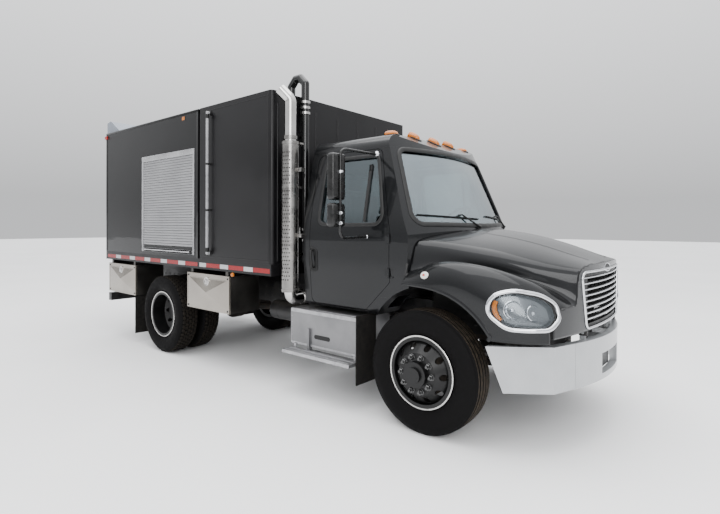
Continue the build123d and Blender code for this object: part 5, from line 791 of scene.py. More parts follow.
GRILLE_OUTLINE = (
    (-GRILLE_LOW_HALF, GRILLE_LOW_Z), (GRILLE_LOW_HALF, GRILLE_LOW_Z),
    (GRILLE_HIGH_HALF, GRILLE_HIGH_Z), (-GRILLE_HIGH_HALF, GRILLE_HIGH_Z),
)


def spline(knots, rows, places):
    """A natural cubic spline through rows of numbers, read off at more places."""
    knots, rows, places = np.array(knots), np.array(rows, float), np.array(places)
    step = np.diff(knots)
    bend, pull = np.eye(len(knots)), np.zeros_like(rows)
    for i in range(1, len(knots) - 1):
        bend[i, i - 1:i + 2] = step[i - 1], 2 * (step[i - 1] + step[i]), step[i]
        pull[i] = 6 * ((rows[i + 1] - rows[i]) / step[i] - (rows[i] - rows[i - 1]) / step[i - 1])
    curve = np.linalg.solve(bend, pull)
    span = np.clip(np.searchsorted(knots, places) - 1, 0, len(step) - 1)
    size = step[span][:, None]
    a = (knots[span + 1] - places)[:, None] / size
    b = 1 - a
    bent = (a**3 - a) * curve[span] + (b**3 - b) * curve[span + 1]
    return a * rows[span] + b * rows[span + 1] + bent * size**2 / 6


def clipped(points, faces, keep):
    """The part of a surface where keep(point) is above zero, cut clean through its faces."""
    levels = [keep(point) for point in points]
    cuts, out = {}, []
    for face in faces:
        kept = []
        for a, b in zip(face, face[1:] + face[:1]):
            if levels[a] >= 0:
                kept.append(a)
            if (levels[a] >= 0) != (levels[b] >= 0):
                key = (min(a, b), max(a, b))
                if key not in cuts:
                    cuts[key] = len(points)
                    here, there = key
                    points.append(points[here].lerp(points[there], levels[here] / (levels[here] - levels[there])))
                kept.append(cuts[key])
        if len(kept) > 2:
            out.append(kept)
    return out


def outside(place, outline):
    """How far a place lies outside a closed outline, below zero inside it."""
    nearest, inside = 9.0, False
    for start, end in zip(outline, outline[1:] + outline[:1]):
        way = end - start
        share = max(0, min(1, (place - start).dot(way) / way.length_squared))
        nearest = min(nearest, (place - start - way * share).length)
        if (start.y > place.y) != (end.y > place.y) and place.x < start.x + way.x * (place.y - start.y) / way.y:
            inside = not inside
    return -nearest if inside else nearest


def grid_faces(rows, columns):
    """The faces of a grid of points given row by row."""
    starts = [row * columns + column for row in range(rows - 1) for column in range(columns - 1)]
    return [[at, at + columns, at + columns + 1, at + 1] for at in starts]


def thicken(piece, thickness, side, inner_finish=0):
    """Gives a sheet its thickness: inwards at a side of -1, both ways at 0."""
    thick = piece.modifiers.new("thick", "SOLIDIFY")
    thick.thickness = thickness
    thick.offset = side
    thick.material_offset = inner_finish
    bpy.context.view_layer.objects.active = piece
    bpy.ops.object.modifier_apply(modifier=thick.name)


liner_black = coated("liner_black", (0.006, 0.006, 0.006), (0.011, 0.010, 0.009), (0.6, 0.8), patch=0.1, grit=0.4)
sections = []
for distance, middle_z, *marks in HOOD_STATIONS:
    brow, shoulder, valley, crown, flank, foot = [Vector(mark) for mark in marks]
    down, inward = [(end - shoulder).normalized() * SHOULDER_TURN for end in (valley, brow)]
    half = [
        Vector((foot.x, HOOD_LOW_Z)), foot, flank, crown, valley, shoulder + down,
        shoulder + (down + inward) * SHOULDER_CUT, shoulder + inward, brow,
    ]
    row = [(-p.x, p.y) for p in half] + [(0, middle_z)] + [(p.x, p.y) for p in reversed(half)]
    shares = (*HALF_SHARES, 0.5, *(1 - share for share in reversed(HALF_SHARES)))
    sections.append(spline(shares, row, np.linspace(0, 1, 161)).ravel())
stations = [station[0] for station in HOOD_STATIONS]
runs = np.linspace(stations[0], stations[-1], 96)
sheet = spline(stations, sections, runs).reshape(len(runs), -1, 2)
skin_points = [Vector((ahead(x), y, z)) for x, row in zip(runs, sheet) for y, z in row]
skin_faces = grid_faces(*sheet.shape[:2])
hood_skin = BVHTree.FromPolygons(skin_points, skin_faces)
arch_x, arch_z = ahead(ARCH_CENTRE[0]), ARCH_CENTRE[1]
nose_middle = ahead(NOSE_AHEAD) - NOSE_RADIUS
lamp_edge = closely(filleted(LAMP_OUTLINE, LAMP_RADII), 0.022)
lamp_line = [Vector((ahead(p.x), p.y)) for p in lamp_edge]


def off_lamp(p):
    """How far a place on the hood lies outside the headlamps' openings."""
    if abs(p.y) < LAMP_INNER_Y or p.x < ahead(0.50):
        return 1.0
    return outside(Vector((p.x, p.z)), lamp_line)


for keep in (
    lambda p: NOSE_RADIUS - hypot(p.x - nose_middle, p.y),
    lambda p: hypot(p.x - ahead(CAB_BOW_MIDDLE), p.y) - CAB_BOW_RADIUS,
    lambda p: hypot(p.x - arch_x, p.z - arch_z) - ARCH_RADIUS,
    lambda p: max(p.x - arch_x, p.z - REAR_FOOT_Z),
    off_lamp,
):
    skin_faces = clipped(skin_points, skin_faces, keep)
grille_line = closely(filleted(GRILLE_OUTLINE, 0.060, 10), 0.02)


def on_nose(y, z, back=0.0):
    """A place on the bowed nose."""
    return Vector((nose_middle + sqrt((NOSE_RADIUS - back) ** 2 - y * y), y, z))


def under_skin(p):
    """How deep a place lies under the hood's skin."""
    near, normal, _, _ = hood_skin.find_nearest(p)
    return (near - p).dot(normal)


nose_points = [on_nose(y, z) for z in np.linspace(NOSE_LOW_Z, 1.45, 42) for y in np.linspace(-0.95, 0.95, 129)]
nose_faces = grid_faces(42, 129)
for keep in (under_skin, lambda p: outside(Vector((p.y, p.z)), grille_line), off_lamp):
    nose_faces = clipped(nose_points, nose_faces, keep)
shell = bmesh.new()
for points, faces in ((skin_points, skin_faces), (nose_points, nose_faces)):
    corners = {corner: shell.verts.new(points[corner]) for corner in {c for face in faces for c in face}}
    for face in faces:
        shell.faces.new([corners[corner] for corner in face])
bmesh.ops.remove_doubles(shell, verts=shell.verts, dist=0.0008)
hood_shell = fit_piece("hood_shell", shell, (cab_paint, liner_black), "hood_body", ("hood",), crease=40)
thicken(hood_shell, SHELL, -1, 1)
lips = bmesh.new()
rolled = both_ways((0.015, -0.006), (0.014, 0.003), (0.006, 0.007))
creased = both_ways((0.026, -0.004), (0.024, 0.0004), (0.004, 0.0042))
for side in (-1, 1):
    rim = [(ARCH_CENTRE[0] + x / 100, ARCH_CENTRE[1] + ARCH_LIP_RADIUS) for x in range(-22, 0, 4)]
    for at in map(radians, range(90, 29, -3)):
        rim.append((ARCH_CENTRE[0] + ARCH_LIP_RADIUS * cos(at), ARCH_CENTRE[1] + ARCH_LIP_RADIUS * sin(at)))
    trim_strip(lips, from_side(hood_skin, side, rim), rolled, closed=False)
    crease = closely([Vector((x, side * y)) for x, y in CREASES], 0.05, closed=False)
    trim_strip(lips, from_above(hood_skin, crease), creased, closed=False)
fit_piece("hood_lips", lips, cab_paint, "hood_body", crease=50)
liners = bmesh.new()
liner_radius = ARCH_RADIUS + 0.004
low_turn = atan2(LINER_LOW_Z - arch_z, sqrt(liner_radius**2 - (LINER_LOW_Z - arch_z) ** 2))
liner_turns = [low_turn + (pi / 2 - low_turn) * s / 16 for s in range(17)]
liner_line = [(liner_radius * cos(at), liner_radius * sin(at)) for at in liner_turns]
liner_line += [(-0.205 * s / 4, liner_radius) for s in range(1, 5)]
for side in (-1, 1):
    rows = []
    for along, up in liner_line:
        x, z = arch_x + along, arch_z + up
        (spot, normal), = from_side(hood_skin, side, [(ARCH_CENTRE[0] + along, z + 0.006)])
        outer_y = side * (abs(spot.y) - SHELL - 0.004)
        row = [(x, outer_y + (side * LINER_Y - outer_y) * s / 4, z) for s in range(5)]
        rows.append([liners.verts.new(place) for place in (*row, (x, side * LINER_Y, LINER_LOW_Z))])
    for low, high in zip(rows[:-1], rows[1:]):
        for place in range(5):
            if (low[place].co - low[place + 1].co).length + (high[place].co - high[place + 1].co).length > 1e-4:
                liners.faces.new((low[place], high[place], high[place + 1], low[place + 1]))
bmesh.ops.remove_doubles(liners, verts=liners.verts, dist=0.0004)
thicken(fit_piece("hood_liners", liners, liner_black, "hood_body"), 0.003, 0)
hinges = bmesh.new()
for side in (-1, 1):
    hinge_y = side * HINGE_Y
    plate(hinges, (ahead(1.040), hinge_y - 0.014, 0.866), (ahead(1.104), hinge_y + 0.014, 0.925), 0.006, 3)
    collar(hinges, (ahead(1.072), hinge_y, 0.890), (0, 1, 0), 0.012, 0.022, 0.020, 0.020, 24)
fit_piece("hood_hinges", hinges, chassis_black, "hood_body")

# Hood latches and side markers. A black rubber hold-down at each rear corner, and a small oval
# lamp on each fender with a white body and a red middle.
MARKER_AT = (0.045, 1.322)
LATCH_AT = ((-0.192, 1.300), (-0.205, 1.390))
marker_white = coated("marker_white", (0.62, 0.60, 0.58), (0.72, 0.70, 0.68), (0.12, 0.2), patch=0.02, coat=0.8)
marker_red = coated("marker_red", (0.40, 0.02, 0.015), (0.5, 0.04, 0.03), (0.12, 0.2), patch=0.02, coat=0.8)
latches = bmesh.new()
markers = bmesh.new()
for side in (-1, 1):
    (spot, normal), low, high = from_side(hood_skin, side, (MARKER_AT, *LATCH_AT))
    level = (Vector((1, 0, 0)) - normal * normal.x).normalized()
    count = len(markers.verts)
    turned(markers, ((0.030, -0.004), (0.030, 0.004), (0.025, 0.009), (0.0001, 0.011)), spot, normal, 28, whole=False)
    middle = ((0.009, 0.010), (0.009, 0.0125), (0.0001, 0.0145))
    turned(markers, middle, spot, normal, 16, finish_at=lambda row: 1, whole=False)
    markers.verts.ensure_lookup_table()
    for corner in markers.verts[count:]:
        corner.co += level * (corner.co - spot).dot(level) * 0.45
    strap = [end[0] + end[1] * out for end, out in ((low, -0.01), (low, 0.014), (high, 0.014), (high, -0.01))]
    bent_bar(latches, strap, 0.012, 0.012, 12)
    turned(latches, ((0.021, -0.004), (0.021, 0.010), (0.013, 0.015), (0.0001, 0.015)), *low, 18, whole=False)
fit_piece("hood_latches", latches, seal_rubber_and_slot_shade, "hood_body")
fit_piece("side_markers", markers, (marker_white, marker_red), "hood_body")

# Grille. A chrome-plated tube round a bowed opening, level chrome bars clipped on a black moulded
# frame, a black mesh behind them, and a blank oval plate on the lip above.
GRILLE_BARS, GRILLE_BORDER = 8, 0.036
MESH_PITCH, MESH_HALF_WIRE = 0.0125, 0.0012
BADGE_STRETCH = 0.105 / 0.036
grille_black = coated("grille_black", (0.006, 0.006, 0.006), (0.010, 0.010, 0.010), (0.4, 0.6), patch=0.02, grit=0.3)
dress(grille_black, "grille")
grille_skin = skin_of("grille")
nose_skin = BVHTree.FromPolygons([on_nose(y / 10, z) for z in (0.9, 1.5) for y in range(-7, 8)], grid_faces(2, 15))
start_x = solid_box[1].x + 0.1
grille_bars = bmesh.new()
bar_section = both_ways((0.0072, -0.003), (0.0068, 0.005), (0.003, 0.010))
pitch = (GRILLE_HIGH_Z - GRILLE_LOW_Z - 2 * GRILLE_BORDER) / GRILLE_BARS
for bar in range(GRILLE_BARS):
    bar_z = GRILLE_LOW_Z + GRILLE_BORDER + (bar + 0.775) * pitch
    share = (bar_z - GRILLE_LOW_Z) / (GRILLE_HIGH_Z - GRILLE_LOW_Z)
    half = GRILLE_LOW_HALF + (GRILLE_HIGH_HALF - GRILLE_LOW_HALF) * share - 0.016
    places = [(-half + 2 * half * step / 24, bar_z) for step in range(25)]
    trim_strip(grille_bars, from_front(grille_skin, start_x, places), bar_section, closed=False)
rim_tube = [(0.011 * cos(tau * s / 10), 0.004 + 0.010 * sin(tau * s / 10)) for s in range(10)]
trim_strip(grille_bars, from_front(nose_skin, start_x, grille_line), rim_tube)
fit_piece("grille_bars", grille_bars, chrome, "hood_body", crease=40)
mesh_wires = bmesh.new()
mesh_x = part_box("grille")[0].x + 0.012
for wire in range(-42, 43):
    y = wire * MESH_PITCH
    x = mesh_x - NOSE_RADIUS + sqrt(NOSE_RADIUS**2 - y**2)
    low = (x - 0.001, y - MESH_HALF_WIRE, GRILLE_LOW_Z + 0.02)
    plate(mesh_wires, low, (x + 0.001, y + MESH_HALF_WIRE, GRILLE_HIGH_Z - 0.02), 0.0004, 1)
fit_piece("grille_mesh", mesh_wires, grille_black, "hood_body")
badge = bmesh.new()
(spot, normal), = from_front(nose_skin, start_x, [(0, GRILLE_HIGH_Z + 0.012)])
oval = ((0.036, -0.012), (0.036, 0.006), (0.031, 0.009), (0.028, 0.006), (0.0001, 0.0055))
turned(badge, oval, spot, (1, 0, 0.12), 40, finish_at=lambda row: int(row > 2), whole=False)
for corner in badge.verts:
    corner.co.y *= BADGE_STRETCH
fit_piece("badge_plate", badge, (chrome, grille_black), "hood_body")

# Headlamps. A clear moulded lens wrapped round each fender's corner in a broad chrome bezel, with
# a chromed bowl for each beam, a grey housing, and an amber turn lamp at the outer rear end.
BEAMS = ((0.765, 1.118, 0.066), (0.900, 1.105, 0.056))
TURN_LAMP = ((0.655, 1.180), (0.645, 1.140), (0.650, 1.100), (0.664, 1.062), (0.688, 1.030))
LENS_SHARES = (1.0, 0.86, 0.68, 0.48, 0.26)
lamp_chrome = coated("lamp_chrome", (0.66, 0.67, 0.69), (0.76, 0.77, 0.79), (0.06, 0.12), patch=0.5, metal=1.0)
housing_grey = coated("housing_grey", (0.13, 0.135, 0.14), (0.17, 0.175, 0.18), (0.22, 0.3), patch=0.5, metal=0.8)
amber_lens = coated("amber_lens", (0.36, 0.095, 0.002), (0.46, 0.13, 0.003), (0.12, 0.22), patch=0.012, coat=0.4)
lamp_lens = pane("lamp_lens", (0.90, 0.93, 0.95), 0.03, 0.45)
lamp_middle = sum(lamp_edge, Vector((0, 0))) / len(lamp_edge)
lens_edge = [place + (lamp_middle - place).normalized() * 0.007 for place in lamp_edge]
bezel_section = both_ways((0.017, -0.004), (0.016, 0.002), (0.010, 0.008), (0.0, 0.0105))


def on_lamp(side, places):
    """Places laid on the headlamp, a little under the hood's skin."""
    return [(spot - normal * 0.005, normal) for spot, normal in from_side(hood_skin, side, places)]


def dished(shape, rings, tip):
    """A dish from its rings of corners, the widest first, and the place of its tip."""
    rings = [[shape.verts.new(place) for place in ring] for ring in rings]
    rings.append([shape.verts.new(tip)] * len(rings[0]))
    for low, high in zip(rings[:-1], rings[1:]):
        band(shape, low, high)


for side, side_name in SIDES:
    rows = [on_lamp(side, [lamp_middle.lerp(place, share) for place in lens_edge]) for share in LENS_SHARES]
    (tip, tip_normal), = on_lamp(side, [lamp_middle])
    lens = bmesh.new()
    dished(lens, [[spot + normal * 0.004 for spot, normal in row] for row in rows], tip + tip_normal * 0.004)
    fit_piece(f"lamp_lens_{side_name}", lens, lamp_lens, "hood_body", crease=60)
    housing = bmesh.new()
    back = Vector((-0.6, -side * 0.8, 0)) * 0.036
    brim = [spot - normal * 0.001 for spot, normal in rows[0]]
    dished(housing, [brim] + [[spot + back for spot, normal in row] for row in rows], tip + back)
    stands_for = ("headlamps",) if side > 0 else ()
    fit_piece(
        f"lamp_housing_{side_name}", housing, housing_grey, "hood_body", stands_for, crease=40,
    )
    bowls = bmesh.new()
    for beam_x, beam_z, beam_radius in BEAMS:
        (spot, normal), = on_lamp(side, [(beam_x, beam_z)])
        aim = normal + Vector((0.5, 0, 0))
        turns = [radians(turn) for turn in (90, 75, 60, 45, 30, 18)]
        bowl = [(beam_radius + 0.004, 0.030)] + [(beam_radius * sin(a), 0.034 * (1 - cos(a))) for a in turns]
        bulb = [(0.014, 0.001), (0.014, 0.022), (0.010, 0.028), (0.0001, 0.030)]
        turned(bowls, bowl + bulb, spot - normal * 0.052, aim, 36, whole=False)
    fit_piece(f"lamp_bowls_{side_name}", bowls, lamp_chrome, "hood_body", crease=25)
    turn_lamp = bmesh.new()
    sunk = [(spot - normal * 0.010, normal) for spot, normal in on_lamp(side, TURN_LAMP)]
    trim_strip(turn_lamp, sunk, both_ways((0.019, -0.006), (0.017, 0.004), (0.006, 0.008)), closed=False)
    fit_piece(f"turn_lamp_{side_name}", turn_lamp, amber_lens, "hood_body", crease=60)
    bezel = bmesh.new()
    trim_strip(bezel, from_side(hood_skin, side, grown(lamp_edge, 0.012)), bezel_section, evened=4)
    fit_piece(f"lamp_bezel_{side_name}", bezel, chrome, "hood_body", crease=50)
    gasket = bmesh.new()
    gasket_section = both_ways((0.006, -0.004), (0.005, 0.0055))
    trim_strip(gasket, on_lamp(side, grown(lamp_edge, -0.006)), gasket_section, evened=4)
    fit_piece(f"lamp_gasket_{side_name}", gasket, seal_rubber_and_slot_shade, "hood_body")

# Clearance and tail lamps. Moulded lenses on black rubber bases: amber along the cab roof and at
# the body's front corners, red at its rear top and in three round holes each side of its bay.
ROOF_LAMPS = ((-0.566, 0.0), (-0.590, 0.350), (-0.590, -0.350), (-0.611, 0.706), (-0.611, -0.706))
BULLET = (
    (0.0001, -0.070), (0.026, -0.069), (0.038, -0.060), (0.042, -0.035),
    (0.040, 0.005), (0.033, 0.038), (0.020, 0.062), (0.0001, 0.074),
)
red_lens = coated("red_lens", (0.26, 0.003, 0.002), (0.34, 0.006, 0.004), (0.12, 0.22), patch=0.012, coat=0.4)
dress(red_lens, "red_lamps")
roof_skin = skin_of("cab_roof")
bullets = bmesh.new()
bases = bmesh.new()
for lamp_x, lamp_y in ROOF_LAMPS:
    (spot, normal), = from_above(roof_skin, [(lamp_x, lamp_y)])
    turned(bullets, BULLET, spot + normal * 0.008, Vector((1, 0, 0)) - normal * normal.x, 28, whole=False)
    turns = [tau * s / 24 for s in range(24)]
    outline = from_above(roof_skin, [(lamp_x + 0.080 * cos(a), lamp_y + 0.048 * sin(a)) for a in turns])
    trim_strip(bases, outline, ((0.008, -0.004), (0.006, 0.008), (-0.006, 0.010), (-0.010, -0.004)), evened=4)
body_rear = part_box("body_walls")[0].x
ring = ((0.050, -0.002), (0.062, -0.002), (0.064, 0.008), (0.057, 0.014), (0.050, 0.010))
for side in (-1, 1):
    face = side * 1.219
    for row in range(3):
        turned(bases, ring, (body_rear, side * 1.110, 1.450 + row * 0.150), (-1, 0, 0), 32)
    for lamp_x in (-1.150, -3.385):
        plate(bases, (lamp_x - 0.043, face - 0.003, 3.050), (lamp_x + 0.043, face + 0.005, 3.110), 0.002, 1)
    plate(bullets, (-1.185, face - 0.004, 3.056), (-1.115, face + 0.018, 3.104), 0.008, 4)
fit_piece("amber_lamp_lenses", bullets, amber_lens, "chassis", ("amber_lamps",), crease=50)
fit_piece("lamp_bases", bases, seal_rubber_and_slot_shade, "chassis")

# Steps and tanks under the cab. Mill-finish aluminium sheet, folded and riveted: a step box on the
# right and a fuel tank on the left, each with punched grip treads on top and hung out below.
STEP_FACE_Y = 1.060
TREAD_X, LOW_TREAD_X = (0.970, 1.640), (0.740, 1.650)
GRIP_ROWS = ((1.00, 1.045, 0.862), (1.060, 1.090, 0.862), (1.095, 1.135, 0.458), (1.150, 1.200, 0.458))
TANK_OUTLINE = (
    (1.062, 0.75), (1.062, 0.60), (0.95, 0.484), (0.74, 0.484),
    (0.621, 0.60), (0.621, 0.75), (0.74, 0.863), (0.95, 0.863),
)
TANK_CENTRE = Vector((0, 0.84, 0.674))
FILLER_CAP = ((0.045, -0.01), (0.045, 0.020), (0.055, 0.020), (0.055, 0.045), (0.048, 0.052), (0.0001, 0.052))


def grip_strip(shape, x_span, y_span, z, height=0.005, tooth=0.011):
    """A row of punched teeth along a tread, low to high like a coarse saw."""
    near, far = y_span
    for number in range(int((x_span[1] - x_span[0]) / tooth)):
        x = x_span[0] + number * tooth
        end = x + tooth * 0.8
        start_top, end_top = x + tooth * 0.3, x + tooth * 0.55
        feet = [(x, near, z), (end, near, z), (end, far, z), (x, far, z)]
        top = [(start_top, near + 0.004), (end_top, near + 0.004), (end_top, far - 0.004), (start_top, far - 0.004)]
        feet = [shape.verts.new(corner) for corner in feet]
        top = [shape.verts.new((*corner, z + height)) for corner in top]
        shape.faces.new(top)
        band(shape, feet, top)


def rivet_row(shape, start, end, count, out, radius=0.006):
    """Domed rivet heads along a line."""
    dome = ((radius, -0.001), (radius * 0.9, 0.0015), (radius * 0.5, 0.0032), (0.0001, 0.0036))
    for number in range(count):
        spot = Vector(start).lerp(Vector(end), number / (count - 1))
        turned(shape, dome, spot, out, 10, whole=False)


mill_aluminium = coated(
    "mill_aluminium", (0.17, 0.17, 0.175), (0.235, 0.235, 0.24), (0.30, 0.44),
    patch=0.3, metal=0.7, grit=0.08, dust=0.25,
)
tread_aluminium = coated(
    "tread_aluminium", (0.30, 0.30, 0.31), (0.42, 0.42, 0.43), (0.28, 0.42), patch=0.05, metal=0.85, grit=0.1, dust=0.4,
)
dress(mill_aluminium, "step_box", "fuel_tank")
for side, side_name in SIDES:
    treads = bmesh.new()
    for near, far, z in GRIP_ROWS:
        upper = z > 0.8
        inward = 0.12 if upper and side > 0 else 0.0
        run = TREAD_X if upper else LOW_TREAD_X
        across = sorted((side * (near - inward), side * (far - inward)))
        grip_strip(treads, (run[0] + 0.02, run[1] - 0.02), across, z)
    plate(treads, (LOW_TREAD_X[0], side * 1.075, 0.424), (LOW_TREAD_X[1], side * 1.222, 0.459), 0.006, 3)
    for x in (LOW_TREAD_X[0] + 0.03, LOW_TREAD_X[1] - 0.06):
        plate(treads, (x, side * 1.063, 0.428), (x + 0.03, side * 1.078, 0.50), 0.002)
    fit_piece(f"step_treads_{side_name}", treads, tread_aluminium, "chassis", crease=20)
step_trim = bmesh.new()
for x in (0.722, 1.652):
    rivet_row(step_trim, (x, -STEP_FACE_Y, 0.510), (x, -STEP_FACE_Y, 0.840), 6, (0, -1, 0))
rivet_row(step_trim, (0.80, -STEP_FACE_Y, 0.842), (1.58, -STEP_FACE_Y, 0.842), 9, (0, -1, 0))
for low_z, high_z in ((0.820, 0.858), (0.490, 0.512)):
    plate(step_trim, (0.712, -STEP_FACE_Y - 0.003, low_z), (1.664, -STEP_FACE_Y + 0.002, high_z), 0.0015, 1)
tank_line = [Vector((0, *place)) for place in closely(filleted(TANK_OUTLINE, 0.03, 5), 0.04)]
for band_x in (0.83, 1.54):
    strap = [(place + Vector((band_x, 0, 0)), (place - TANK_CENTRE).normalized()) for place in tank_line]
    trim_strip(step_trim, strap, both_ways((0.022, -0.002), (0.022, 0.003)))
turned(step_trim, FILLER_CAP, (0.800, 0.960, 0.850), (0, 0.3, 1), 28, whole=False)
fit_piece("step_trim", step_trim, tread_aluminium, "chassis")
# The hand slot in the step box's face is not cut: it is a flat black patch in the seals' rubber finish, painted shade
# for the opening.
slot_hole = bmesh.new()
slot_line = filleted(((-0.11, -0.022), (0.11, -0.022), (0.11, 0.022), (-0.11, 0.022)), 0.0215, 7)
slot_hole.faces.new([slot_hole.verts.new((1.16 + x, -STEP_FACE_Y - 0.0004, 0.60 + z)) for x, z in slot_line])
fit_piece("step_slot", slot_hole, seal_rubber_and_slot_shade, "chassis")

# Exhaust. A polished stainless stack with its tip cut open and sooty inside, a shield of punched
# sheet clamped round it, band clamps to the cab's back, and a ribbed flexible pipe at its foot.
STACK = Vector((0.720, -1.090, 0))
SHIELD_RADIUS, PIPE_RADIUS, BORE_RADIUS = 0.090, 0.0625, 0.0584
HOLE_ROWS, HOLE_COLUMNS, HOLE_RADIUS = 34, 5, 0.0085
stainless = coated(
    "stainless", (0.20, 0.193, 0.187), (0.29, 0.282, 0.27), (0.16, 0.32), patch=0.12, metal=1.0, grit=0.06,
)
polished = coated("polished", (0.46, 0.45, 0.44), (0.56, 0.55, 0.54), (0.06, 0.14), patch=0.2, metal=1.0)
soot_and_hole_shade = coated("soot_and_hole_shade", (0.010, 0.009, 0.008), (0.022, 0.020, 0.018), (0.7, 0.9), patch=0.02, grit=0.4)
dress(polished, "exhaust")
dress(stainless, "stack_shield")
tip_way = (-0.075, -0.075, 0.110)
tip_mouth = STACK + Vector((-0.075, -0.075, 3.150))
soot_ring = bmesh.new()
for profile in (((BORE_RADIUS, -0.116), (BORE_RADIUS, -0.003)), ((0.0001, -0.114), (BORE_RADIUS, -0.114))):
    turned(soot_ring, profile, tip_mouth, tip_way, 40, whole=False)
fit_piece("stack_soot", soot_ring, soot_and_hole_shade, "chassis")
# The shield's holes are not cut through: each is a flat soot-black hexagon laid on its face, painted shade where the
# dark gap behind would show.
holes = bmesh.new()
for row in range(HOLE_ROWS):
    for column in range(HOLE_COLUMNS):
        around = radians(-90 + (column - 2) * 17 + (row % 2) * 8.5)
        out, level = Vector((cos(around), sin(around), 0)), Vector((-sin(around), cos(around), 0))
        spot = STACK + Vector((0, 0, 1.16 + row * 0.040)) + out * (SHIELD_RADIUS + 0.0004)
        turns = [tau * s / 6 for s in range(6)]
        rim = [spot + (level * cos(a) + Vector((0, 0, sin(a)))) * HOLE_RADIUS for a in turns]
        holes.faces.new([holes.verts.new(corner) for corner in rim])
fit_piece("shield_holes", holes, soot_and_hole_shade, "chassis")
bands = bmesh.new()
for band_z in (1.05, 1.42, 2.12, 2.58):
    level = STACK + Vector((0, 0, band_z))
    collar(bands, level, (0, 0, 1), SHIELD_RADIUS, SHIELD_RADIUS + 0.003, 0.014, 0.012, 48)
    plate(bands, level + Vector((0.05, 0.060, -0.012)), level + Vector((0.085, 0.110, 0.012)), 0.003)
    hex_nut(bands, level + Vector((0.067, 0.112, 0)), (0, 1, 0), 0.009, 0.010)
for band_z in (1.62, 2.30):
    plate(bands, (STACK.x + 0.075, -1.085, band_z - 0.02), (0.880, -1.030, band_z + 0.02), 0.004)
for ring in range(15):
    collar(bands, (STACK.x, -0.56 - ring * 0.026, 0.950), (0, 1, 0), PIPE_RADIUS, 0.071, 0.012, 0.004, 32)
collar(bands, STACK + Vector((0, 0, 2.64)), (0, 0, 1), PIPE_RADIUS, 0.074, 0.02, 0.018, 40)
fit_piece("stack_bands", bands, stainless, "chassis")

# Air tanks. Black steel cylinders hung across the frame in two bands each, with a drain cock.
AIR_TANK = (0.600, 0.700)
DRAIN_COCK = (
    (0.012, 0.0), (0.012, 0.02), (0.018, 0.02), (0.018, 0.034), (0.006, 0.036), (0.006, 0.05), (0.0001, 0.05),
)
air_low, air_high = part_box("air_tanks")
air_fittings = bmesh.new()
for side in (-1, 1):
    for band_x in (air_low.x + 0.14, air_high.x - 0.14):
        middle = (band_x, side * AIR_TANK[0], AIR_TANK[1])
        collar(air_fittings, middle, (1, 0, 0), 0.1152, 0.118, 0.018, 0.016, 36)
    drain = (air_high.x - 0.25, side * AIR_TANK[0], 0.587)
    turned(air_fittings, DRAIN_COCK, drain, (0, 0, -1), 12, whole=False)
fit_piece("air_tank_bands", air_fittings, chassis_black, "chassis")

# Deck. A welded steel deck on sills, sprayed black with the tank, with red and white reflective
# tape stuck along both edges and round-headed bolts between.
TAPE_RUNS = ((-3.39, -0.82), (-0.78, 0.55))
TAPE_LENGTHS = (0.285, 0.165)
TAPE_HALF_THICKNESS = 0.0008
DECK_SIDE = 1.219


def reflective(name, colour, cell):
    """Prismatic tape: bright film over fine sealed cells."""
    finish, tree, shader = bare_finish(name)
    place = tree.nodes.new("ShaderNodeTexCoord")
    cells = tree.nodes.new("ShaderNodeTexVoronoi")
    cells.feature = "DISTANCE_TO_EDGE"
    cells.inputs["Scale"].default_value = 1 / cell
    tree.links.new(place.outputs["Object"], cells.inputs["Vector"])
    film = ranged(tree, cells.outputs["Distance"], 0.02, 0.10)
    tree.links.new(by_mask(tree, film, [c * 0.7 for c in colour], colour), shader.inputs["Base Color"])
    tree.links.new(scaled(tree, film, 0.4, 0.2), shader.inputs["Roughness"])
    shader.inputs["Coat Weight"].default_value = 0.2
    shader.inputs["Specular IOR Level"].default_value = 0.25
    return finish


def tape_lengths(span):
    """Red and white lengths by turns along a span: the ends of each, and its finish."""
    start, finish = 0.0, 0
    while start < span - 0.05:
        end = min(start + TAPE_LENGTHS[finish], span)
        yield start + 0.002, end - 0.002, finish
        start, finish = end, 1 - finish


tank_satin = coated(
    "tank_satin", (0.0028, 0.0026, 0.0031), (0.0045, 0.0042, 0.0049), (0.30, 0.44),
    patch=0.5, coat=0.0, grit=0.10, dust=0.12,
)
dress(tank_satin, "deck")
tape_red = reflective("tape_red", (0.24, 0.003, 0.005), 0.006)
tape_white = reflective("tape_white", (0.42, 0.43, 0.44), 0.006)
tape = bmesh.new()
deck_bolts = bmesh.new()
for side in (-1, 1):
    y = side * DECK_SIDE
    for rear, front in TAPE_RUNS:
        for start, end, finish in tape_lengths(front - rear):
            low, high = (front - end, y - TAPE_HALF_THICKNESS, 1.212), (front - start, y + TAPE_HALF_THICKNESS, 1.262)
            plate(tape, low, high, 0.0003, 1, finish)
    rivet_row(deck_bolts, (-3.38, y, 1.200), (0.54, y, 1.200), 27, (0, side, 0), 0.008)
fit_piece("deck_tape", tape, (tape_red, tape_white), "chassis")
fit_piece("deck_bolts", deck_bolts, chassis_black, "chassis")

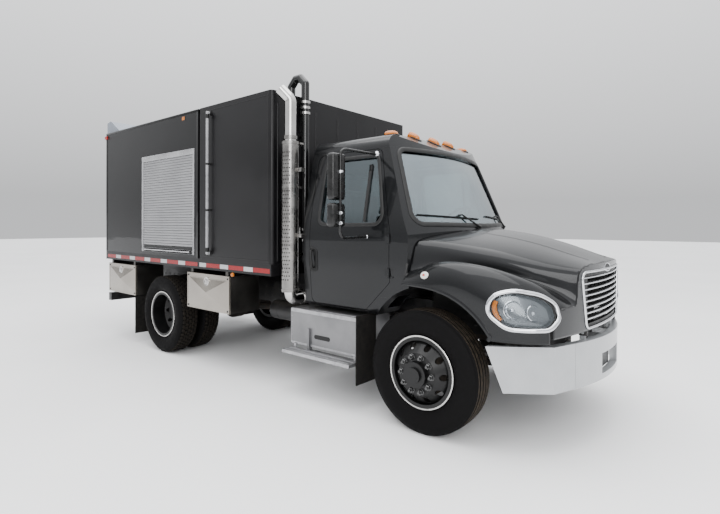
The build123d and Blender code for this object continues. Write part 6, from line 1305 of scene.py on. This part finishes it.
# Water tank. Folded aluminium panels sprayed satin charcoal, seam-welded, with pressed ribs on the
# front, weld beads round its sides, and a bolted hatch on top.
TANK_FRONT, TANK_REAR = 0.570, -0.800
RIB_YS = (-1.13, -0.56, -0.19, 0.19, 0.56, 1.13)
HATCH_CIRCLE, HATCH_BOLTS = 0.235, 12
dress(tank_satin, "water_tank")
tank_skin = skin_of("water_tank")
tank_ribs = bmesh.new()
bead = both_ways((0.012, -0.003), (0.010, 0.003), (0.004, 0.0055))
weld = both_ways((0.007, -0.002), (0.005, 0.0016), (0, 0.0024))
for y in RIB_YS:
    line = [(y, z / 100) for z in range(134, 312, 12)]
    trim_strip(tank_ribs, from_front(tank_skin, TANK_FRONT + 0.3, line), bead, closed=False)
for side in (-1, 1):
    for x, z, end_x, end_z in (
        (TANK_REAR + 0.01, 1.345, TANK_FRONT - 0.05, 1.345), (TANK_REAR + 0.01, 3.095, TANK_FRONT - 0.05, 3.095),
        (TANK_FRONT - 0.055, 1.345, TANK_FRONT - 0.055, 3.095), (TANK_REAR + 0.02, 1.345, TANK_REAR + 0.02, 3.095),
    ):
        ends = [Vector((x, side * SIDE_REACH, z)), Vector((end_x, side * SIDE_REACH, end_z))]
        landed = laid_on(tank_skin, closely(ends, 0.1, closed=False), Vector((0, -side, 0)))
        trim_strip(tank_ribs, landed, weld, closed=False)
hatch = Vector(((TANK_FRONT + TANK_REAR) / 2, 0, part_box("water_tank")[1].z - 0.012))
for bolt in range(HATCH_BOLTS):
    at = tau * bolt / HATCH_BOLTS
    hex_nut(tank_ribs, hatch + Vector((cos(at), sin(at), 0)) * HATCH_CIRCLE, (0, 0, 1), 0.011, 0.010)
fit_piece("tank_ribs", tank_ribs, tank_satin, "chassis", crease=50)

# Fill pipe and level tube. A black riser with a chromed coupling and cap at each joint, for a
# hydrant hose, and a clear sight tube in black elbows up the tank's right side.
FILL = Vector((0.632, -0.790, 0))
TUBE_Y, TUBE_RADIUS = -1.261, 0.0175
pipe_gloss = coated("pipe_gloss", (0.004, 0.004, 0.0045), (0.007, 0.007, 0.007), (0.12, 0.24), patch=0.1, coat=0.4)
sight_plastic = coated("sight_plastic", (0.20, 0.20, 0.21), (0.28, 0.28, 0.29), (0.14, 0.24), patch=0.1, coat=0.7)
dress(pipe_gloss, "fill_pipe")
dress(sight_plastic, "level_tube")
fittings = bmesh.new()
for lowest, outer, half, flat in ((1.56, 0.054, 0.016, 0.012), (2.96, 0.056, 0.018, 0.013)):
    for z in (lowest, lowest + 0.06, lowest + 0.12):
        collar(fittings, FILL + Vector((0, 0, z)), (0, 0, 1), 0.0455, outer, half, flat, 36)
for side in (-1, 1):
    lug = [FILL + Vector((0, side * out, z)) for out, z in ((0.052, 1.59), (0.075, 1.60), (0.075, 1.70))]
    bent_bar(fittings, lug, 0.006, 0.01, 8)
fit_piece("fill_couplings", fittings, polished, "chassis")
tube_low, tube_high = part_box("level_tube")
tube_x = (tube_low.x + tube_high.x) / 2
elbow = ((TUBE_RADIUS, 0.0), (0.0225, 0.004), (0.0225, 0.045), (TUBE_RADIUS, 0.049))
elbows = bmesh.new()
for z, way in ((tube_low.z, 1), (tube_high.z, -1)):
    turned(elbows, elbow, (tube_x, TUBE_Y, z + way * 0.036), (0, 0, way), 24)
    hex_nut(elbows, (tube_x, -1.2192, z + way * 0.017), (0, -1, 0), 0.025, 0.016)
for z in (1.90, 2.45):
    collar(elbows, (tube_x, TUBE_Y, z), (0, 0, 1), TUBE_RADIUS, 0.0205, 0.012, 0.010, 24)
    plate(elbows, (tube_x - 0.030, -1.246, z - 0.010), (tube_x + 0.030, -1.2185, z + 0.010), 0.003)
fit_piece("level_elbows", elbows, black_moulding, "chassis")

# Body. Flat aluminium sheets bonded over a welded frame and finished in gloss black, so they
# mirror what stands beside the truck in slow waves, with cap rails, corner posts and rivets.
BODY_SIDE, BODY_FRONT, BODY_REAR = 1.219, -0.805, -3.415
body_gloss = lacquer("body_gloss", (0.0022, 0.0022, 0.0025), (0.0045, 0.0045, 0.005), 0.010)
dress(body_gloss, "body_sides", "body_walls")
rails = bmesh.new()
for side in (-1, 1):
    y = side * BODY_SIDE
    for low_x, high_x, low_z, high_z in (
        (BODY_REAR + 0.002, BODY_FRONT - 0.002, 3.120, 3.149), (BODY_FRONT - 0.034, BODY_FRONT - 0.001, 1.312, 3.118),
        (BODY_REAR + 0.001, BODY_REAR + 0.042, 1.312, 3.118),
    ):
        plate(rails, (low_x, y - 0.004, low_z), (high_x, y + 0.004, high_z), 0.003)
    rivet_row(rails, (-2.300, y, 1.40), (-2.300, y, 3.08), 15, (0, side, 0), 0.005)
    rivet_row(rails, (BODY_REAR + 0.08, y, 3.06), (BODY_FRONT - 0.08, y, 3.06), 24, (0, side, 0), 0.005)
fit_piece("body_rails", rails, body_gloss, "chassis")

# Roller shutters. Anodised aluminium slats that hook into each other, in side channels under a
# head rail, with a full-width lift bar and a black catch at each end along the bottom.
SHUTTER_REAR, SHUTTER_FRONT = -2.240, -0.902
SHUTTER_LOW, SHUTTER_HIGH = 1.350, 2.672
SLATS = 35
SLAT_SECTION = ((0.02, 0.000), (0.10, 0.0050), (0.30, 0.0078), (0.70, 0.0078), (0.88, 0.0050), (0.92, 0.000))
shutter_slats = coated(
    "shutter_slats", (0.25, 0.25, 0.258), (0.29, 0.29, 0.298), (0.30, 0.42),
    patch=0.4, metal=0.45, coat=0.15, grit=0.04,
)
shutter_frame = coated("shutter_frame", (0.42, 0.42, 0.43), (0.50, 0.50, 0.51), (0.22, 0.34), patch=0.3, metal=0.7)
catch_black = coated("catch_black", (0.008, 0.008, 0.008), (0.014, 0.014, 0.014), (0.3, 0.45), patch=0.02)
dress(black_moulding, "roller_doors")
pitch = (SHUTTER_HIGH - 0.066 - SHUTTER_LOW - 0.060) / SLATS
slat_line = [
    (out, SHUTTER_LOW + 0.060 + (slat + share) * pitch) for slat in range(SLATS) for share, out in SLAT_SECTION
]
for side, side_name in SIDES:
    face = side * (BODY_SIDE - 0.0125)
    proud = face + side * 0.0130 + 0.0001
    slats = bmesh.new()
    rear_end, front_end = [
        [slats.verts.new((x, face + side * out, z)) for out, z in slat_line]
        for x in (SHUTTER_REAR + 0.030, SHUTTER_FRONT - 0.030)
    ]
    for low in range(len(slat_line) - 1):
        slats.faces.new((rear_end[low], front_end[low], front_end[low + 1], rear_end[low + 1]))
    fit_piece(f"shutter_slats_{side_name}", slats, shutter_slats, "chassis", crease=35)
    surround = bmesh.new()
    head_low, head_high = SHUTTER_HIGH - 0.066, SHUTTER_HIGH + 0.006
    slab(surround, (SHUTTER_REAR - 0.004, face - 0.004, head_low), (SHUTTER_FRONT + 0.004, proud, head_high), 0.003)
    for x in (SHUTTER_REAR - 0.004, SHUTTER_FRONT - 0.030):
        slab(surround, (x, face - 0.004, SHUTTER_LOW - 0.002), (x + 0.034, proud, SHUTTER_HIGH - 0.064), 0.003)
    sill_low = (SHUTTER_REAR + 0.028, face - 0.003, SHUTTER_LOW + 0.002)
    slab(surround, sill_low, (SHUTTER_FRONT - 0.028, face + side * 0.0125, SHUTTER_LOW + 0.055), 0.003)
    lift_bar = [
        (x, face + side * out, SHUTTER_LOW + 0.030) for x, out in (
            (SHUTTER_REAR + 0.10, 0.012), (SHUTTER_REAR + 0.10, 0.034),
            (SHUTTER_FRONT - 0.10, 0.034), (SHUTTER_FRONT - 0.10, 0.012),
        )
    ]
    bent_bar(surround, lift_bar, 0.009, 0.02, 12)
    fit_piece(f"shutter_frame_{side_name}", surround, shutter_frame, "chassis")
    catches = bmesh.new()
    for x in (SHUTTER_REAR + 0.060, SHUTTER_FRONT - 0.120):
        plate(catches, (x, face, SHUTTER_LOW + 0.008), (x + 0.060, face + side * 0.024, SHUTTER_LOW + 0.050), 0.006, 3)
    fit_piece(f"shutter_catches_{side_name}", catches, catch_black, "chassis")

# Rear visor. A folded aluminium awning over the rear opening, sprayed light grey-blue, on a piano
# hinge with a row of rivets along it.
visor_grey = coated(
    "visor_grey", (0.20, 0.225, 0.265), (0.235, 0.262, 0.305), (0.28, 0.40), patch=0.4, metal=0.2, coat=0.35, grit=0.05,
)
dress(visor_grey, "rear_visor")
hinge_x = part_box("rear_visor")[1].x - 0.012
visor_trim = bmesh.new()
pin = ((0.007, -1.14), (0.007, 1.14), (0.0001, 1.14))
turned(visor_trim, pin, (hinge_x, 0, 3.158), (0, 1, 0), 12, whole=False)
for knuckle in range(-11, 12):
    collar(visor_trim, (hinge_x, knuckle * 0.1, 3.158), (0, 1, 0), 0.0085, 0.0095, 0.035, 0.033, 12)
rivet_row(visor_trim, (hinge_x - 0.038, -1.12, 3.192), (hinge_x - 0.038, 1.12, 3.192), 20, (0, 0, 1), 0.005)
fit_piece("visor_hinge", visor_trim, shutter_frame, "chassis")

# Pump and radiator. The jetting pump and its engine stand behind the shutters as one shrouded
# block of black-painted steel, and the radiator stands in a black frame behind the grille.
dress(axle_black, "pump_block", "radiator")

# Toolboxes. Brushed stainless boxes bolted under the deck, each door pressed with a shallow
# diamond inside a flat border, on a full-length hinge, with a round paddle latch at the top.
BOX_FACE = 1.219
DOOR_BORDER, PRESS_EDGE, PRESS_RISE = 0.046, 0.014, 0.024
LATCH = ((0.052, -0.004), (0.052, 0.014), (0.047, 0.018), (0.038, 0.017), (0.036, 0.010), (0.0001, 0.010))
BOX_LAMP = ((0.024, -0.004), (0.024, 0.006), (0.020, 0.014), (0.0001, 0.017))


def oblong(low, high, inset):
    """The four corners, in x and z, of a box's side drawn in from its edges."""
    near, far, foot, top = low.x + inset, high.x - inset, low.z + inset, high.z - inset
    return (near, foot), (far, foot), (far, top), (near, top)


door_steel = coated(
    "door_steel", (0.28, 0.255, 0.225), (0.36, 0.335, 0.295), (0.16, 0.28), patch=0.5, metal=0.85, grit=0.04,
)
box_steel = coated(
    "box_steel", (0.05, 0.048, 0.045), (0.09, 0.086, 0.08), (0.30, 0.45), patch=0.3, metal=0.9, grit=0.1, dust=0.4,
)
dress(box_steel, "toolboxes")
for side, side_name in SIDES:
    for place in ("front", "rear"):
        node, body = f"box_door_{place}_{side_name}", f"toolbox_lid_{place}_{side_name}"
        dress(door_steel, node)
        low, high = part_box(node)
        y = side * BOX_FACE
        centre = Vector(((low.x + high.x) / 2, y + side * PRESS_RISE, (low.z + high.z) / 2))
        press = bmesh.new()
        edge, rim = [
            [press.verts.new((x, y + side * out, z)) for x, z in oblong(low, high, inset)]
            for inset, out in ((DOOR_BORDER, 0.0002), (DOOR_BORDER + PRESS_EDGE, 0.0012))
        ]
        band(press, edge, rim)
        band(press, rim, [press.verts.new(centre)] * 4)
        outer, inner = oblong(low, high, 0.002), oblong(low, high, 0.020)
        border = (
            (outer[0], (outer[1][0], inner[1][1])), ((outer[0][0], inner[3][1]), outer[2]),
            ((outer[0][0], inner[0][1] - 0.002), (inner[0][0], inner[3][1] + 0.002)),
            ((inner[1][0], inner[0][1] - 0.002), (outer[1][0], inner[3][1] + 0.002)),
        )
        for (low_x, low_z), (high_x, high_z) in border:
            plate(press, (low_x, y - 0.002, low_z), (high_x, y + 0.002, high_z), 0.0012, 1)
        fit_piece(f"door_press_{place}_{side_name}", press, door_steel, body, crease=4)
        latch = bmesh.new()
        middle = Vector((centre.x, y, high.z - 0.085))
        turned(latch, LATCH, middle, (0, side, 0), 36, whole=False)
        paddle = [middle + Vector((x, side * out, z)) for x, out, z in ((-0.012, 0.008, -0.030), (0.012, 0.018, 0.026))]
        plate(latch, *paddle, 0.003)
        fit_piece(f"door_latch_{place}_{side_name}", latch, polished, body)
        bolts = bmesh.new()
        for x in (low.x + 0.028, high.x - 0.028):
            for z in (low.z + 0.030, high.z - 0.030):
                hex_nut(bolts, (x, y, z), (0, side, 0), 0.009, 0.007)
        fit_piece(f"door_bolts_{place}_{side_name}", bolts, chassis_black, body)
box_lamps = bmesh.new()
for side in (-1, 1):
    turned(box_lamps, BOX_LAMP, (-0.10, side * BODY_SIDE, 1.158), (0, side, 0), 24, whole=False)
fit_piece("deck_side_lamps", box_lamps, amber_lens, "chassis")

# Flaps and rear guard. Thick black rubber sheets bolted under steel bars behind the wheels, and a
# square steel guard beam across the tail with reflective tape on it.
GUARD_TAPE_HALF = 1.17
flap_rubber = rubber("flap_rubber", (0.007, 0.007, 0.007), (0.022, 0.020, 0.018), 0.4)
dress(flap_rubber, "mud_flaps")
flap_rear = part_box("mud_flaps")[0].x
flap_bolts = bmesh.new()
for side in (-1, 1):
    for bolt in range(5):
        hex_nut(flap_bolts, (flap_rear - 0.001, side * (0.70 + bolt * 0.115), 0.93), (-1, 0, 0), 0.011, 0.009)
fit_piece("flap_bolts", flap_bolts, chassis_black, "chassis")
guard_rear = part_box("rear_guard")[0].x
guard_tape = bmesh.new()
for start, end, finish in tape_lengths(2 * GUARD_TAPE_HALF):
    low = (guard_rear - TAPE_HALF_THICKNESS, start - GUARD_TAPE_HALF, 0.572)
    high = (guard_rear + TAPE_HALF_THICKNESS, end - GUARD_TAPE_HALF, 0.622)
    plate(guard_tape, low, high, 0.0003, 1, finish)
fit_piece("guard_tape", guard_tape, (tape_red, tape_white), "chassis")

# Hose reel. A welded steel drum between flat discs, sprayed red, on a black channel stand, wound
# full with ribbed layers of blue jetting hose.
REEL_CENTRE = Vector((-2.930, 0, 2.030))
HOSE_LAYER, HOSE_TURNS, HOSE_HALF = 0.360, 29, 0.466
reel_paint = coated(
    "reel_paint", (0.30, 0.020, 0.014), (0.40, 0.030, 0.020), (0.22, 0.36), patch=0.3, coat=0.4, grit=0.06, dust=0.15,
)
hose_blue = coated("hose_blue", (0.012, 0.045, 0.16), (0.020, 0.060, 0.20), (0.42, 0.6), patch=0.2, grit=0.15, dust=0.1)
dress(reel_paint, "hose_reel")
dress(chassis_black, "reel_stand")
winding = bmesh.new()
turn_pitch = 2 * HOSE_HALF / HOSE_TURNS
wound = [(HOSE_LAYER - 0.075, -HOSE_HALF)]
for turn in range(HOSE_TURNS):
    middle, half = (turn + 0.5) * turn_pitch - HOSE_HALF, turn_pitch / 2
    for at in (pi * (step + 0.5) / 6 for step in range(6)):
        wound.append((HOSE_LAYER - half + half * sin(at), middle - half * cos(at)))
wound.append((HOSE_LAYER - 0.075, HOSE_HALF))
turned(winding, wound, REEL_CENTRE, (0, 1, 0), 72)
fit_piece("hose_windings", winding, hose_blue, "reel_body", ("hose_wrap",), crease=50)
reel_trim = bmesh.new()
reel_low, reel_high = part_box("hose_reel")
reel_radius = (reel_high.z - reel_low.z) / 2
for side in (-1, 1):
    disc = REEL_CENTRE + Vector((0, side * 0.489, 0))
    collar(reel_trim, disc, (0, 1, 0), reel_radius - 0.012, reel_radius - 0.001, 0.009, 0.006, 64)
    for at in (tau * bolt / 8 for bolt in range(8)):
        place = REEL_CENTRE + Vector((0.115 * cos(at), side * 0.495, 0.115 * sin(at)))
        hex_nut(reel_trim, place, (0, side, 0), 0.012, 0.012)
fit_piece("reel_rims", reel_trim, reel_paint, "reel_body")

# Seats. Two high-backed driver's seats of foam under grey woven cloth, pulled in along sewn
# channels, each on a black steel box.
SEAT_VOXEL, SEAT_SWELL = 0.015, 0.026
SEAT_Y, SEAT_HALF_WIDTH = 0.500, 0.230
CHANNELS, CHANNEL_HALF_WIDTH, CHANNEL_DEPTH = (-0.10, 0.10), 0.020, 0.016
seat_cloth, cloth_tree, cloth_shader = bare_finish("seat_cloth")
warp, weft = [mottle(cloth_tree, 0.004, 0.3, 0.7, stretch) for stretch in ((1, 0.2, 0.2), (0.2, 1, 1))]
weave = times(cloth_tree, warp, weft)
thread = by_mask(cloth_tree, weave, (0.030, 0.031, 0.034), (0.065, 0.067, 0.072))
cloth_tree.links.new(thread, cloth_shader.inputs["Base Color"])
cloth_tree.links.new(scaled(cloth_tree, weave, 0.75, 0.95), cloth_shader.inputs["Roughness"])
cloth_shader.inputs["Sheen Weight"].default_value = 0.3
raised(cloth_tree, cloth_shader, weave, 0.5, 0.001)


def sewn_pad(name, low, high, out):
    """A foam pad under cloth: a block remeshed, swollen by pressure, then stitched in along channels."""
    block = bmesh.new()
    plate(block, low, high, 0.030, 3)
    mesh = bpy.data.meshes.new(name)
    block.to_mesh(mesh)
    block.free()
    mesh.materials.append(seat_cloth)
    pad = bpy.data.objects.new(name, mesh)
    bpy.context.scene.collection.objects.link(pad)
    bpy.context.view_layer.objects.active = pad
    pad.select_set(True)
    fine = pad.modifiers.new("fine", "REMESH")
    fine.mode = "VOXEL"
    fine.voxel_size = SEAT_VOXEL
    bpy.ops.object.modifier_apply(modifier=fine.name)
    start = [vertex.co.copy() for vertex in pad.data.vertices]
    cover = pad.modifiers.new("cover", "CLOTH")
    cover.settings.use_pressure = True
    cover.settings.uniform_pressure_force = 4
    cover.settings.effector_weights.gravity = 0
    for frame_number in range(1, 21):
        bpy.context.scene.frame_set(frame_number)
    bpy.ops.object.modifier_apply(modifier=cover.name)
    bpy.context.scene.frame_set(1)
    for vertex, was in zip(pad.data.vertices, start):
        move = vertex.co - was
        if move.length > SEAT_SWELL:
            vertex.co = was + move.normalized() * SEAT_SWELL
    finer = pad.modifiers.new("finer", "SUBSURF")
    finer.levels = 1
    bpy.ops.object.modifier_apply(modifier=finer.name)
    middle, out = (Vector(low) + Vector(high)) / 2, Vector(out)
    for vertex in pad.data.vertices:
        if (vertex.co - middle).dot(out) > 0:
            near = min(abs(vertex.co.y - middle.y - channel) for channel in CHANNELS)
            vertex.co -= out * CHANNEL_DEPTH * max(0, 1 - (near / CHANNEL_HALF_WIDTH) ** 2) ** 2
    pad.data.shade_smooth()
    pad.select_set(False)
    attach(pad, "chassis")
    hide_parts("seats")


seat_low, seat_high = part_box("seats")
seat_bases = bmesh.new()
for side, side_name in SIDES:
    y = side * SEAT_Y
    near, far = y - SEAT_HALF_WIDTH, y + SEAT_HALF_WIDTH
    cushion = (seat_low.x + 0.13, near, 1.352), (seat_high.x - 0.020, far, 1.478)
    sewn_pad(f"seat_cushion_{side_name}", *cushion, (0, 0, 1))
    back = (seat_low.x + 0.020, near, 1.500), (seat_low.x + 0.112, far, seat_high.z - 0.025)
    sewn_pad(f"seat_back_{side_name}", *back, (1, 0, 0))
    plate(seat_bases, (seat_low.x + 0.06, y - 0.180, 1.078), (seat_high.x - 0.06, y + 0.180, 1.345), 0.008)
    for x in (seat_low.x + 0.05, seat_high.x - 0.11):
        plate(seat_bases, (x, y - 0.200, 1.330), (x + 0.06, y + 0.200, 1.352))
    strut = ((0.10, -0.22, 1.335), (0.035, -0.215, 1.345), (0.03, -0.215, 1.62))
    bent_bar(seat_bases, [(seat_low.x + x, y + across, z) for x, across, z in strut], 0.012, 0.03)
fit_piece("seat_bases", seat_bases, chassis_black, "chassis")

# Dashboard. Moulded dark grey plastic with a soft grain, round dials with pale faces in black
# rims, and slatted air vents.
DASH_START_X = 1.2
DIAL_YS, VENT_YS = (0.28, 0.37, 0.62, 0.71, -0.30, -0.60), (-0.45, -0.10, 0.10, 0.82)
interior_grey = coated(
    "interior_grey", (0.026, 0.026, 0.028), (0.036, 0.036, 0.038), (0.45, 0.62), patch=0.2, grit=0.25,
)
dial_face = coated("dial_face", (0.35, 0.35, 0.34), (0.42, 0.42, 0.41), (0.3, 0.4), patch=0.02)
dress(interior_grey, "dashboard")
dash_skin = skin_of("dashboard")
dials = bmesh.new()
dial_faces = bmesh.new()
for spot, out in from_front(dash_skin, DASH_START_X, [(y, 1.640) for y in DIAL_YS], 1):
    turned(dials, ((0.036, -0.004), (0.036, 0.008), (0.031, 0.008), (0.029, 0.001)), spot, out, 24)
    turned(dial_faces, ((0.029, 0.002), (0.0001, 0.002)), spot, out, 24, whole=False)
slats = [(y, 1.610 + slat * 0.012) for y in VENT_YS for slat in range(5)]
for spot, out in from_front(dash_skin, DASH_START_X, slats, 1):
    plate(dials, spot + Vector((-0.006, -0.05, -0.003)), spot + Vector((0.003, 0.05, 0.003)), 0.001, 1)
fit_piece("dash_dials", dials, black_moulding, "chassis")
fit_piece("dial_faces", dial_faces, dial_face, "chassis")

# Studio. A pale seamless floor under an even white sky, one broad soft lamp overhead and one at
# the right front, and the camera by the right front corner at standing height.
HORIZON_LIGHT = 0.75
ZENITH_LIGHT = 2.4
floor_mesh = bpy.data.meshes.new("studio_floor")
floor_mesh.from_pydata([(-60, -60, 0), (60, -60, 0), (60, 60, 0), (-60, 60, 0)], [], [(0, 1, 2, 3)])
studio_floor = bpy.data.objects.new("studio_floor", floor_mesh)
bpy.context.scene.collection.objects.link(studio_floor)
floor_mesh.materials.append(coated("floor_white", (0.86, 0.86, 0.86), (0.9, 0.9, 0.9), (0.85, 0.95), patch=3.0))

sky = bpy.data.worlds.new("studio_sky")
bpy.context.scene.world = sky
sky.use_nodes = True
sky_tree = sky.node_tree
backdrop = sky_tree.nodes["Background"]
look = sky_tree.nodes.new("ShaderNodeTexCoord")
height = sky_tree.nodes.new("ShaderNodeSeparateXYZ")
sky_tree.links.new(look.outputs["Generated"], height.inputs["Vector"])
dome = ranged(sky_tree, height.outputs["Z"], 0.05, 0.75, HORIZON_LIGHT, ZENITH_LIGHT)
sky_tree.links.new(dome, backdrop.inputs["Strength"])
backdrop.inputs["Color"].default_value = (0.97, 0.98, 1.0, 1)

for lamp_name, power, size, place, aim in (
    ("overhead_soft_lamp", 900, 9, (1.0, -1.0, 9.5), (0, 0, 1)),
    ("front_soft_lamp", 500, 5, (8.0, -8.0, 5.0), (1.5, 0, 1.2)),
):
    soft_lamp = bpy.data.lights.new(lamp_name, "AREA")
    soft_lamp.energy = power
    soft_lamp.size = size
    stand = bpy.data.objects.new(lamp_name, soft_lamp)
    stand.location = place
    stand.rotation_euler = (Vector(aim) - Vector(place)).to_track_quat("-Z", "Y").to_euler()
    bpy.context.scene.collection.objects.link(stand)

lens = bpy.data.cameras.new("camera")
lens.lens = 24.3
lens.sensor_width = 36
lens.shift_x = 0.0092
lens.shift_y = -0.0404
camera = bpy.data.objects.new("camera", lens)
facing = Matrix(((0.7627, 0.6468, 0.0037), (-0.0068, 0.0023, 0.99997), (0.6468, -0.7627, 0.0062)))
camera.matrix_world = Matrix.Translation((FRONT_AXLE + 2.1636, -4.5492, 1.7307)) @ facing.transposed().to_4x4()
bpy.context.scene.collection.objects.link(camera)
bpy.context.scene.camera = camera
